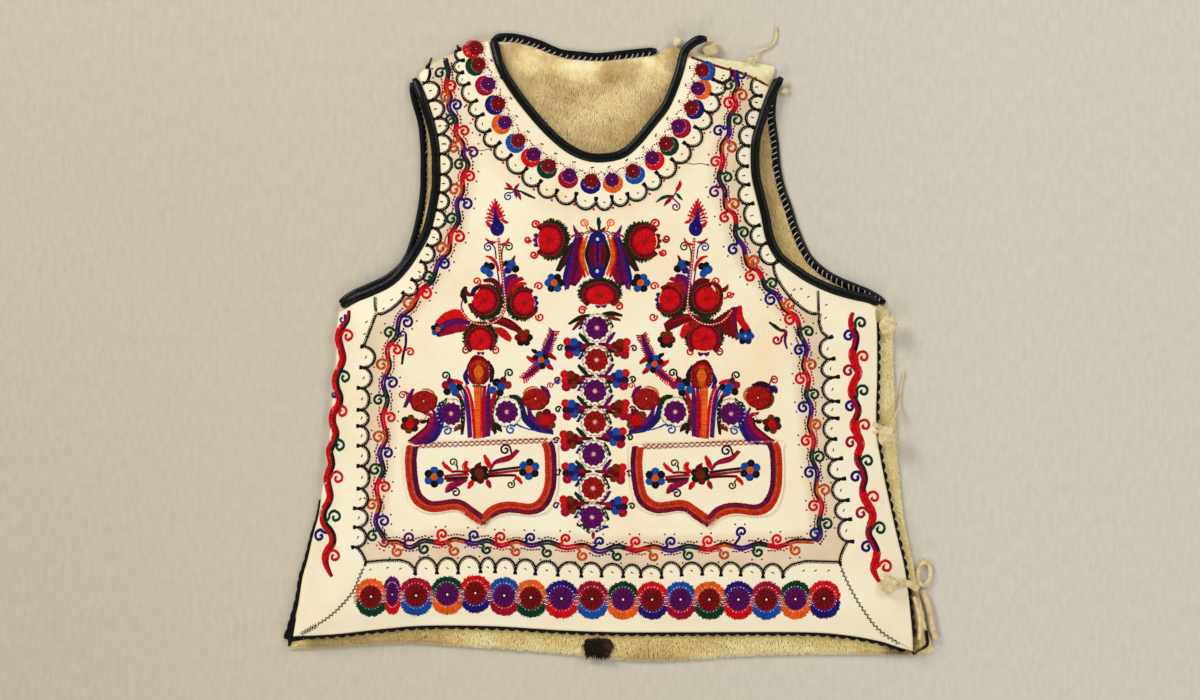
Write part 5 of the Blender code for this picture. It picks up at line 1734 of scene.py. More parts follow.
class Needle:
    """Gathers stitches on the cutting grid, each from one hole to another.

    Sizes are in grid squares, lifts in layers of yarn. Angles are in degrees,
    0 to the right and 90 towards the neck. While `flip` is set, all is mirrored
    about that u; then all is moved by `shift`.
    """

    def __init__(self):
        self.rows = []
        self.flip = None
        self.shift = (0, 0)

    def lay(self, starts, ends, dye, width=0.95, lift=0):
        """Stitches from each start to its end, as they come."""
        starts, ends = (np.array(p, float).reshape(-1, 2) for p in (starts, ends))
        count = len(starts)
        if self.flip is not None:
            starts[:, 0] = 2 * self.flip - starts[:, 0]
            ends[:, 0] = 2 * self.flip - ends[:, 0]
        rest = np.tile((width, DYES.index(dye), lift), (count, 1))
        self.rows.append(np.hstack((starts + self.shift, ends + self.shift, rest)))

    def satin(self, path, widths, dye, lean=0, pitch=0.78, rag=0.3, lift=0):
        """Stitches side by side across a path."""
        curve = catmull(path, 10)
        count = max(2, round(length_of(curve) / pitch))
        shares = np.linspace(0, 1, count + 1)
        points = at_lengths(curve, shares)
        side = left_normals(points)
        along = np.column_stack((side[:, 1], -side[:, 0]))
        wide = np.interp(shares, np.linspace(0, 1, len(widths)), widths)
        reach = wide[:, None] / 2 + RNG.uniform(-rag, rag, (count + 1, 2)) / 2
        self.lay(points - side * reach[:, :1] - along * lean / 2,
                 points + side * reach[:, 1:] + along * lean / 2, dye, FILLING, lift)

    def line(self, path, dye, width=1.3, step=2.6, lift=0, smooth=True):
        """A row of stem stitches."""
        curve = catmull(path, 8) if smooth else np.asarray(path, float)
        count = max(1, round(length_of(curve) / step))
        points = at_lengths(curve, np.linspace(0, 1, count + 1))
        along = points[1:] - points[:-1]
        side = np.column_stack((-along[:, 1], along[:, 0])) * SLANT
        self.lay(points[:-1] - along * LAP - side, points[1:] + along * LAP + side, dye,
                 width * STEM_FULL, lift)

    def dashes(self, path, dye, length=2.2, gap=1.6, width=0.9, lift=0):
        """Running stitches with gaps between them."""
        curve = catmull(path, 8)
        total = length_of(curve)
        starts = np.arange(gap / 2, max(total - length, gap), length + gap)
        self.lay(at_lengths(curve, starts / total), at_lengths(curve, (starts + length) / total),
                 dye, width, lift)

    def ring(self, centre, inner, outer, dye, start=0, end=360, squash=(1, 1), taper=False,
             lobes=0, cut=0.5, rag=0.25, pitch=0.85, lift=0):
        """Radial stitches between two radii, tapered to its ends or cut into lobes."""
        sweep = math.radians(abs(end - start)) * outer * (squash[0] + squash[1]) / 2
        count = max(3, round(sweep / pitch))
        share = (np.arange(count) + 0.5) / count
        angle = np.radians(start + (end - start) * share)
        out = np.column_stack((np.cos(angle) * squash[0], -np.sin(angle) * squash[1]))
        reach = np.full(count, float(outer - inner))
        if taper:
            reach *= np.sin(math.pi * share) ** 0.55
        if lobes:
            reach *= 1 - cut + cut * np.abs(np.sin(math.pi * share * lobes))
        reach += RNG.uniform(-rag, rag, count)
        self.lay(centre + out * inner, centre + out * (inner + reach)[:, None], dye, FILLING,
                 lift)

    def disc(self, centre, radius, dye, lift=0, squash=(1, 1)):
        """A round knot: long stitches all round, shorter ones on its middle."""
        centre = np.asarray(centre, float)
        self.ring(centre, radius * 0.36, radius, dye, squash=squash, lift=lift)
        self.ring(centre, radius * 0.04, radius * 0.52, dye, squash=squash, lift=lift + 1,
                  pitch=1.0)

    def discs(self, *rows):
        """Round knots from rows of u, v, radius, dye and maybe lift."""
        for u, v, *rest in rows:
            self.disc((u, v), *rest)

    def petal(self, start, end, width, dye, bow=0, tip=0.25):
        """A leaf from its stalk to its point, bowed to one side."""
        start, end = np.array(start, float), np.array(end, float)
        along = end - start
        middle = (start + end) / 2 + np.array((-along[1], along[0])) * bow
        self.satin((start, middle, end), (width * tip, width * 0.9, width, width * 0.75,
                                          width * tip), dye, 1.2)

    def petals(self, *rows):
        """Leaves from rows of u, v, end u, end v, width, dye and maybe bow and tip."""
        for u, v, end_u, end_v, *rest in rows:
            self.petal((u, v), (end_u, end_v), *rest)

    def curl(self, centre, radius, start, dye, width=1.25, spin=1, turns=1.15, tail=None):
        """A spiral that winds inwards from its start angle, led in by a tail."""
        share = np.linspace(0, 1, 15)
        angle = np.radians(start + spin * 360 * turns * share)
        reach = radius * (1 - 0.70 * share**1.25)
        path = np.column_stack((np.cos(angle), -np.sin(angle))) * reach[:, None] + centre
        if tail is not None:
            path = np.vstack((np.atleast_2d(np.array(tail, float)), path))
        self.line(path, dye, width, 1.9)
        self.lay(path[-1:] - 0.5, path[-1:] + 0.5, dye, width * 1.7, 1)

    def flower(self, centre, radius, dyes, core, start=90, count=6, core_size=0.36):
        """A round flower of short petals round a knot of another colour."""
        for i in range(count):
            out = ray_at(start + 360 * i / count)
            self.disc(centre + out * radius * 0.62, radius * 2.35 / count, dyes[i % len(dyes)],
                      lift=i % 2)
        self.disc(centre, radius * core_size, core, lift=4)

    def fringe(self, path, reach, dye, lean, pitch, width):
        """Bristles on both sides of a spine."""
        curve = catmull(path, 8)
        count = max(2, round(length_of(curve) / pitch))
        points = at_lengths(curve, np.linspace(0, 1, count + 1))
        side = left_normals(points)
        along = np.column_stack((side[:, 1], -side[:, 0]))
        for way in (1, -1):
            size = reach * RNG.uniform(0.8, 1.15, (count + 1, 1))
            self.lay(points, points + side * size * way + along * lean, dye, width)


ABOVE_ALL = 0.1


def ground_under(objects):
    """The height of whatever lies on top of the vest at some plan points."""
    trees = []
    for obj in objects:
        mesh = obj.data
        trees.append(BVHTree.FromPolygons([v.co for v in mesh.vertices],
                                          [p.vertices for p in mesh.polygons]))

    def height(points):
        top = np.zeros(len(points))
        for i, (x, y) in enumerate(points.tolist()):
            for tree in trees:
                hit = tree.ray_cast((x, y, ABOVE_ALL), (0, 0, -1))[0]
                if hit is not None and hit[2] > top[i]:
                    top[i] = hit[2]
        return top
    return height


# How high a stitch stands over what lies under it, how much more a long one does,
# how far its ends go down, and how far in from them it is at its full height.
YARN, LONG_YARN, LONG_STITCH, YARN_UNEVEN = 0.00030, 0.00010, 0.006, 0.00008
SUNK = 0.00015
SHOULDER = 0.16
# Shorter stitches are left out. One that runs off the vest's edge drops this far.
SHORTEST = 0.0002
OVER_EDGE = 0.0014


def sew(name, needle, looks, height):
    """All a needle's stitches as one piece: each a small ridge of yarn."""
    rows = np.vstack(needle.rows)
    starts, ends = plan(rows[:, :2]), plan(rows[:, 2:4])
    along = ends - starts
    size = np.linalg.norm(along, axis=1)
    keep = size > SHORTEST
    rows, starts, ends, along, size = (a[keep] for a in (rows, starts, ends, along, size))
    count = len(rows)
    side = np.column_stack((-along[:, 1], along[:, 0])) / size[:, None]
    half = (rows[:, 4] * GRID / 2)[:, None]
    lift = rows[:, 6] * LAYER
    low, early, crest, late, high = (height(starts + along * t) for t in (0, 0.25, 0.5, 0.75, 1))
    low, high = (np.where(a > 0, a, b - OVER_EDGE) for a, b in ((low, high), (high, low)))
    rise = YARN + LONG_YARN * np.minimum(size / LONG_STITCH, 1) + lift
    rise += RNG.uniform(0, YARN_UNEVEN, count)
    inner_a, inner_b = starts + along * SHOULDER, ends - along * SHOULDER
    a_top = np.maximum(np.maximum(low, early), (low + crest) / 2) + rise
    b_top = np.maximum(np.maximum(high, late), (high + crest) / 2) + rise
    corners = np.stack((
        np.column_stack((starts - side * half, low - SUNK)),
        np.column_stack((starts + side * half, low - SUNK)),
        np.column_stack((ends + side * half, high - SUNK)),
        np.column_stack((ends - side * half, high - SUNK)),
        np.column_stack((inner_a, a_top)),
        np.column_stack((inner_b, b_top)),
    ), axis=1).reshape(-1, 3)
    first = np.arange(count)[:, None] * 6
    pieces = [(first + face).tolist() for face in
              ((0, 3, 5, 4), (1, 4, 5, 2), (0, 4, 1), (2, 5, 3))]
    faces = [face for group in zip(*pieces) for face in group]
    index = np.repeat(rows[:, 5].astype(int), 4)
    dye = np.repeat(RNG.uniform(0, 1, count), 6)
    return add_piece(name, corners, faces, [looks["thread_" + dye_name] for dye_name in DYES],
                     index=index, values={"dye": dye})


# ---------------------------------------------------------------- flowers
def rose(n, centre, radius, facing, squash=(1, 1)):
    """A red rose inside a fringed dark crescent, open where it faces."""
    shape = {"squash": squash}
    n.ring(centre, radius * 1.30, radius * 1.86, "moss", facing + 60, facing + 300, taper=True,
           rag=1.5, **shape)
    n.ring(centre, radius * 1.30, radius * 1.80, "leaf", facing + 64, facing + 296, taper=True,
           rag=1.5, pitch=1.6, lift=1, **shape)
    n.ring(centre, radius * 1.02, radius * 1.48, "dark_red", facing + 42, facing + 318,
           lift=1.5, **shape)
    turns = np.radians(np.linspace(facing + 50, facing + 310, 40))
    loop = np.column_stack((np.cos(turns) * squash[0], -np.sin(turns) * squash[1]))
    n.dashes(centre + loop * radius * 1.30, "rust", 1.8, 1.3, 1.2, 4)
    n.ring(centre, radius * 0.92, radius * 1.07, "crimson", facing + 30, facing + 330,
           lift=2, **shape)
    n.disc(centre, radius * 0.98, "red", 2, **shape)
    n.ring(centre, 0.2, radius * 0.34, "crimson", lift=4, pitch=1.1, **shape)
    n.ring(centre, 0.1, radius * 0.18, "brick", lift=5, pitch=1.1, **shape)


def rosette(n, centre, radius, dye, edge=2.3):
    """A toothed wheel with a white heart and white stitches round it, with wide ones over a grey
    ring of painted shade.
    """
    spokes, rim_stitches = 12, 20
    centre = np.asarray(centre, float)
    shade = "night" if dye == "purple" else "ember"
    # The grey ring is painted shade between the white rim stitches.
    if edge > 1.5:
        n.ring(centre, radius * 1.06, radius * 1.18, "shade_grey", rag=0.4, pitch=0.9)
    n.ring(centre, radius * 0.08, radius * 1.02, dye, lobes=spokes, cut=0.20, rag=0.3)
    turn = np.radians(np.arange(spokes) * 360 / spokes)
    rays = np.column_stack((np.cos(turn), -np.sin(turn))) * radius
    n.lay(centre + rays * 0.32, centre + rays * 0.90, shade, 1.7, 3)
    n.ring(centre, 0.1, radius * 0.22, "pink", pitch=1.1, lift=4)
    n.ring(centre, 0.1, radius * 0.15, "cream", pitch=1.1, lift=5)
    for i in range(rim_stitches):
        out = ray_at(360 * (i + 0.5) / rim_stitches)
        n.lay(centre + out * radius * 1.05, centre + out * radius * 1.22, "cream", edge, 5)


def side_flower(n, centre, way, main):
    """A cluster of round petals that leans away from the middle column."""
    u, v = centre
    shade, tip = ("navy", "night") if main == "blue" else ("dark_red", "red")
    n.petal((u + 15.5 * way, v - 1.5), (u + 4 * way, v - 1.5), 5.6, "crimson", tip=0.5)
    n.petal((u + 14.5 * way, v + 2), (u + 5 * way, v + 3.5), 4.6, "ember", tip=0.5)
    # Columns: u away from the column, v, radius, dye and lift of each petal.
    for off, down, radius, dye, lift in (
        (-5.4, -5.8, 4.4, "red", 0), (-3.6, 6.6, 4.9, "crimson", 0), (3.6, 5.2, 4.0, main, 0),
        (5.8, -2.4, 4.3, shade, 1), (0.8, -5.0, 4.7, main, 2), (-4.6, 0.8, 4.2, tip, 1),
        (0.4, 1.0, 3.3, shade, 3),
    ):
        n.disc((u + off * way, v + down), radius, dye, lift)


def tulip_side(n):
    """One side of the tulip: its leaves from the outside in, and the flower at its foot."""
    n.satin(((573, 243), (567, 256), (558, 271)), (4, 8, 8.5, 5), "leaf", 2)
    n.satin(((572, 246), (566, 258), (559, 269)), (1, 3, 1.5), "dark_red", 1, lift=3)
    n.satin(((577, 235), (571.5, 250), (568.5, 264), (565, 278), (565.5, 290)),
            (2, 4.5, 5.5, 5, 1), "navy", 1)
    n.satin(((579, 236), (574.5, 250), (572.5, 264), (570, 277), (567.5, 289)),
            (2, 5, 6.5, 8, 3), "purple", 1, lift=1)
    n.satin(((581.5, 236), (577.5, 250), (577, 264), (577, 275), (572, 285)),
            (2.4, 5, 8, 13, 8), "plum", 1, lift=2)
    n.satin(((582, 262), (580, 272), (576, 282)), (4, 8, 5), "crimson", 1, lift=2.5)
    n.satin(((583, 238), (579.6, 251), (580.4, 264), (585, 277)), (1.6, 3, 3.4, 3), "red", 1,
            lift=3)
    n.satin(((587.5, 236), (583, 247), (582.4, 261), (588.4, 275)), (1.4, 5.0, 5.2, 5.2, 2),
            "orange", 1, lift=4)
    n.satin(((589.5, 241), (586.8, 255), (590.0, 269)), (3.4, 5.2, 3.4), "leaf", 0.5)
    n.satin(((593.2, 243), (592.2, 255), (593.5, 267)), (4, 7.5, 4), "dark_red", 0.5,
            lift=1)
    n.satin(((590.4, 245), (589.4, 255), (591.2, 265)), (1.4, 2.2, 1.4), "purple", 0.5,
            lift=3)
    n.satin(((595.2, 244), (594.8, 255), (595.4, 266)), (1.4, 2.2, 1.4), "crimson", 0.5,
            lift=3)
    n.line(((571.5, 237), (577, 234.5), (583, 233)), "crimson", 2.0, lift=4)
    n.petals(
        (597, 231, 589.5, 227.5, 4.0, "dark_red", -0.2),
        (582, 236, 573.5, 226, 4.2, "purple", -0.15),
    )
    n.line(((581, 238), (585, 233), (590, 231)), "dark_red", 1.2)
    n.curl((584, 223.5), 4.2, -60, "orange", 1.6, 1, 1.4, ((588, 230),))
    n.flower((554.5, 283), 10.0, ("blue", "blue", "black", "blue", "black", "black"), "orange",
             120)


def tulip_middle(n):
    """The blue pistil of the tulip, its two eyes and the bud on top."""
    n.disc((597.5, 239.5), 8.4, "navy", squash=(1.05, 1))
    n.ring((597.5, 239.5), 0.2, 2.0, "cream", lift=3)
    n.line(((587, 234), (594, 231.3), (602, 231.5), (609, 235.5)), "purple", 1.1, lift=2)
    n.satin(((597.5, 245), (597.5, 265)), (4.6, 4.6), "navy")
    n.disc((597.3, 270.8), 8.6, "navy", squash=(1, 1.05))
    n.ring((597.3, 271.5), 0.2, 2.0, "cream", lift=3)
    n.satin(((599, 231), (599, 225), (598.3, 218)), (2.2, 3.6, 5.2, 3), "green", 0.5)


TULIP_MIRROR = 597.5


def make_centre(n):
    """The tulip between two roses, over a third, below the neck."""
    for flip in (None, TULIP_MIRROR):
        n.flip = flip
        tulip_side(n)
    n.flip = None
    tulip_middle(n)
    rose(n, (549.0, 240.0), 12.0, 180, (0.95, 1.04))
    rose(n, (645.0, 241.8), 12.2, 0, (0.98, 1.02))
    rose(n, (600.0, 295.6), 11.0, 270, (1.22, 0.90))
    # Columns: u, v, size, start angle, spin of the red curls at the roses' open sides.
    for u, v, size, start, spin in (
        (535.5, 225, 4.2, -20, 1), (528, 240, 3.4, -10, -1), (534, 255, 3.9, 20, -1),
        (655.5, 224, 4.6, 200, -1), (666, 239, 3.8, 190, 1), (663, 252.8, 3.6, 160, 1),
        (582.5, 310.5, 4.2, 20, 1), (619, 306.5, 4.2, 170, -1),
    ):
        n.curl((u, v), size, start, "red" if v != 239 else "crimson", 2.2, spin, 1.3)
    n.ring((549, 240.5), 11.2, 16.4, "purple", 150, 210, lobes=3, cut=0.5)
    n.ring((645.5, 241.5), 11.6, 16.2, "dark_red", -34, 34, lobes=3, cut=0.5)
    n.ring((600, 296), 9.8, 13.4, "purple", 300, 250, (1.2, 0.95), lobes=2, cut=0.6)


def left_wing(n):
    """Three bands that end in a small blue flower."""
    n.satin(((467, 318), (457, 314), (447, 317), (438, 323)), (5, 11, 10, 6), "red", 2)
    n.satin(((470, 323), (458, 321), (447, 324.5), (439, 329)), (4, 8, 8, 5), "purple", 2,
            lift=1)
    n.satin(((470, 328), (459, 328), (449, 331), (440, 335)), (4, 10, 9, 5), "crimson", 2)
    n.line(((470, 322), (458, 318.5), (447, 321), (439, 326)), "dark_red", 1.3, lift=3)
    n.flower((438.5, 329.5), 7.4, ("navy", "black", "blue"), "orange", 100)


def right_wing(n):
    """The shorter wing of the right spray, which dips to its flower."""
    n.flip, flip = None, n.flip
    for row, wide in zip(range(7), (5, 5.5, 6, 6.5, 6.5, 6, 5)):
        u = 712 + row * 3.4
        n.satin(((u, 321.5 - row * 2.3), (u + 3, 327 + row * 0.6), (u + 5, 329 + row * 1.7)),
                (wide, wide, wide), "wine" if row % 2 else "dark_red", 1)
    n.satin(((733, 309), (733.6, 320), (734, 334)), (4, 7, 5), "wine", 1, lift=1)
    n.satin(((736, 307.5), (734.6, 317), (735.4, 328)), (2.5, 3.6, 3), "purple", 0.5, lift=3)
    n.satin(((739, 306.5), (740, 319), (747, 329.5)), (5.6, 8, 7), "red", 1, lift=2)
    n.disc((745, 336), 4.2, "blue", lift=4)
    n.flower((745, 336), 9.0, ("navy", "black", "blue", "black", "navy", "blue"), "blue", 60, 6)
    n.disc((745, 336), 1.4, "cream", lift=6)
    n.flip = flip


def left_leaf(n):
    """The dark leaf at the left rose's side."""
    n.petal((472, 296), (465, 287.5), 5.0, "dark_red", -0.2)
    n.satin(((466, 287), (463.5, 294), (466.5, 303)), (4, 7.5, 3.5), "leaf", 0.5)
    n.satin(((472, 296), (475, 289.5), (481, 286)), (5, 5.4, 4), "night", 1)
    n.line(((463, 300), (461.5, 306), (464, 312)), "crimson", 1.6)


def right_leaf(n):
    """The wine red rim, the leaf and the curl at the right rose's side."""
    n.flip, flip = None, n.flip
    n.satin(((711, 282.5), (717, 286.5), (719.5, 294.5), (718, 304), (714, 310)),
            (3, 7, 8, 8, 5), "dark_red", 1)
    n.line(((713, 286), (717.5, 290), (718.5, 297), (717, 304)), "rust", 1.2, lift=3)
    n.petal((720, 291), (727.5, 285), 5.6, "wine", 0.2)
    n.curl((729.5, 294.5), 3.6, 20, "red", 1.9, -1, 1.2, ((724, 299),))
    n.flip = flip


def feathered_bud(n):
    """A blue drop in a fan of red bristles."""
    n.disc((497.5, 228.6), 7.2, "navy", squash=(1.0, 1.1), lift=2)
    n.satin(((495.5, 208), (495.5, 215), (497, 225)), (1.5, 5, 9.5), "navy", 1, lift=3)
    for i, angle in enumerate((172, 158, 143, 128, 112, 97, 84, 70, 56, 42, 28)):
        out = ray_at(angle)
        foot = np.array((496 + (i - 5) * 0.5, 219 - (5 - abs(i - 5)) * 2.4))
        n.lay([foot - out], [foot + out * 8.6], "red", 2.5)
        n.lay([foot - out + (0, 2.5)], [foot + out * 6.8 + (0, 2.5)], "crimson", 2.3)
    n.petals(
        (492, 228, 486, 222, 4.6, "red"), (502, 221, 508.5, 223, 4.0, "red"),
    )


def bud_twigs(n):
    """The curls, small flowers and leaves on the branch between the bud and the roses."""
    n.petals(
        (496.5, 242, 486, 239, 3.8, "crimson", -0.2), (500, 245, 509, 238.5, 4.2, "red", 0.25),
    )
    n.curl((488.5, 247.5), 4.4, 60, "navy", 1.6, 1, 1.2, ((496.5, 259), (495, 248)))
    n.curl((508.8, 247), 4.4, 120, "green", 1.6, -1, 1.2, ((502, 264), (502.5, 250)))
    n.satin(((486, 256.5), (491, 258), (496, 263), (499, 271)), (1.5, 4.2, 3.4, 2.4), "red", 1)
    n.petal((503, 266), (515, 256), 5.0, "dark_red", 0.2)
    n.line(((496.5, 262), (498.5, 276), (500.5, 290)), "purple", 1.6)
    n.line(((503, 262), (503.5, 276), (505, 288)), "crimson", 1.5)
    n.disc((486.0, 269.5), 5.0, "blue", squash=(1.1, 1))
    n.discs(
        (491.5, 266.5, 3.8, "black", 1), (490.0, 274.0, 3.8, "blue", 1),
        (486.8, 264.8, 2.8, "black", 2), (511.0, 265.0, 5.2, "blue", 1),
        (515.5, 269.0, 4.0, "black", 2), (508.0, 270.5, 3.8, "navy", 1),
        (506.5, 263.5, 3.0, "black", 2),
    )
    n.petal((503.5, 284), (504.5, 270), 4.6, "blue", tip=0.5)
    n.satin(((505, 296), (505, 285), (509.5, 278), (517, 275.5)), (4, 8.5, 7, 4), "purple", 1.5)
    n.satin(((509, 297), (509.5, 289), (514, 281.5), (523, 278.5)), (4, 7, 6.5, 4), "crimson",
            1.5, lift=1)
    n.satin(((513, 293), (515, 288), (520, 284.5), (526, 283.5)), (3, 5, 5, 3), "red", 1.5,
            lift=2)
    n.satin(((501, 293), (498, 285), (492, 280.5), (484, 281)), (3, 6, 6, 3.5), "dark_red", 1.5)


def spray_roses(n, lower, grow, outer, inner):
    """The spray's three roses and what grows at their sides."""
    n.shift = outer
    rose(n, (484.0, 300.5), 11.2, 150)
    n.shift = inner
    rose(n, (524.8, 303.0), 10.6, 12)
    n.shift = lower
    rose(n, (480.6, 340.5), 10.6 + grow, 272)
    n.curl((466.5 - grow * 0.6, 350.5 + grow * 1.6), 4.0, 60, "crimson", 1.9, 1, 1.2)
    n.curl((495.5 - grow, 350.5 + grow * 1.6), 4.0, 120, "red", 1.9, -1, 1.2)
    n.ring((481, 341), 11.0 + grow, 14.5 + grow * 1.5, "purple", 252 - 4 * grow, 288 + 4 * grow,
           lobes=2, cut=0.6)
    n.shift = (0, 0)
    n.curl((477, 281.5), 4.0, -60, "red", 1.9, 1, 1.2)
    (left_leaf if n.flip is None else right_leaf)(n)
    n.curl((539, 286.5), 4.2, 200, "red", 2.0, -1, 1.2)
    n.curl((540, 317), 4.2, 160, "red", 2.0, 1, 1.2)
    n.shift = inner
    n.ring((524, 303.5), 11.2, 15.4, "navy", -32, 36, lobes=3, cut=0.6)
    n.shift = (0, 0)


def spray_stem(n):
    """The stem over all the rest, the wing it ends in and the leaves under its bend."""
    stem = ((499, 239), (500.5, 256), (502.5, 274), (504.5, 292), (505.5, 306), (501, 317),
            (491, 323.5), (480, 324.5), (469, 320), (461, 310))
    n.line(stem, "red", 2.6, 3.0, 3)
    n.dashes(stem, "cream", 1.7, 1.2, 2.1, 8)
    (left_wing if n.flip is None else right_wing)(n)
    if n.flip is None:
        n.satin(((490, 322), (501, 321), (511, 325), (521, 331)), (4, 10, 10, 6), "dark_red", 2)
        n.line(((494, 320), (504, 320.5), (514, 325.5)), "crimson", 1.4, lift=3)
        n.satin(((495, 329), (503, 333), (511, 340)), (4, 9.5, 9, 5), "red", 1.5)
    else:
        n.satin(((490, 320), (503, 318), (516, 321), (528, 328)), (4, 9, 13, 10), "dark_red", 2.5)
        n.line(((494, 317), (506, 317), (520, 321)), "crimson", 1.4, lift=3)
        n.satin(((493, 324), (505, 327), (512, 337)), (4, 11, 10, 5), "red", 1.5, lift=1)
    n.shift = (0, 0) if n.flip is None else (-2.8, 2.2)
    n.flower((523.8, 337.5), 9.2, ("brown", "brown", "dark_red", "leaf", "black", "leaf"), "brick",
             60, 6, 0.44)
    n.shift = (0, 0)


def make_spray(n, lower=(0, 0), grow=0, outer=(0, 0), inner=(0, 0)):
    """A tall branch with a feathered bud, small flowers and three roses.

    The three shifts and the lower rose's growth fit it to the photo's right side.
    """
    feathered_bud(n)
    bud_twigs(n)
    spray_roses(n, lower, grow, outer, inner)
    spray_stem(n)


def make_feather(n):
    """A bristled twig that passes behind a small flower."""
    n.fringe(((553.5, 332), (549.5, 343), (545.5, 353)), 5.6, "crimson", -2.6, 2.3, width=2.3)
    n.fringe(((553, 334), (549.5, 343), (546.5, 351)), 4.4, "red", -2.4, 4.2, width=2.0)
    n.satin(((553.5, 331), (549.5, 343), (545, 353)), (2.4, 6.5, 8), "purple", 1, lift=2)
    n.satin(((552.5, 335), (548.5, 344), (544.5, 354)), (1, 3, 3.6), "navy", 1, lift=4)
    n.fringe(((538, 365), (531, 373), (524, 378.5)), 5.2, "red", 2.6, 2.3, width=2.3)
    n.satin(((538, 366), (531, 373), (523, 378.5)), (8, 7, 3), "crimson", 1, lift=1)
    n.satin(((538, 366), (531.5, 372.5), (525, 377)), (4, 4, 2), "navy", 1, lift=3)
    n.petals(
        (545, 352, 556, 359, 6.0, "brick", 0, 0.5), (546, 364, 553, 369, 6.0, "crimson", 0, 0.5),
        (536, 362, 527, 357, 6.0, "red", 0, 0.5), (538, 353, 532, 350, 5.0, "night", 0, 0.5),
    )
    n.flower((541.2, 360), 9.4, ("blue", "night", "blue", "black", "blue", "black"), "orange", 100,
             6, 0.34)


def make_sprigs(n):
    """Small twigs that fill the corners of the field."""
    n.line(((505, 189), (514, 190), (524, 193), (535, 198.5)), "leaf", 2.0)
    n.petals(
        (522, 193, 535, 198.5, 3.0, "green"), (513, 190, 506, 183.5, 4.6, "red"),
        (514, 191, 519, 184, 3.6, "crimson"),
    )
    n.curl((508.5, 197), 4.2, 60, "navy", 1.5, 1, 1.2, ((514, 192),))
    n.petals(
        (515, 190, 517, 198, 4.0, "purple"), (518, 192, 521, 200, 3.8, "crimson"),
        (676, 192, 681, 183, 4.8, "red"), (673, 196, 656, 202.5, 4.0, "green", 0.1),
        (676, 194, 682, 200, 3.6, "green"), (672, 197, 664, 206, 4.6, "crimson"),
    )
    n.curl((675.5, 207), 4.4, 60, "purple", 1.6, -1, 1.2, ((672, 198),))
    n.line(((680, 181), (677, 190), (672, 199)), "dark_red", 1.6)
    n.line(((406.5, 334), (406.5, 344), (404, 355), (402.5, 364)), "night", 2.6)
    n.curl((410.5, 352), 4.4, 160, "red", 2.2, -1, 1.1, ((404, 349.5),))
    n.curl((403, 334.5), 3.4, 0, "navy", 1.8, 1, 0.9, ((407, 340),))
    n.satin(((786.5, 348.5), (784.6, 341), (785.6, 332)), (2, 3.2, 3), "purple", 1)
    n.satin(((785.6, 336), (785, 331.5), (780, 330)), (3, 4.4, 3), "dark_red", 1)
    n.petal((781, 331), (769, 322.5), 4.4, "moss", tip=0.5)
    n.curl((776.5, 340), 4.8, 20, "crimson", 2.4, -1, 1.1, ((784.6, 334),))


# Columns: u, v, dye of the rosettes down the middle.
COLUMN = (
    (597, 328, "purple"), (596.6, 360, "brick"), (595, 391, "purple"), (595, 422, "brick"),
    (593.5, 454, "purple"), (593, 488, "brick"), (592, 517, "purple"),
)
COLUMN_RADIUS = 12.3
# Columns: start and end from the middle between two rosettes, width, dye of each leaf there.
COLUMN_LEAVES = (
    ((-8.5, -1), (-17.5, -10), 5.6, "moss"), ((-9.5, 5), (-17.5, 15), 4.8, "navy"),
    ((10, -1), (17.5, -11.5), 5.0, "purple"), ((9.5, 5), (16, 17), 5.2, "moss"),
    ((-2, 0), (-14, 1), 4.0, "ember"), ((2, 0), (14, 1), 4.0, "plum"),
)
# Columns: u, v of the flowers at the column's left and right, top to bottom.
COLUMN_LEFT = ((573, 347.5), (570, 380), (571, 409), (569, 440), (571, 472), (569, 505))
COLUMN_RIGHT = ((621, 348), (620, 379), (620, 409), (617, 437), (617, 473), (619, 505.5))


def make_column(n):
    """The column of rosettes down the middle, with small flowers beside it."""
    for u, v, dye in COLUMN:
        rosette(n, (u, v), COLUMN_RADIUS, dye)
    for (u, v, _), (u2, v2, _) in zip(COLUMN, COLUMN[1:]):
        middle = np.array(((u + u2) / 2, (v + v2) / 2))
        for start, end, wide, dye in COLUMN_LEAVES:
            n.petal(middle + start, middle + end, wide, dye, tip=0.6)
    for way, flowers in ((1, COLUMN_LEFT), (-1, COLUMN_RIGHT)):
        for i, (u, v) in enumerate(flowers):
            main = "blue" if (i % 2 == 0) == (way == 1) else "brown"
            side_flower(n, (u, v), way, main)
            n.curl((u - 12.6 * way, v + 0.5), 3.4, 90 - 60 * way,
                   "moss" if main == "blue" else "plum", 2.0, way, 1.0)
    n.petals(
        (591, 315, 569, 324, 5.4, "leaf", 0.06, 0.5),
        (587, 318, 573, 330, 4.6, "dark_red", 0.06, 0.5),
        (586, 321, 579.5, 329, 4.0, "navy", 0, 0.5),
        (603, 314, 622, 315.5, 5.6, "leaf", -0.06, 0.5),
        (606, 316, 620, 320, 4.8, "brown", 0, 0.5), (606, 317, 613, 327, 5.0, "leaf", 0, 0.5),
        (590, 532, 577, 524, 5.6, "moss", 0.1, 0.6),
        (596, 531.5, 608, 526, 4.6, "navy", -0.1, 0.6),
        (593, 532, 593.5, 538, 4.4, "crimson", 0, 0.6),
    )


def pomegranate(n, centre):
    """A dark red fruit dotted with orange."""
    n.disc(centre, 11.4, "brick", squash=(1.13, 0.96))
    for reach, count in ((3.0, 6), (6.0, 12), (8.8, 18)):
        for i in range(count):
            angle = math.tau * (i + reach / 7) / count
            spot = np.array(centre) + (math.cos(angle) * reach * 1.13, -math.sin(angle) * reach)
            n.lay(spot - (0.5, 0.4), spot + (0.5, 0.4), "ember" if i % 3 else "rust", 1.4, 4)


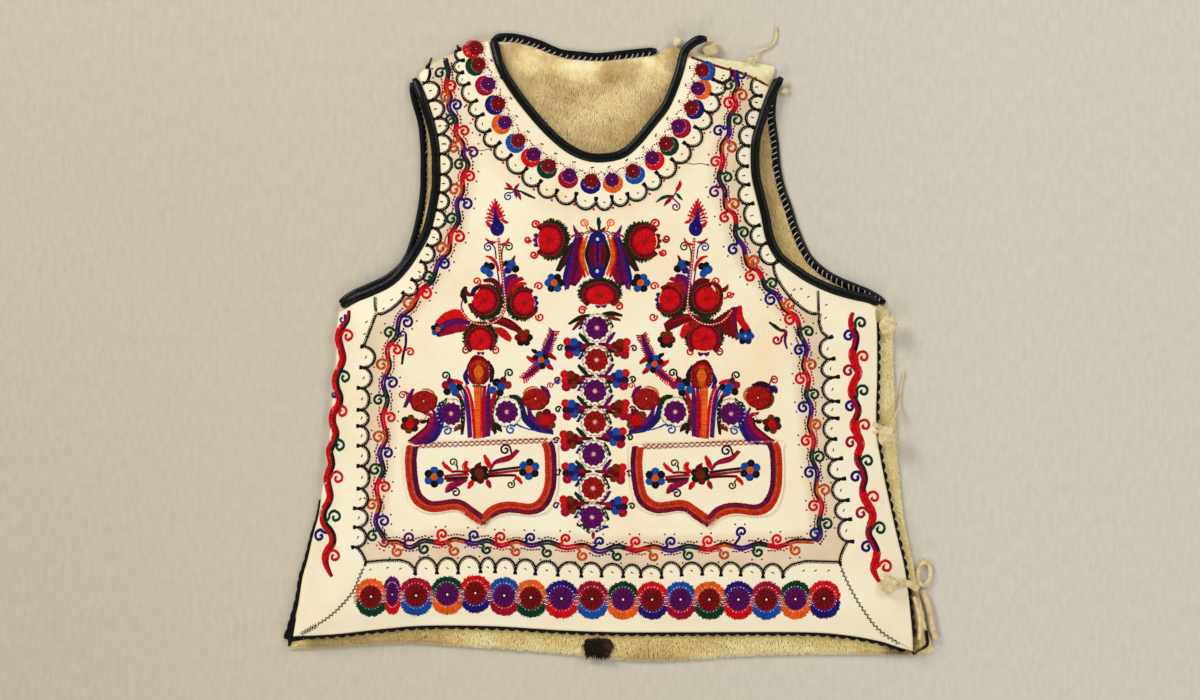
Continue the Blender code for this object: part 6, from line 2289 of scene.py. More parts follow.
def left_fruit(n):
    """The left bouquet's outer pomegranate, its crown at the side."""
    pomegranate(n, (424, 401))
    n.ring((424, 401), 10.4, 13.0, "dark_red", 150, 400, squash=(1.12, 0.95), lobes=5, cut=0.4)
    n.ring((424, 401), 11.2, 13.6, "ochre", 20, 100, squash=(1.1, 1.0), taper=True)
    n.satin(((413.5, 389), (410, 397), (405, 407)), (3, 5.5, 3.5), "purple", 1)
    n.satin(((411, 395), (405, 391.5)), (3, 2), "crimson", 1)
    n.curl((403, 395), 3.8, 20, "crimson", 1.5, 1, 1.2, ((408, 399),))


def right_fruit(n):
    """The right bouquet's outer pomegranate, its crown on top."""
    n.flip, flip = None, n.flip
    pomegranate(n, (757.6, 397.5))
    n.ring((757.6, 397.5), 10.4, 13.2, "dark_red", -100, 150, squash=(1.12, 1.0), lobes=5,
           cut=0.3)
    n.ring((757.6, 397.5), 11.4, 14.4, "ochre", 110, 196, squash=(1.1, 1.0), taper=True)
    n.ring((757.6, 397.5), 12.4, 15.2, "brown", -60, 26, squash=(1.1, 1.0), taper=True)
    n.satin(((752, 385), (760, 383.5), (768, 386), (773, 392)), (2, 5.5, 5, 3), "night", 1,
            lift=2)
    n.satin(((769, 387.5), (774.5, 388), (776, 392.5)), (3, 5, 3), "navy", 1, lift=3)
    n.curl((773.6, 380), 3.8, 120, "crimson", 1.7, -1, 1.2, ((768, 387),))
    n.flip = flip


def bouquet_stems(n):
    """The bundle of bright stems under the bulb."""
    n.satin(((466, 386), (470, 396), (473, 414), (475, 438)), (4, 5.4, 4.4, 3.4), "red", 1)
    n.satin(((462, 386), (466.5, 396), (469, 414), (470.5, 437)), (2, 5.6, 6, 5), "purple", 1)
    n.line(((464.5, 386), (469, 396), (471.5, 414), (473, 437)), "cream", 0.8)
    n.line(((460, 388), (464.3, 398), (467, 416), (468.5, 436)), "blue", 1.3)
    n.satin(((478, 386), (478, 400), (478, 420), (478.5, 438)), (9, 7.4, 6.4, 5.6), "orange", 0.5)
    n.line(((481.4, 388), (481.2, 410), (481.2, 437)), "red", 1.8, lift=1)
    n.satin(((484.8, 386), (484.2, 400), (484.2, 420), (484.2, 437)), (4, 4.6, 4.8, 4.4),
            "crimson", 1)
    n.satin(((489.4, 384), (488.4, 398), (488.6, 418), (488.2, 436)), (3, 5.8, 5.8, 5), "purple",
            1)
    n.satin(((497, 390), (493.6, 400), (492.2, 416), (492, 430)), (4, 6, 3.4, 2), "brick", 1)
    n.petals(
        (484, 386.5, 473, 386, 3.4, "leaf"), (462, 398, 455, 392, 5.0, "crimson", 0, 0.5),
    )


def bouquet_bulb(n):
    """The striped bulb that the stems grow into."""
    n.ring((479, 371), 4.6, 11.4, "wine", squash=(0.96, 1.24), rag=0.5)
    n.ring((479, 371), 6.4, 9.0, "flame", 20, 160, squash=(0.96, 1.24), lift=2)
    n.ring((479, 371), 10.6, 12.4, "dark_red", -70, 250, squash=(1.0, 1.2))
    n.ring((479, 371), 7.4, 9.4, "red", 60, 320, squash=(1.0, 1.2), lift=2)
    n.satin(((470, 362), (475, 357), (484, 357.5)), (2, 4.2, 2), "dark_red", 0.5)
    n.satin(((479, 362), (479, 372), (479, 382)), (5, 11, 7), "orange", 0.5, lift=1.5)
    n.ring((479, 373), 5.0, 6.6, "brown", squash=(1, 1.5), lift=2)
    n.line(((479, 365), (479, 372), (479, 380)), "ochre", 1.5, lift=6)
    n.satin(((468, 368), (465.5, 376), (468, 384)), (2, 5, 4), "navy", 0.5)
    n.satin(((488.5, 361), (492.5, 370), (491.5, 382)), (2, 5, 4), "night", 0.5)


def bouquet_flowers(n):
    """Two rosettes beside the stems, small round flowers and two dark leaves."""
    for u, v in ((451.3, 413.6), (507, 411.8)):
        n.ring((u, v), 14.2, 15.6, "leaf", 20, 340, rag=0.6, pitch=1.6)
        rosette(n, (u, v), 12.0, "purple", edge=1.1)
    n.petal((463, 383), (451, 380), 5.0, "red", tip=0.5)
    n.discs(
        (446, 385, 4.2, "crimson"), (450.5, 381.5, 3.6, "plum", 1), (453, 386.5, 4.4, "blue", 2),
        (447.5, 391.5, 3.8, "black", 1), (459.5, 387, 3.8, "black", 1),
        (455.5, 392, 4.2, "blue", 3),
    )
    n.curl((446, 375.5), 4.4, -70, "moss", 2.0, 1, 1.2, ((452, 383), (450.5, 378)))
    n.discs(
        (497, 382.5, 4.4, "black"), (493, 390, 4.0, "blue", 1), (501.5, 386.5, 4.6, "blue", 2),
        (500, 392.5, 4.0, "black", 1), (508, 385, 4.2, "crimson"),
        (503.5, 380, 3.4, "dark_red", 1),
    )
    n.curl((509.5, 373), 4.4, 220, "moss", 2.0, -1, 1.2, ((503, 381), (505, 376)))
    n.satin(((456, 395), (461, 399), (463.5, 410), (463, 424), (462.5, 434)), (2, 5, 4, 5, 3),
            "leaf", 1.5)
    n.petal((463, 425), (455, 431), 6.5, "brown", 0.1)
    n.satin(((499, 396), (495, 404), (492.5, 414), (493, 426), (496, 433)), (2, 3, 3, 5, 4),
            "leaf", 1.5)
    n.petal((492, 424), (502, 431), 7.0, "leaf", -0.1)


def outer_branch(n):
    """The pomegranate away from the column, and the leaf it hangs on."""
    (left_fruit if n.flip is None else right_fruit)(n)
    n.satin(((411, 442.5), (421, 435), (431, 426), (432, 416), (424, 413)), (2, 6.5, 8, 6, 2.5),
            "crimson", 2)
    n.line(((409, 441), (418, 434), (427, 426), (429, 418)), "ember", 2.0, lift=3)
    n.satin(((414, 444), (426, 439), (434.5, 427), (435, 415), (432, 408)), (3, 8, 8.5, 5, 2),
            "purple", 2, lift=1)
    n.satin(((424, 444), (434, 438), (440.5, 425), (439.5, 412), (441, 402)), (3, 7, 7.5, 6, 4),
            "navy", 2)
    n.petal((438, 406), (447, 398), 5.0, "green", 0.15)
    n.flower((410.3, 424), 9.8, ("brown", "leaf", "dark_red"), "red", 80, 6, 0.46)
    n.petal((419, 421), (428, 420), 5.0, "leaf", 0.1)
    n.line(((420, 421), (425, 419), (428, 413)), "pink", 1.1)
    n.curl((447.4, 430.6), 4.8, 150, "blue", 1.9, -1, 1.2, ((439, 433), (443, 427)))


def inner_branch(n):
    """The pomegranate beside the column, its flower and its leaf."""
    pomegranate(n, (535.7, 398.5))
    n.ring((535.7, 398.5), 10.6, 13.0, "dark_red", -190, 60, squash=(1.12, 0.95), lobes=5, cut=0.4)
    n.ring((535.7, 398.5), 11.2, 13.4, "ochre", 80, 170, squash=(1.1, 1.0), taper=True)
    n.satin(((541, 386.5), (546, 390), (549.5, 398)), (3, 5.5, 4), "purple", 1)
    n.curl((550.5, 385.5), 3.2, 200, "red", 1.3, -1, 1.2, ((545, 389),))
    n.curl((558, 381), 3.0, 200, "blue", 1.2, 1, 1.2, ((553, 385),))
    n.flower((545.6, 420), 11.6, ("dark_red", "brown", "crimson"), "red", 80, 6, 0.50)
    n.satin(((510, 396.5), (518, 398), (522.5, 408), (525, 419), (533, 425)), (4, 6, 6, 6, 3),
            "moss", 2)
    n.satin(((522, 404), (525.5, 418), (536, 427), (553, 432)), (4, 7.5, 8.5, 5), "navy", 2,
            lift=1)
    n.satin(((528, 406), (531, 416), (538, 423), (547, 429)), (3, 6, 7, 4), "purple", 2)
    n.line(((517, 424), (527, 428.5), (540, 431), (551, 433)), "blue", 1.5)
    n.curl((511, 429.5), 5.0, 40, "blue", 1.9, 1, 1.2, ((522, 427), (516, 424)))


def make_bouquet(n, bulb=(0, 0)):
    """The tulip, rosettes and pomegranates that stand over a pocket."""
    bouquet_stems(n)
    n.shift = bulb
    bouquet_bulb(n)
    n.shift = (0, 0)
    bouquet_flowers(n)
    outer_branch(n)
    inner_branch(n)


def pocket_border(n, dyes):
    """Two rows of satin that swap their dyes at the shield's tip, and the chain on top."""
    border = ((-74, -82), (-75.6, -64), (-72.6, -38), (-66, -24.5), (-51, -17.6), (-27, -20),
              (-14, -12.5), (0, -3.2), (12, -13.2), (27, -17.3), (49, -15.2), (62.5, -21.6),
              (70.2, -37.5), (71.8, -56), (70.8, -77), (67.5, -85.5))
    inner = ((-68.6, -81), (-70, -64), (-67.3, -40), (-62, -29), (-50, -22.8), (-26, -25),
             (-12, -17.4), (0, -8.8), (10.5, -18.6), (26, -22.4), (47.5, -20.4), (58, -25.6),
             (64.8, -39), (66.3, -56), (65.3, -77), (62.4, -84.6))
    border, inner = (np.array((0, -46)) + (np.array(rows) - (0, -46)) * size
                     for rows, size in ((border, 0.990), (inner, 0.985)))
    for rows, first, last, wide in ((border, *dyes, 6.2), (inner, *dyes[::-1], 7.0)):
        n.satin(rows[:8], (wide, wide), first, 1.2, rag=0.5)
        n.satin(rows[7:], (wide, wide), last, 1.2, rag=0.5)
    between = (border + inner) / 2
    n.line(between, "rust", 2.2, 3.4, 4)
    n.dashes(between, "orange", 2.8, 2.2, 1.0, 7)
    for rows in ((inner[3:8], border[7:12]) if dyes[0] == "flame" else (border[3:8], inner[7:12])):
        n.satin(rows, (5.2, 5.2), "brick", 0.8, pitch=1.5, rag=0.6, lift=2)
    for first, rows in enumerate((border, inner) if dyes[0] == "flame" else (inner, border)):
        rows = rows[8:] if first else rows[:6]
        n.satin(rows, (2.4, 2.4), "wine", 0.6, pitch=1.9, rag=0.5, lift=2)
    for i in range(24):
        u = -65 + i * 5.4
        v = -81.4 - 5.2 * i / 23
        n.lay([(u, v - 2.5), (u, v + 2.5)], [(u + 5.2, v + 2.2), (u + 5.2, v - 2.8)], "brick",
              1.35, 7)


def pocket_branch(n):
    """A branch across the pocket, with a flower at each end and one in its middle."""
    n.flower((-48.3, -50.3), 10.6, ("blue", "black"), "orange", 90)
    n.flower((46.4, -58), 10.8, ("black", "blue"), "orange", 85)
    n.satin(((-12, -56), (-18, -60), (-16, -66)), (3, 7, 4), "red", 1)
    n.petal((-8, -58), (-2, -65), 5.0, "dark_red")
    n.flower((-3.3, -53.6), 10.2, ("black", "dark_red", "leaf"), "brown", 40, 6, 0.5)
    n.line(((-38, -51), (-26, -52.5), (-14, -53)), "crimson", 2.8)
    n.line(((-38, -48.5), (-26, -49.5), (-15, -50)), "ember", 2.8)
    n.line(((-36, -46.5), (-26, -47), (-16, -48)), "plum", 2.6)
    n.satin(((-40, -65), (-37, -61), (-31, -56.5)), (3, 5, 3), "red", 1)
    n.curl((-29.5, -65), 4.2, -60, "green", 1.7, 1, 1.2, ((-25, -58), (-25.5, -62)))
    n.line(((-31, -55.5), (-24, -56), (-15, -55)), "dark_red", 2.6)
    n.satin(((-16, -48), (-24, -44), (-33, -41), (-36, -35)), (3, 6, 7, 4), "crimson", 1.5)
    n.line(((-17, -46), (-26, -42), (-34, -36)), "purple", 2.0, lift=2)
    n.curl((-27, -35), 4.6, 150, "night", 2.0, -1, 1.2, ((-33, -42), (-31, -37)))
    n.petals(
        (-10, -47, -14, -39, 6.4, "red", 0, 0.5), (4, -47, 8, -40, 6.0, "crimson", 0, 0.5),
    )
    n.line(((6, -56), (20, -58), (37, -60)), "leaf", 2.8)
    n.line(((6, -53.5), (20, -55), (37, -57)), "crimson", 2.8)
    n.line(((6, -51), (20, -52), (33, -52)), "ember", 2.8)
    n.satin(((8, -58), (13, -65), (26, -69), (35, -77)), (2, 5, 6, 4.5), "crimson", 1.5)
    n.line(((8, -59), (14, -67), (27, -71.5)), "purple", 1.7, lift=2)
    n.petal((8, -59), (1.5, -72), 6.4, "red", tip=0.5)
    n.curl((22.5, -77.5), 5.2, 30, "night", 2.2, 1, 1.15, ((30, -71), (28.5, -75)))
    n.satin(((31, -52), (36, -48), (39, -44)), (2, 5, 3), "red", 1)
    n.curl((28, -43), 4.0, 60, "green", 1.7, -1, 1.2, ((33, -50), (31.5, -47)))


def make_pocket_work(n, u0, v0, dyes=("flame", "plum"), slide=0):
    """A two-coloured border round a pocket and a branch across it."""
    n.shift = (u0, v0)
    pocket_border(n, dyes)
    n.shift = (u0 + slide, v0)
    pocket_branch(n)
    n.shift = (0, 0)


# Grid columns about which the motifs of the field are mirrored.
SPRAY_MIRROR, FEATHER_MIRROR, BOUQUET_MIRROR = 596.5, 597.8, 591.0
FEATHER_DROP = 4


def make_field(n):
    """All that stands inside the vine; the right half mirrors the left with its own changes."""
    make_centre(n)
    make_spray(n)
    n.flip = SPRAY_MIRROR
    make_spray(n, (-8.6, -1.0), 1.6, (-2, -2), (0.8, -3.2))
    n.flip = None
    make_feather(n)
    n.flip = FEATHER_MIRROR
    n.shift = (0, FEATHER_DROP)
    make_feather(n)
    n.flip, n.shift = None, (0, 0)
    make_sprigs(n)
    make_column(n)
    make_bouquet(n)
    n.flip = BOUQUET_MIRROR
    make_bouquet(n, (-1.6, 4.5))
    n.flip = None
    (_, *left), (_, *right) = POCKET_TIPS
    make_pocket_work(n, *left)
    make_pocket_work(n, *right, ("plum", "flame"), -4.5)


# ---------------------------------------------------------------- bands
# In grid squares: the buttonhole stitches over the bands' cut edges.
HOLE_LENGTH, HOLE_PITCH, HOLE_RAG = 3.3, 1.0, 0.22
# Round stretches are evened over this many points.
EVENING = 5
# Valley rows with a shallower scallop than this have no dash.
SHALLOW = 6


def buttonhole(n, line):
    """Close black stitches over a band's cut edge."""
    count = round(length_of(line) / HOLE_PITCH)
    points = at_lengths(line, np.linspace(0, 1, count + 1))
    smooth = np.column_stack([evened(column, EVENING) for column in left_normals(points).T])
    reach = HOLE_LENGTH / 2 + RNG.uniform(-HOLE_RAG, HOLE_RAG, (count + 1, 1))
    n.lay(points - smooth * reach, points + smooth * reach, "black", 1.3)


# Columns: valleys, side, length of the stitches in each valley, dash in each scallop.
EDGES = (
    (NECK_HUMPS, 1, 3.2, 2.6), (ARM_LEFT_HUMPS, -1, 2.0, 3.6), (ARM_RIGHT_HUMPS, -1, 2.8, 3.6),
    (SIDE_LEFT_HUMPS, 1, 2.4, 3.4), (SIDE_RIGHT_HUMPS, 1, 3.6, 3.6), (HEM_HUMPS, -1, 2.0, 3.2),
)


# Lone dashes on the bands where no scallop stands.
LONE_DASHES = (
    (371, 569), (388, 567), (401, 568), (803, 570), (815, 570), (828, 570), (392, 300),
    (384, 309), (801, 289), (808, 297), (826, 305), (367, 322), (825, 318), (365, 334),
)


def valley_hooks(n, rows, side, reach):
    """The thick black stitches that run into the band from each valley."""
    for before, row, after in zip(rows, rows[1:], rows[2:]):
        if row[2] == 0 and before[2] == 0:
            continue
        back = -(out_of(before, row, side) + out_of(row, after, side))
        back /= np.linalg.norm(back)
        valley = np.array(row[:2])
        n.satin((valley - back * 0.6, valley + back * reach), (3.2, 4.6, 4.4), "black",
                rag=0.2, lift=1)


def scallop_dashes(n, rows, side, dash):
    """A short dash inside each scallop, along the armholes' and across the others'."""
    for row, after in zip(rows, rows[1:]):
        if row[2] < SHALLOW:
            continue
        out = out_of(row, after, side)
        middle = (np.array(row[:2]) + after[:2]) / 2 + out * row[2] * 0.28
        along = out if rows in (ARM_LEFT_HUMPS, ARM_RIGHT_HUMPS) else (
            np.array((-out[1], out[0])) - out * 0.5)
        along = along / np.linalg.norm(along) * dash / 2
        n.lay(middle - along, middle + along, "black", 1.5)


def make_scallops(n):
    for rows, side, reach, dash in EDGES:
        line = humps(rows, side)
        buttonhole(n, line)
        n.line(line, "black", 2.4, 2.2, 1.2, smooth=False)
        valley_hooks(n, rows, side, reach)
        scallop_dashes(n, rows, side, dash)
    for row, after in zip(NECK_HUMPS[4:-2], NECK_HUMPS[5:-1]):
        spot = np.array(after[:2]) + out_of(row, after, 1) * 9.2
        n.ring(spot, 0.1, 1.3, "red", rag=0.1)
    for u, v in LONE_DASHES:
        n.lay([(u - 1.3, v + 0.8)], [(u + 1.3, v - 0.8)], "black", 1.5)


def zigzag(n, path, width, pitch, thick, crossed=False):
    """A black zigzag seam, or a row of crosses."""
    curve = catmull(path, 8)
    count = max(2, round(length_of(curve) / pitch))
    points = at_lengths(curve, np.linspace(0, 1, 2 * count + 1))
    side = left_normals(points) * width / 2
    ways = np.where(np.arange(2 * count + 1) % 2, 1, -1)[:, None]
    marks = points + side * ways
    n.lay(marks[:-1], marks[1:], "black", thick)
    if crossed:
        other = points - side * ways
        n.lay(other[:-1], other[1:], "black", thick, 2)


def make_joins(n):
    """The seams between the bands, and two thin black lines beside the neck, painted shade for
    creases.
    """
    zigzag(n, ((364, 568), (361, 574), (353, 592), (335, 612), (318, 624)), 3.8, 4.4, thick=0.85)
    zigzag(n, ((317, 625), (301, 634.5)), 5.0, 5.4, thick=0.9, crossed=True)
    zigzag(n, ((841, 568), (843, 574), (852, 592), (863, 610), (879, 630), (899, 644)), 4.0, 4.8,
           thick=0.85)
    zigzag(n, ((375.5, 297), (376, 311)), 3.6, 5.0, thick=0.9, crossed=True)
    zigzag(n, ((817.5, 291), (818, 311)), 3.2, 5.0, thick=0.9, crossed=True)
    # Painted shade: black lines where the hide is creased.
    n.line(((466, 152), (474, 150.4), (482, 151), (491, 149)), "black", 0.7)
    n.line(((685, 163), (693, 164.6), (701, 164), (709, 166)), "black", 0.7)


def wheel(n, centre, radius, dye, squash=(1, 1), spokes=13, heart=0):
    """A disc of dark yarn with darker spokes, a toothed rim and maybe a pale heart."""
    base, shade = ("wine", "ember") if dye == "dark_red" else ("purple", "night")
    n.ring(centre, radius * 0.06, radius, base, squash=squash, rag=0.9, pitch=0.8)
    turn = np.radians(RNG.uniform(0, 360) + np.arange(spokes) * 360 / spokes)
    rays = np.column_stack((np.cos(turn) * squash[0], -np.sin(turn) * squash[1])) * radius
    n.lay(centre + rays * 0.24, centre + rays * 0.92, shade, 0.17 * radius, 3)
    n.ring(centre, radius * 0.10, radius * 0.34, shade, squash=squash, rag=0.3, lift=2)
    if heart:
        n.disc(centre, heart, "pink", lift=4)


NECK_WHEEL = 7.6


def crescent_rosette(n, centre, out, outer, disc):
    """A small wheel of the neck band with a coloured crescent on its outer side."""
    radius = NECK_WHEEL
    away = heading(out)
    n.ring(centre + out * 0.9, radius * 0.80, radius * 1.70, outer, away - 112, away + 112,
           taper=True)
    wheel(n, centre, radius, disc, spokes=10, heart=0.6)
    # The grey ticks between the pink ones are painted shade.
    for i in range(11):
        ray = ray_at(away + 100 + i * 16)
        n.lay(centre + ray * radius * 1.06, centre + ray * radius * 1.30,
              "pink" if i % 2 else "shade_grey", 1.35)
    for i in range(9):
        ray = ray_at(away - 72 + i * 18) * radius * 1.04
        turn = np.array((-ray[1], ray[0])) * 0.08
        n.lay(centre + ray - turn, centre + ray + turn, "cream" if i % 2 else "pink", 0.9, 5)


# Columns: u, v, crescent of the rosettes round the neck.
NECK_ROSETTES = (
    (476, 48, "red"), (479, 65, "green"), (488.5, 84.5, "crimson"), (498.5, 104, "navy"),
    (505, 123, "orange"), (518.5, 141, "blue"), (533.5, 155, "red"), (549, 166, "green"),
    (569.5, 175.5, "crimson"), (591, 181, "navy"), (612, 180, "orange"), (633, 171.5, "blue"),
    (652, 158, "red"), (666, 144, "green"), (678, 126.5, "crimson"), (691, 108, "navy"),
    (698, 89, "orange"), (702, 70.5, "blue"),
)


# The neck's own middle, away from which the crescents point.
NECK_MIDDLE = (598.0, 55.0)


def between_rosettes(n, between, along, out):
    """Pale bars between two neck rosettes and small slanted stitches inside them."""
    for shift in (-2.2, 0, 2.2):
        n.lay(between + out * shift - along * 1.4, between + out * shift + along * 1.4,
              "cream", 0.8)
    inner = between - out * 6.5
    for turn, dye in ((-1.3, "green"), (-0.4, "brown"), (0.5, "crimson"), (1.3, "green")):
        point = inner + along * turn * 3.0 + out * (abs(turn) * 1.8 + RNG.uniform(-1, 1))
        tilt = along + out * RNG.uniform(-0.8, 0.8)
        n.lay(point - tilt, point + tilt, dye, 1.7)


def inner_marks(n, i, centre, along, out):
    """A slanted mark and a row of dashes on a neck rosette's inner side."""
    mark = centre - out * (13.2 + RNG.uniform(-0.6, 0.6))
    n.lay(mark - along * 1.7 + out * 0.6, mark + along * 1.7 - out * 0.6,
          ("brick", "navy", "brown", "green")[i % 4], 1.9)
    n.dashes((centre - out * 10.2 - along * 4, centre - out * 11.2,
              centre - out * 10.2 + along * 4), "pink" if i % 2 else "green", 1.2, 1.3, 1.0)


def make_neck_work(n):
    centres = [np.array(row[:2], float) for row in NECK_ROSETTES]
    for i, (centre, row) in enumerate(zip(centres, NECK_ROSETTES)):
        before, after = centres[max(i - 1, 0)], centres[min(i + 1, len(centres) - 1)]
        along = (after - before) / np.linalg.norm(after - before)
        out = np.array((-along[1], along[0]))
        if out @ (centre - NECK_MIDDLE) < 0:
            out = -out
        disc = "dark_red" if i % 2 or i == 0 else "purple"
        crescent_rosette(n, centre, out, row[2], disc)
        if i:
            between_rosettes(n, (centre + centres[i - 1]) / 2 - out * 1.5, along, out)
            inner_marks(n, i, centre, along, out)


# Columns: u, v, half width of the wheel, upper crescent, lower crescent.
HEM_ROSETTES = (
    (371.5, 596, 10, "orange", "green"), (392.7, 594, 5.6, "purple", "red"),
    (416.5, 595, 10.5, "crimson", "blue"), (447.6, 594, 10.5, "green", "orange"),
    (475.6, 592.5, 10, "red", "navy"), (504.4, 595, 10, "blue", "crimson"),
    (531, 597, 10.3, "orange", "green"), (561.6, 598, 10.8, "navy", "red"),
    (592, 598.4, 10.5, "crimson", "blue"), (623, 599, 10.5, "green", "orange"),
    (652, 599, 10.3, "red", "navy"), (680.4, 599, 10, "blue", "crimson"),
    (709, 599, 10.2, "orange", "green"), (738, 599, 10.2, "navy", "red"),
    (766, 599, 10.2, "crimson", "blue"), (795, 598.5, 10.2, "green", "orange"),
    (823.5, 598, 10.2, "red", "navy"),
)


def pale_rim(n, centre, squash):
    """Slanted pale stitches round a hem wheel."""
    count = 24
    for j in range(count):
        angle = math.tau * (j + 0.3) / count
        ray = np.array((math.cos(angle) * squash[0], -math.sin(angle)))
        turn = np.array((-ray[1], ray[0])) * 0.7
        n.lay(centre + ray * 12.3 - turn, centre + ray * 13.2 + turn,
              "cream" if j % 3 else "pink", 1.25, 6)


def pale_ladder(n, between):
    """A ladder of pale bars between two hem rosettes."""
    for step in (-5, -3, -1, 1, 3, 5):
        tilt = RNG.uniform(-0.8, 0.8)
        n.lay(between + (-2.2, step - tilt), between + (2.2, step + tilt),
              "cream" if step % 4 == 1 else "pink", 1.2, 6)


def make_hem_work(n):
    for i, (u, v, half, upper, lower) in enumerate(HEM_ROSETTES):
        centre, squash = np.array((u, v)), (half / 10.5, 1.0)
        disc = "dark_red" if i % 2 == 0 else "purple"
        wide = (squash[0] * 1.04, 1.0)
        n.ring(centre, 10.6, 18.6, upper, -34, 208, wide, taper=True, rag=0.9)
        n.ring(centre, 10.6, 20.6, lower, 176, 370, wide, taper=True, rag=0.9)
        wheel(n, centre, 12.0, disc, squash)
        pale_rim(n, centre, squash)
        u2, v2, half2 = HEM_ROSETTES[i - 1][:3] if i else (u - 31, v, half)
        pale_ladder(n, np.array(((u + u2) / 2 + (half2 - half) / 2, (v + v2) / 2 + 1)))


# Each dye of the vine's curls, and the darker one that runs beside it.
VINE_SHADES = {
    "navy": "purple", "green": "night", "red": "crimson", "rust": "ember", "purple": "night",
}
# In grid squares: how far the stems sway from the curls, and stand from their middle.
SWAY, STEM_APART = 2.6, 1.35
SWAY_EVENING = 7
# Points a stem is led into its curl from, and how far the colours overlap.
CURL_LEAD, CURL_TAIL, OVERLAP = 6, 9, 3


def step_along(line, at):
    """The way a line runs at one of its points."""
    return line[min(at + 1, len(line) - 1)] - line[max(at - 1, 0)]


def vine_spots(fine, side, curls):
    """Each curl's place along the vine, its side, its middle and its dye, in order."""
    spots = []
    for u, v, dye in curls:
        gap = fine - (u, v)
        near = int(np.argmin((gap**2).sum(axis=1)))
        way = -1 if gap[near] @ side[near] > 0 else 1
        spots.append((near, way, np.array((u, v), float), dye))
    return sorted(spots, key=lambda spot: spot[0])


def vine_dots(n, fine, side, spot, far_dye):
    """Short stitches along the vine across from a curl, and two beyond the curl."""
    near, way, centre, dye = spot
    for step in (-9, -6, -3, 0, 3, 6, 9):
        at = int(np.clip(near + step, 0, len(fine) - 1))
        place = fine[at] - side[at] * way * (6.2 - abs(step) * 0.12 + RNG.uniform(-1, 1))
        turn = step_along(fine, at) + RNG.uniform(-1, 1, 2)
        turn = turn / np.linalg.norm(turn) * 1.25
        n.lay(place - turn, place + turn, VINE_SHADES[dye] if step % 2 else dye, 2.2)
    for step in (-4, 2):
        at = int(np.clip(near + step, 0, len(fine) - 1))
        place = centre + side[at] * way * 7.6 + (fine[at] - fine[near]) * 1.6
        turn = RNG.uniform(-1, 1, 2)
        turn = turn / np.linalg.norm(turn)
        n.lay(place - turn, place + turn, far_dye, 2.1)


def vine(n, rows, curls, size=5.6):
    """Two thin stems that weave between curls, with dots across from each."""
    curve = catmull(rows, 10)
    fine = at_lengths(curve, np.linspace(0, 1, int(length_of(curve))))
    side = left_normals(fine)
    spots = vine_spots(fine, side, curls)
    marks = [0] + [near for near, *_ in spots] + [len(fine) - 1]
    sway = [0] + [-way * SWAY for _, way, *_ in spots] + [0]
    bend = evened(np.interp(np.arange(len(fine)), marks, sway), SWAY_EVENING)
    stem = fine + side * bend[:, None]
    edges = [0] + [(a[0] + b[0]) // 2 for a, b in zip(spots, spots[1:])] + [len(fine) - 1]
    for i, spot in enumerate(spots):
        near, way, centre, dye = spot
        first, last = edges[i], min(edges[i + 1] + OVERLAP, len(fine) - 1)
        if last - first > OVERLAP:
            middle, off = stem[first:last + 1:3], side[first:last + 1:3] * STEM_APART * way
            n.line(middle + off, dye, 2.6, 2.4, smooth=False)
            n.line(middle - off, VINE_SHADES[dye], 2.7, 2.4, smooth=False)
        lead = stem[max(near - CURL_LEAD, 0)] - centre
        along = step_along(fine, near)
        spin = 1 if along[0] * lead[1] - along[1] * lead[0] < 0 else -1
        n.curl(centre, size * RNG.uniform(0.94, 1.08), heading(lead), dye, 2.8, spin, 1.10,
               (stem[max(near - CURL_TAIL, 0)],))
        vine_dots(n, fine, side, spot, ("night", "ember", "green")[i % 3])


# Columns: u, v, dye of the curls along each run of the vine.
CURLS_LEFT = (
    (440.6, 73.8, "green"), (451, 87.5, "red"), (446.5, 97, "rust"), (457, 105.6, "navy"),
    (451.5, 120.3, "green"), (464.7, 131.5, "red"), (455, 147.8, "rust"), (473.3, 153, "purple"),
    (460.3, 165, "green"), (470, 177, "red"), (455.5, 190, "rust"), (467.3, 204.6, "navy"),
    (452.4, 219.3, "green"), (459.7, 237.4, "red"), (442, 248.5, "rust"), (444.6, 264.3, "navy"),
    (428.6, 277.8, "green"), (426.3, 293.5, "red"), (409.2, 304.2, "rust"), (407.5, 322.6, "navy"),
    (390, 332.5, "green"), (397, 350, "red"), (382.6, 365, "rust"),
    (392.5, 383, "navy"), (379.4, 400, "green"), (391, 417.5, "red"), (379.2, 437, "rust"),
    (387.8, 453, "navy"), (375.6, 469.5, "green"), (385, 487, "red"), (372.6, 504.5, "rust"),
    (384, 521, "navy"), (373.6, 536, "green"),
)
CURLS_RIGHT = (
    (740.5, 75, "navy"), (729, 86, "green"), (741, 96, "rust"), (728.6, 104, "red"),
    (736, 120.3, "green"), (718.3, 131.5, "navy"), (730.3, 148, "rust"), (715.4, 162.4, "red"),
    (726.3, 178, "green"), (714.7, 192.6, "purple"), (733.5, 204.6, "rust"),
    (724.4, 218.4, "red"), (742.7, 233, "green"), (733, 250, "navy"), (753.5, 261.4, "rust"),
    (750, 277, "red"), (771.5, 284, "green"), (770.6, 299.5, "navy"), (789.5, 305, "rust"),
    (790, 320, "red"), (807.4, 332, "green"), (798.5, 350, "navy"), (810.6, 365, "rust"),
    (800.3, 379, "red"), (813.4, 394.6, "green"), (803, 407.5, "navy"), (815.5, 425, "rust"),
    (805.7, 441, "red"), (818.2, 457, "green"), (809, 472.5, "navy"), (824, 490, "rust"),
    (813.5, 506, "red"), (826.4, 524, "green"), (814.7, 534, "navy"),
)
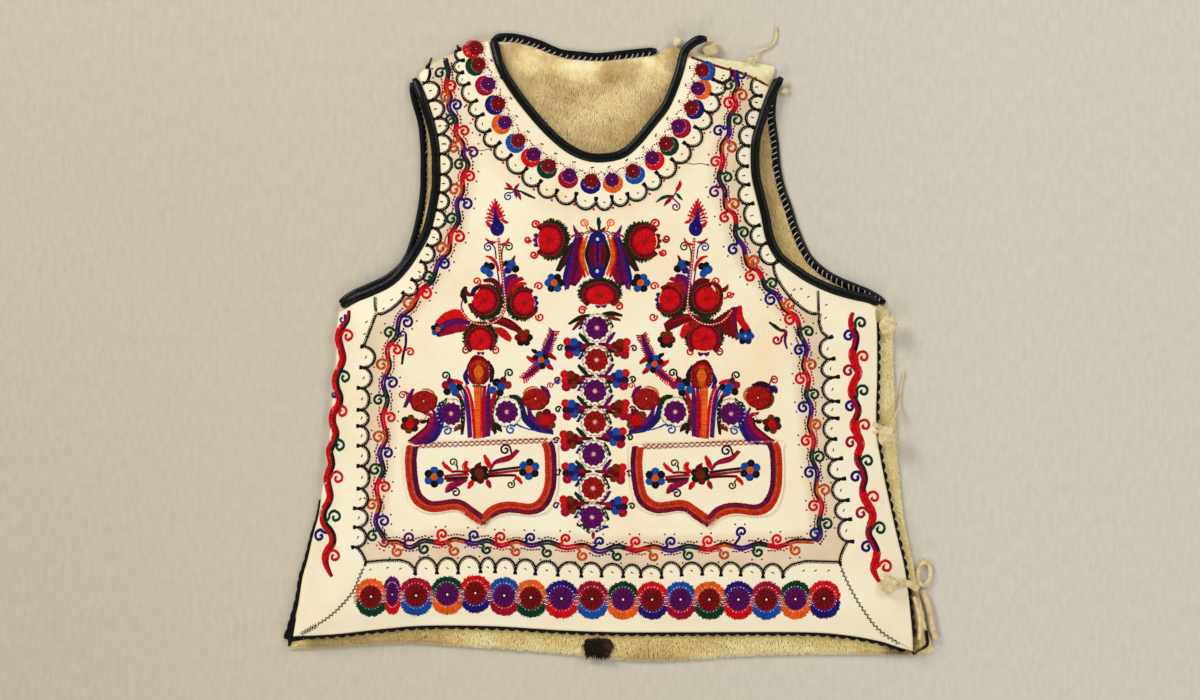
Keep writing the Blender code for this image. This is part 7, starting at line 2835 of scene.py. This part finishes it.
CURLS_BOTTOM = (
    (398, 551, "rust"), (410, 537.5, "purple"), (424.5, 547.8, "green"),
    (442.7, 534, "red"), (455, 550, "rust"), (474.5, 535, "navy"), (487, 549, "green"),
    (501, 537, "red"), (516.5, 551, "rust"), (531, 537.5, "navy"), (547.5, 552, "green"),
    (566, 538.5, "red"), (583, 555, "rust"), (600, 541.5, "navy"), (617.5, 555.3, "green"),
    (636, 541.5, "red"), (654, 556, "rust"), (671, 541.5, "navy"), (688.5, 554.5, "green"),
    (708, 540.5, "red"), (724.5, 554, "rust"), (741.5, 531.5, "navy"), (758, 551.5, "green"),
    (777, 539, "red"), (795.5, 549.5, "rust"),
)


BELOW_ALL = 999
SHORT_RUN = 3
# A side vine's width where it is red and where it is dark, in grid squares, and how it
# thins towards its ends.
RED_WIDTH, DARK_WIDTH = 4.3, 3.7
THIN, TAPER = 0.45, 14


def dyed_runs(reds, first_dye, second_dye):
    """From v, to v and dye: the stated runs, then the gaps before, between and after them."""
    gaps = zip((0, *(foot for _, foot in reds)), (*(top for top, _ in reds), BELOW_ALL))
    return [(*run, first_dye) for run in reds] + [(*gap, second_dye) for gap in gaps]


def side_vine(n, rows, curls, reds, darks):
    """A thick wavy stem, red and dark by turns, with a curl at each bend."""
    curve = catmull(rows, 10)
    fine = at_lengths(curve, np.linspace(0, 1, int(length_of(curve) * 1.3)))
    side = left_normals(fine)
    share = np.arange(len(fine)) / len(fine)
    fat = THIN + (1 - THIN) * np.minimum(1, np.minimum(share, 1 - share) * TAPER)
    for way, dyes in ((1, ("red", darks[0])), (-1, (darks[2], darks[1]))):
        for first, last, dye in dyed_runs(reds, *dyes):
            held = (fine[:, 1] >= first) & (fine[:, 1] < last)
            if held.sum() < SHORT_RUN:
                continue
            points, normal, wide = fine[held], side[held] * way, fat[held][:, None]
            broad = RED_WIDTH if dye == "red" else DARK_WIDTH
            n.lay(points - normal * 0.4, points + normal * (broad * wide), dye, FILLING)
    n.line(fine[::3], "crimson", 1.0, 2.6, 3, smooth=False)
    for u, v, size, dye in curls:
        centre = np.array((u, v))
        near = int(np.argmin(((fine - centre) ** 2).sum(axis=1)))
        low = fine[min(near + CURL_TAIL, len(fine) - 1)]
        lead = fine[min(near + 2, len(fine) - 1)] - centre
        n.curl(centre, size * 1.10, heading(lead), dye, 3.0, -1 if lead[0] < 0 else 1, 1.08,
               (low,))


# Each side's vine: its path as u, v; its curls as u, v, size, dye; its red runs from v
# to v; and the darker dyes between them.
SIDE_VINE_LEFT = (
    (
        (349, 311), (347.5, 320), (341, 329), (338.5, 338), (341, 349), (343, 359), (339.5, 369),
        (335.8, 378), (336.5, 388), (340, 397), (338.5, 406), (333.2, 413), (332.6, 423),
        (336, 433), (333.5, 442), (329.6, 451), (331, 459), (331.6, 465), (329, 472), (327.2, 480),
        (329, 489), (330.4, 496), (328.4, 503), (324.6, 509), (323, 516), (324.6, 524), (330, 530),
        (333.4, 537), (332.6, 544), (328.4, 549.6), (326, 556), (326.4, 563), (329.2, 570),
        (332.4, 576),
    ), (
        (348.4, 336, 5.8, "red"), (345.2, 377.3, 5.8, "green"), (342.4, 411.7, 5.8, "red"),
        (339.8, 445.8, 6.0, "green"), (338.4, 478, 6.0, "red"), (336.2, 516.8, 6.0, "green"),
        (320.4, 536, 5.4, "navy"), (335.4, 556, 5.6, "red"), (334.6, 395.5, 2.6, "purple"),
    ), ((329, 367), (404, 434), (472, 503), (543, 580)), ("red", "leaf", "wine"),
)
SIDE_VINE_RIGHT = (
    (
        (852.4, 313), (850.2, 320), (851.6, 328), (855.6, 336), (854.4, 346), (851.6, 355),
        (855.6, 366), (858.2, 373.6), (854.2, 381), (851, 391), (854, 400), (858, 409.6),
        (855, 419), (852.8, 426), (857.2, 435), (860.4, 444), (857.6, 453.6), (857, 461),
        (862, 469), (864.2, 479), (862, 488), (863.6, 497.5), (868, 505), (871.6, 512),
        (871.8, 519), (868.8, 527), (868.2, 534.5), (872.4, 542), (876.2, 551), (875, 560),
        (872.6, 567.5), (875, 575), (878.6, 581),
    ), (
        (859.8, 323.4, 5.4, "green"), (848, 336, 5.2, "navy"), (862, 357, 5.8, "red"),
        (847.6, 371, 5.4, "crimson"), (862, 391, 5.8, "green"), (849.4, 406.5, 5.2, "navy"),
        (863.6, 425.4, 6.0, "red"), (850.2, 442.6, 5.4, "crimson"), (866.4, 461.4, 6.2, "green"),
        (855, 477, 5.4, "navy"), (872.4, 497.5, 6.2, "red"), (860.6, 513.4, 5.6, "crimson"),
        (878.4, 528.6, 6.0, "green"), (865.6, 546.5, 5.6, "navy"), (884.6, 566.6, 6.0, "red"),
    ), ((313, 329), (350, 396), (420, 455), (492, 525), (552, 583)), ("crimson", "ember", "red"),
)


def make_band_work(n):
    make_scallops(n)
    make_joins(n)
    make_neck_work(n)
    make_hem_work(n)


def make_vine_work(n):
    """The vines round the field and down the sides, and the row along the open shoulder."""
    n.curl((385, 541.5), 4.8, 200, "crimson", 2.2, 1, 1.2)
    n.dashes(((376, 543), (381, 549), (390, 551)), "purple", 2.4, 2.2, 1.8)
    n.dashes(((378, 540), (383, 546), (392, 547)), "crimson", 2.2, 2.0, 1.8)
    vine(n, VINE_LEFT, CURLS_LEFT)
    vine(n, VINE_RIGHT, CURLS_RIGHT)
    vine(n, VINE_BOTTOM, CURLS_BOTTOM, 5.1)
    side_vine(n, *SIDE_VINE_LEFT)
    n.curl((342.5, 319), 4.6, 60, "navy", 2.0, -1, 0.8, ((345, 328),))
    side_vine(n, *SIDE_VINE_RIGHT)
    n.satin(((692, 57.5), (716, 66), (743, 74), (769, 86)), (2.6, 2.8, 2.8, 2.6), "brown", 1.6,
            pitch=1.1, rag=0.5)
    n.dashes(((692, 58.5), (716, 67), (743, 75), (769, 87)), "crimson", 1.6, 1.8, 1.0, 3)


# ---------------------------------------------------------------- the vest
def make_looks():
    wools = (tone(164, 132, 78), tone(198, 166, 104), tone(214, 187, 130), tone(246, 222, 156),
             tone(255, 246, 196))
    greys = (tone(162, 138, 84), tone(206, 180, 116), tone(232, 205, 134), tone(250, 226, 152),
             tone(255, 244, 186))
    darks = (tone(14, 8, 6), tone(36, 20, 14), tone(62, 36, 24), tone(88, 56, 38),
             tone(120, 84, 60))
    return {
        "hide": hide_look(), "kid": kid_look(), "black": black_look(), "edging": edging_look(),
        "thong": thong_look(), "wool": wool_look("wool", wools),
        "hem_wool": wool_look("hem_wool", greys),
        "wool_base": wool_look("wool_base", wools, True),
        "fur_hair": wool_look("dark_fur", darks), "fur": wool_look("dark_fur_base", darks, True),
        "cream": thread_look("whip", tone(232, 224, 204)),
        **{"thread_" + name: thread_look(name, colour) for name, colour in THREADS.items()},
    }


make_stage()
LOOKS = make_looks()
LYING = make_hides(LOOKS)
TOPS = ground_under(LYING)
make_bindings(LOOKS)
make_edgings(LOOKS)
make_fastenings(LOOKS)
make_wool(LOOKS)
make_fur_patch(LOOKS)
FIELD = Needle()
make_field(FIELD)
sew("field_embroidery", FIELD, LOOKS, TOPS)
BAND_WORK = Needle()
make_band_work(BAND_WORK)
sew("band_embroidery", BAND_WORK, LOOKS, TOPS)
VINE_WORK = Needle()
make_vine_work(VINE_WORK)
sew("vine_embroidery", VINE_WORK, LOOKS, TOPS)
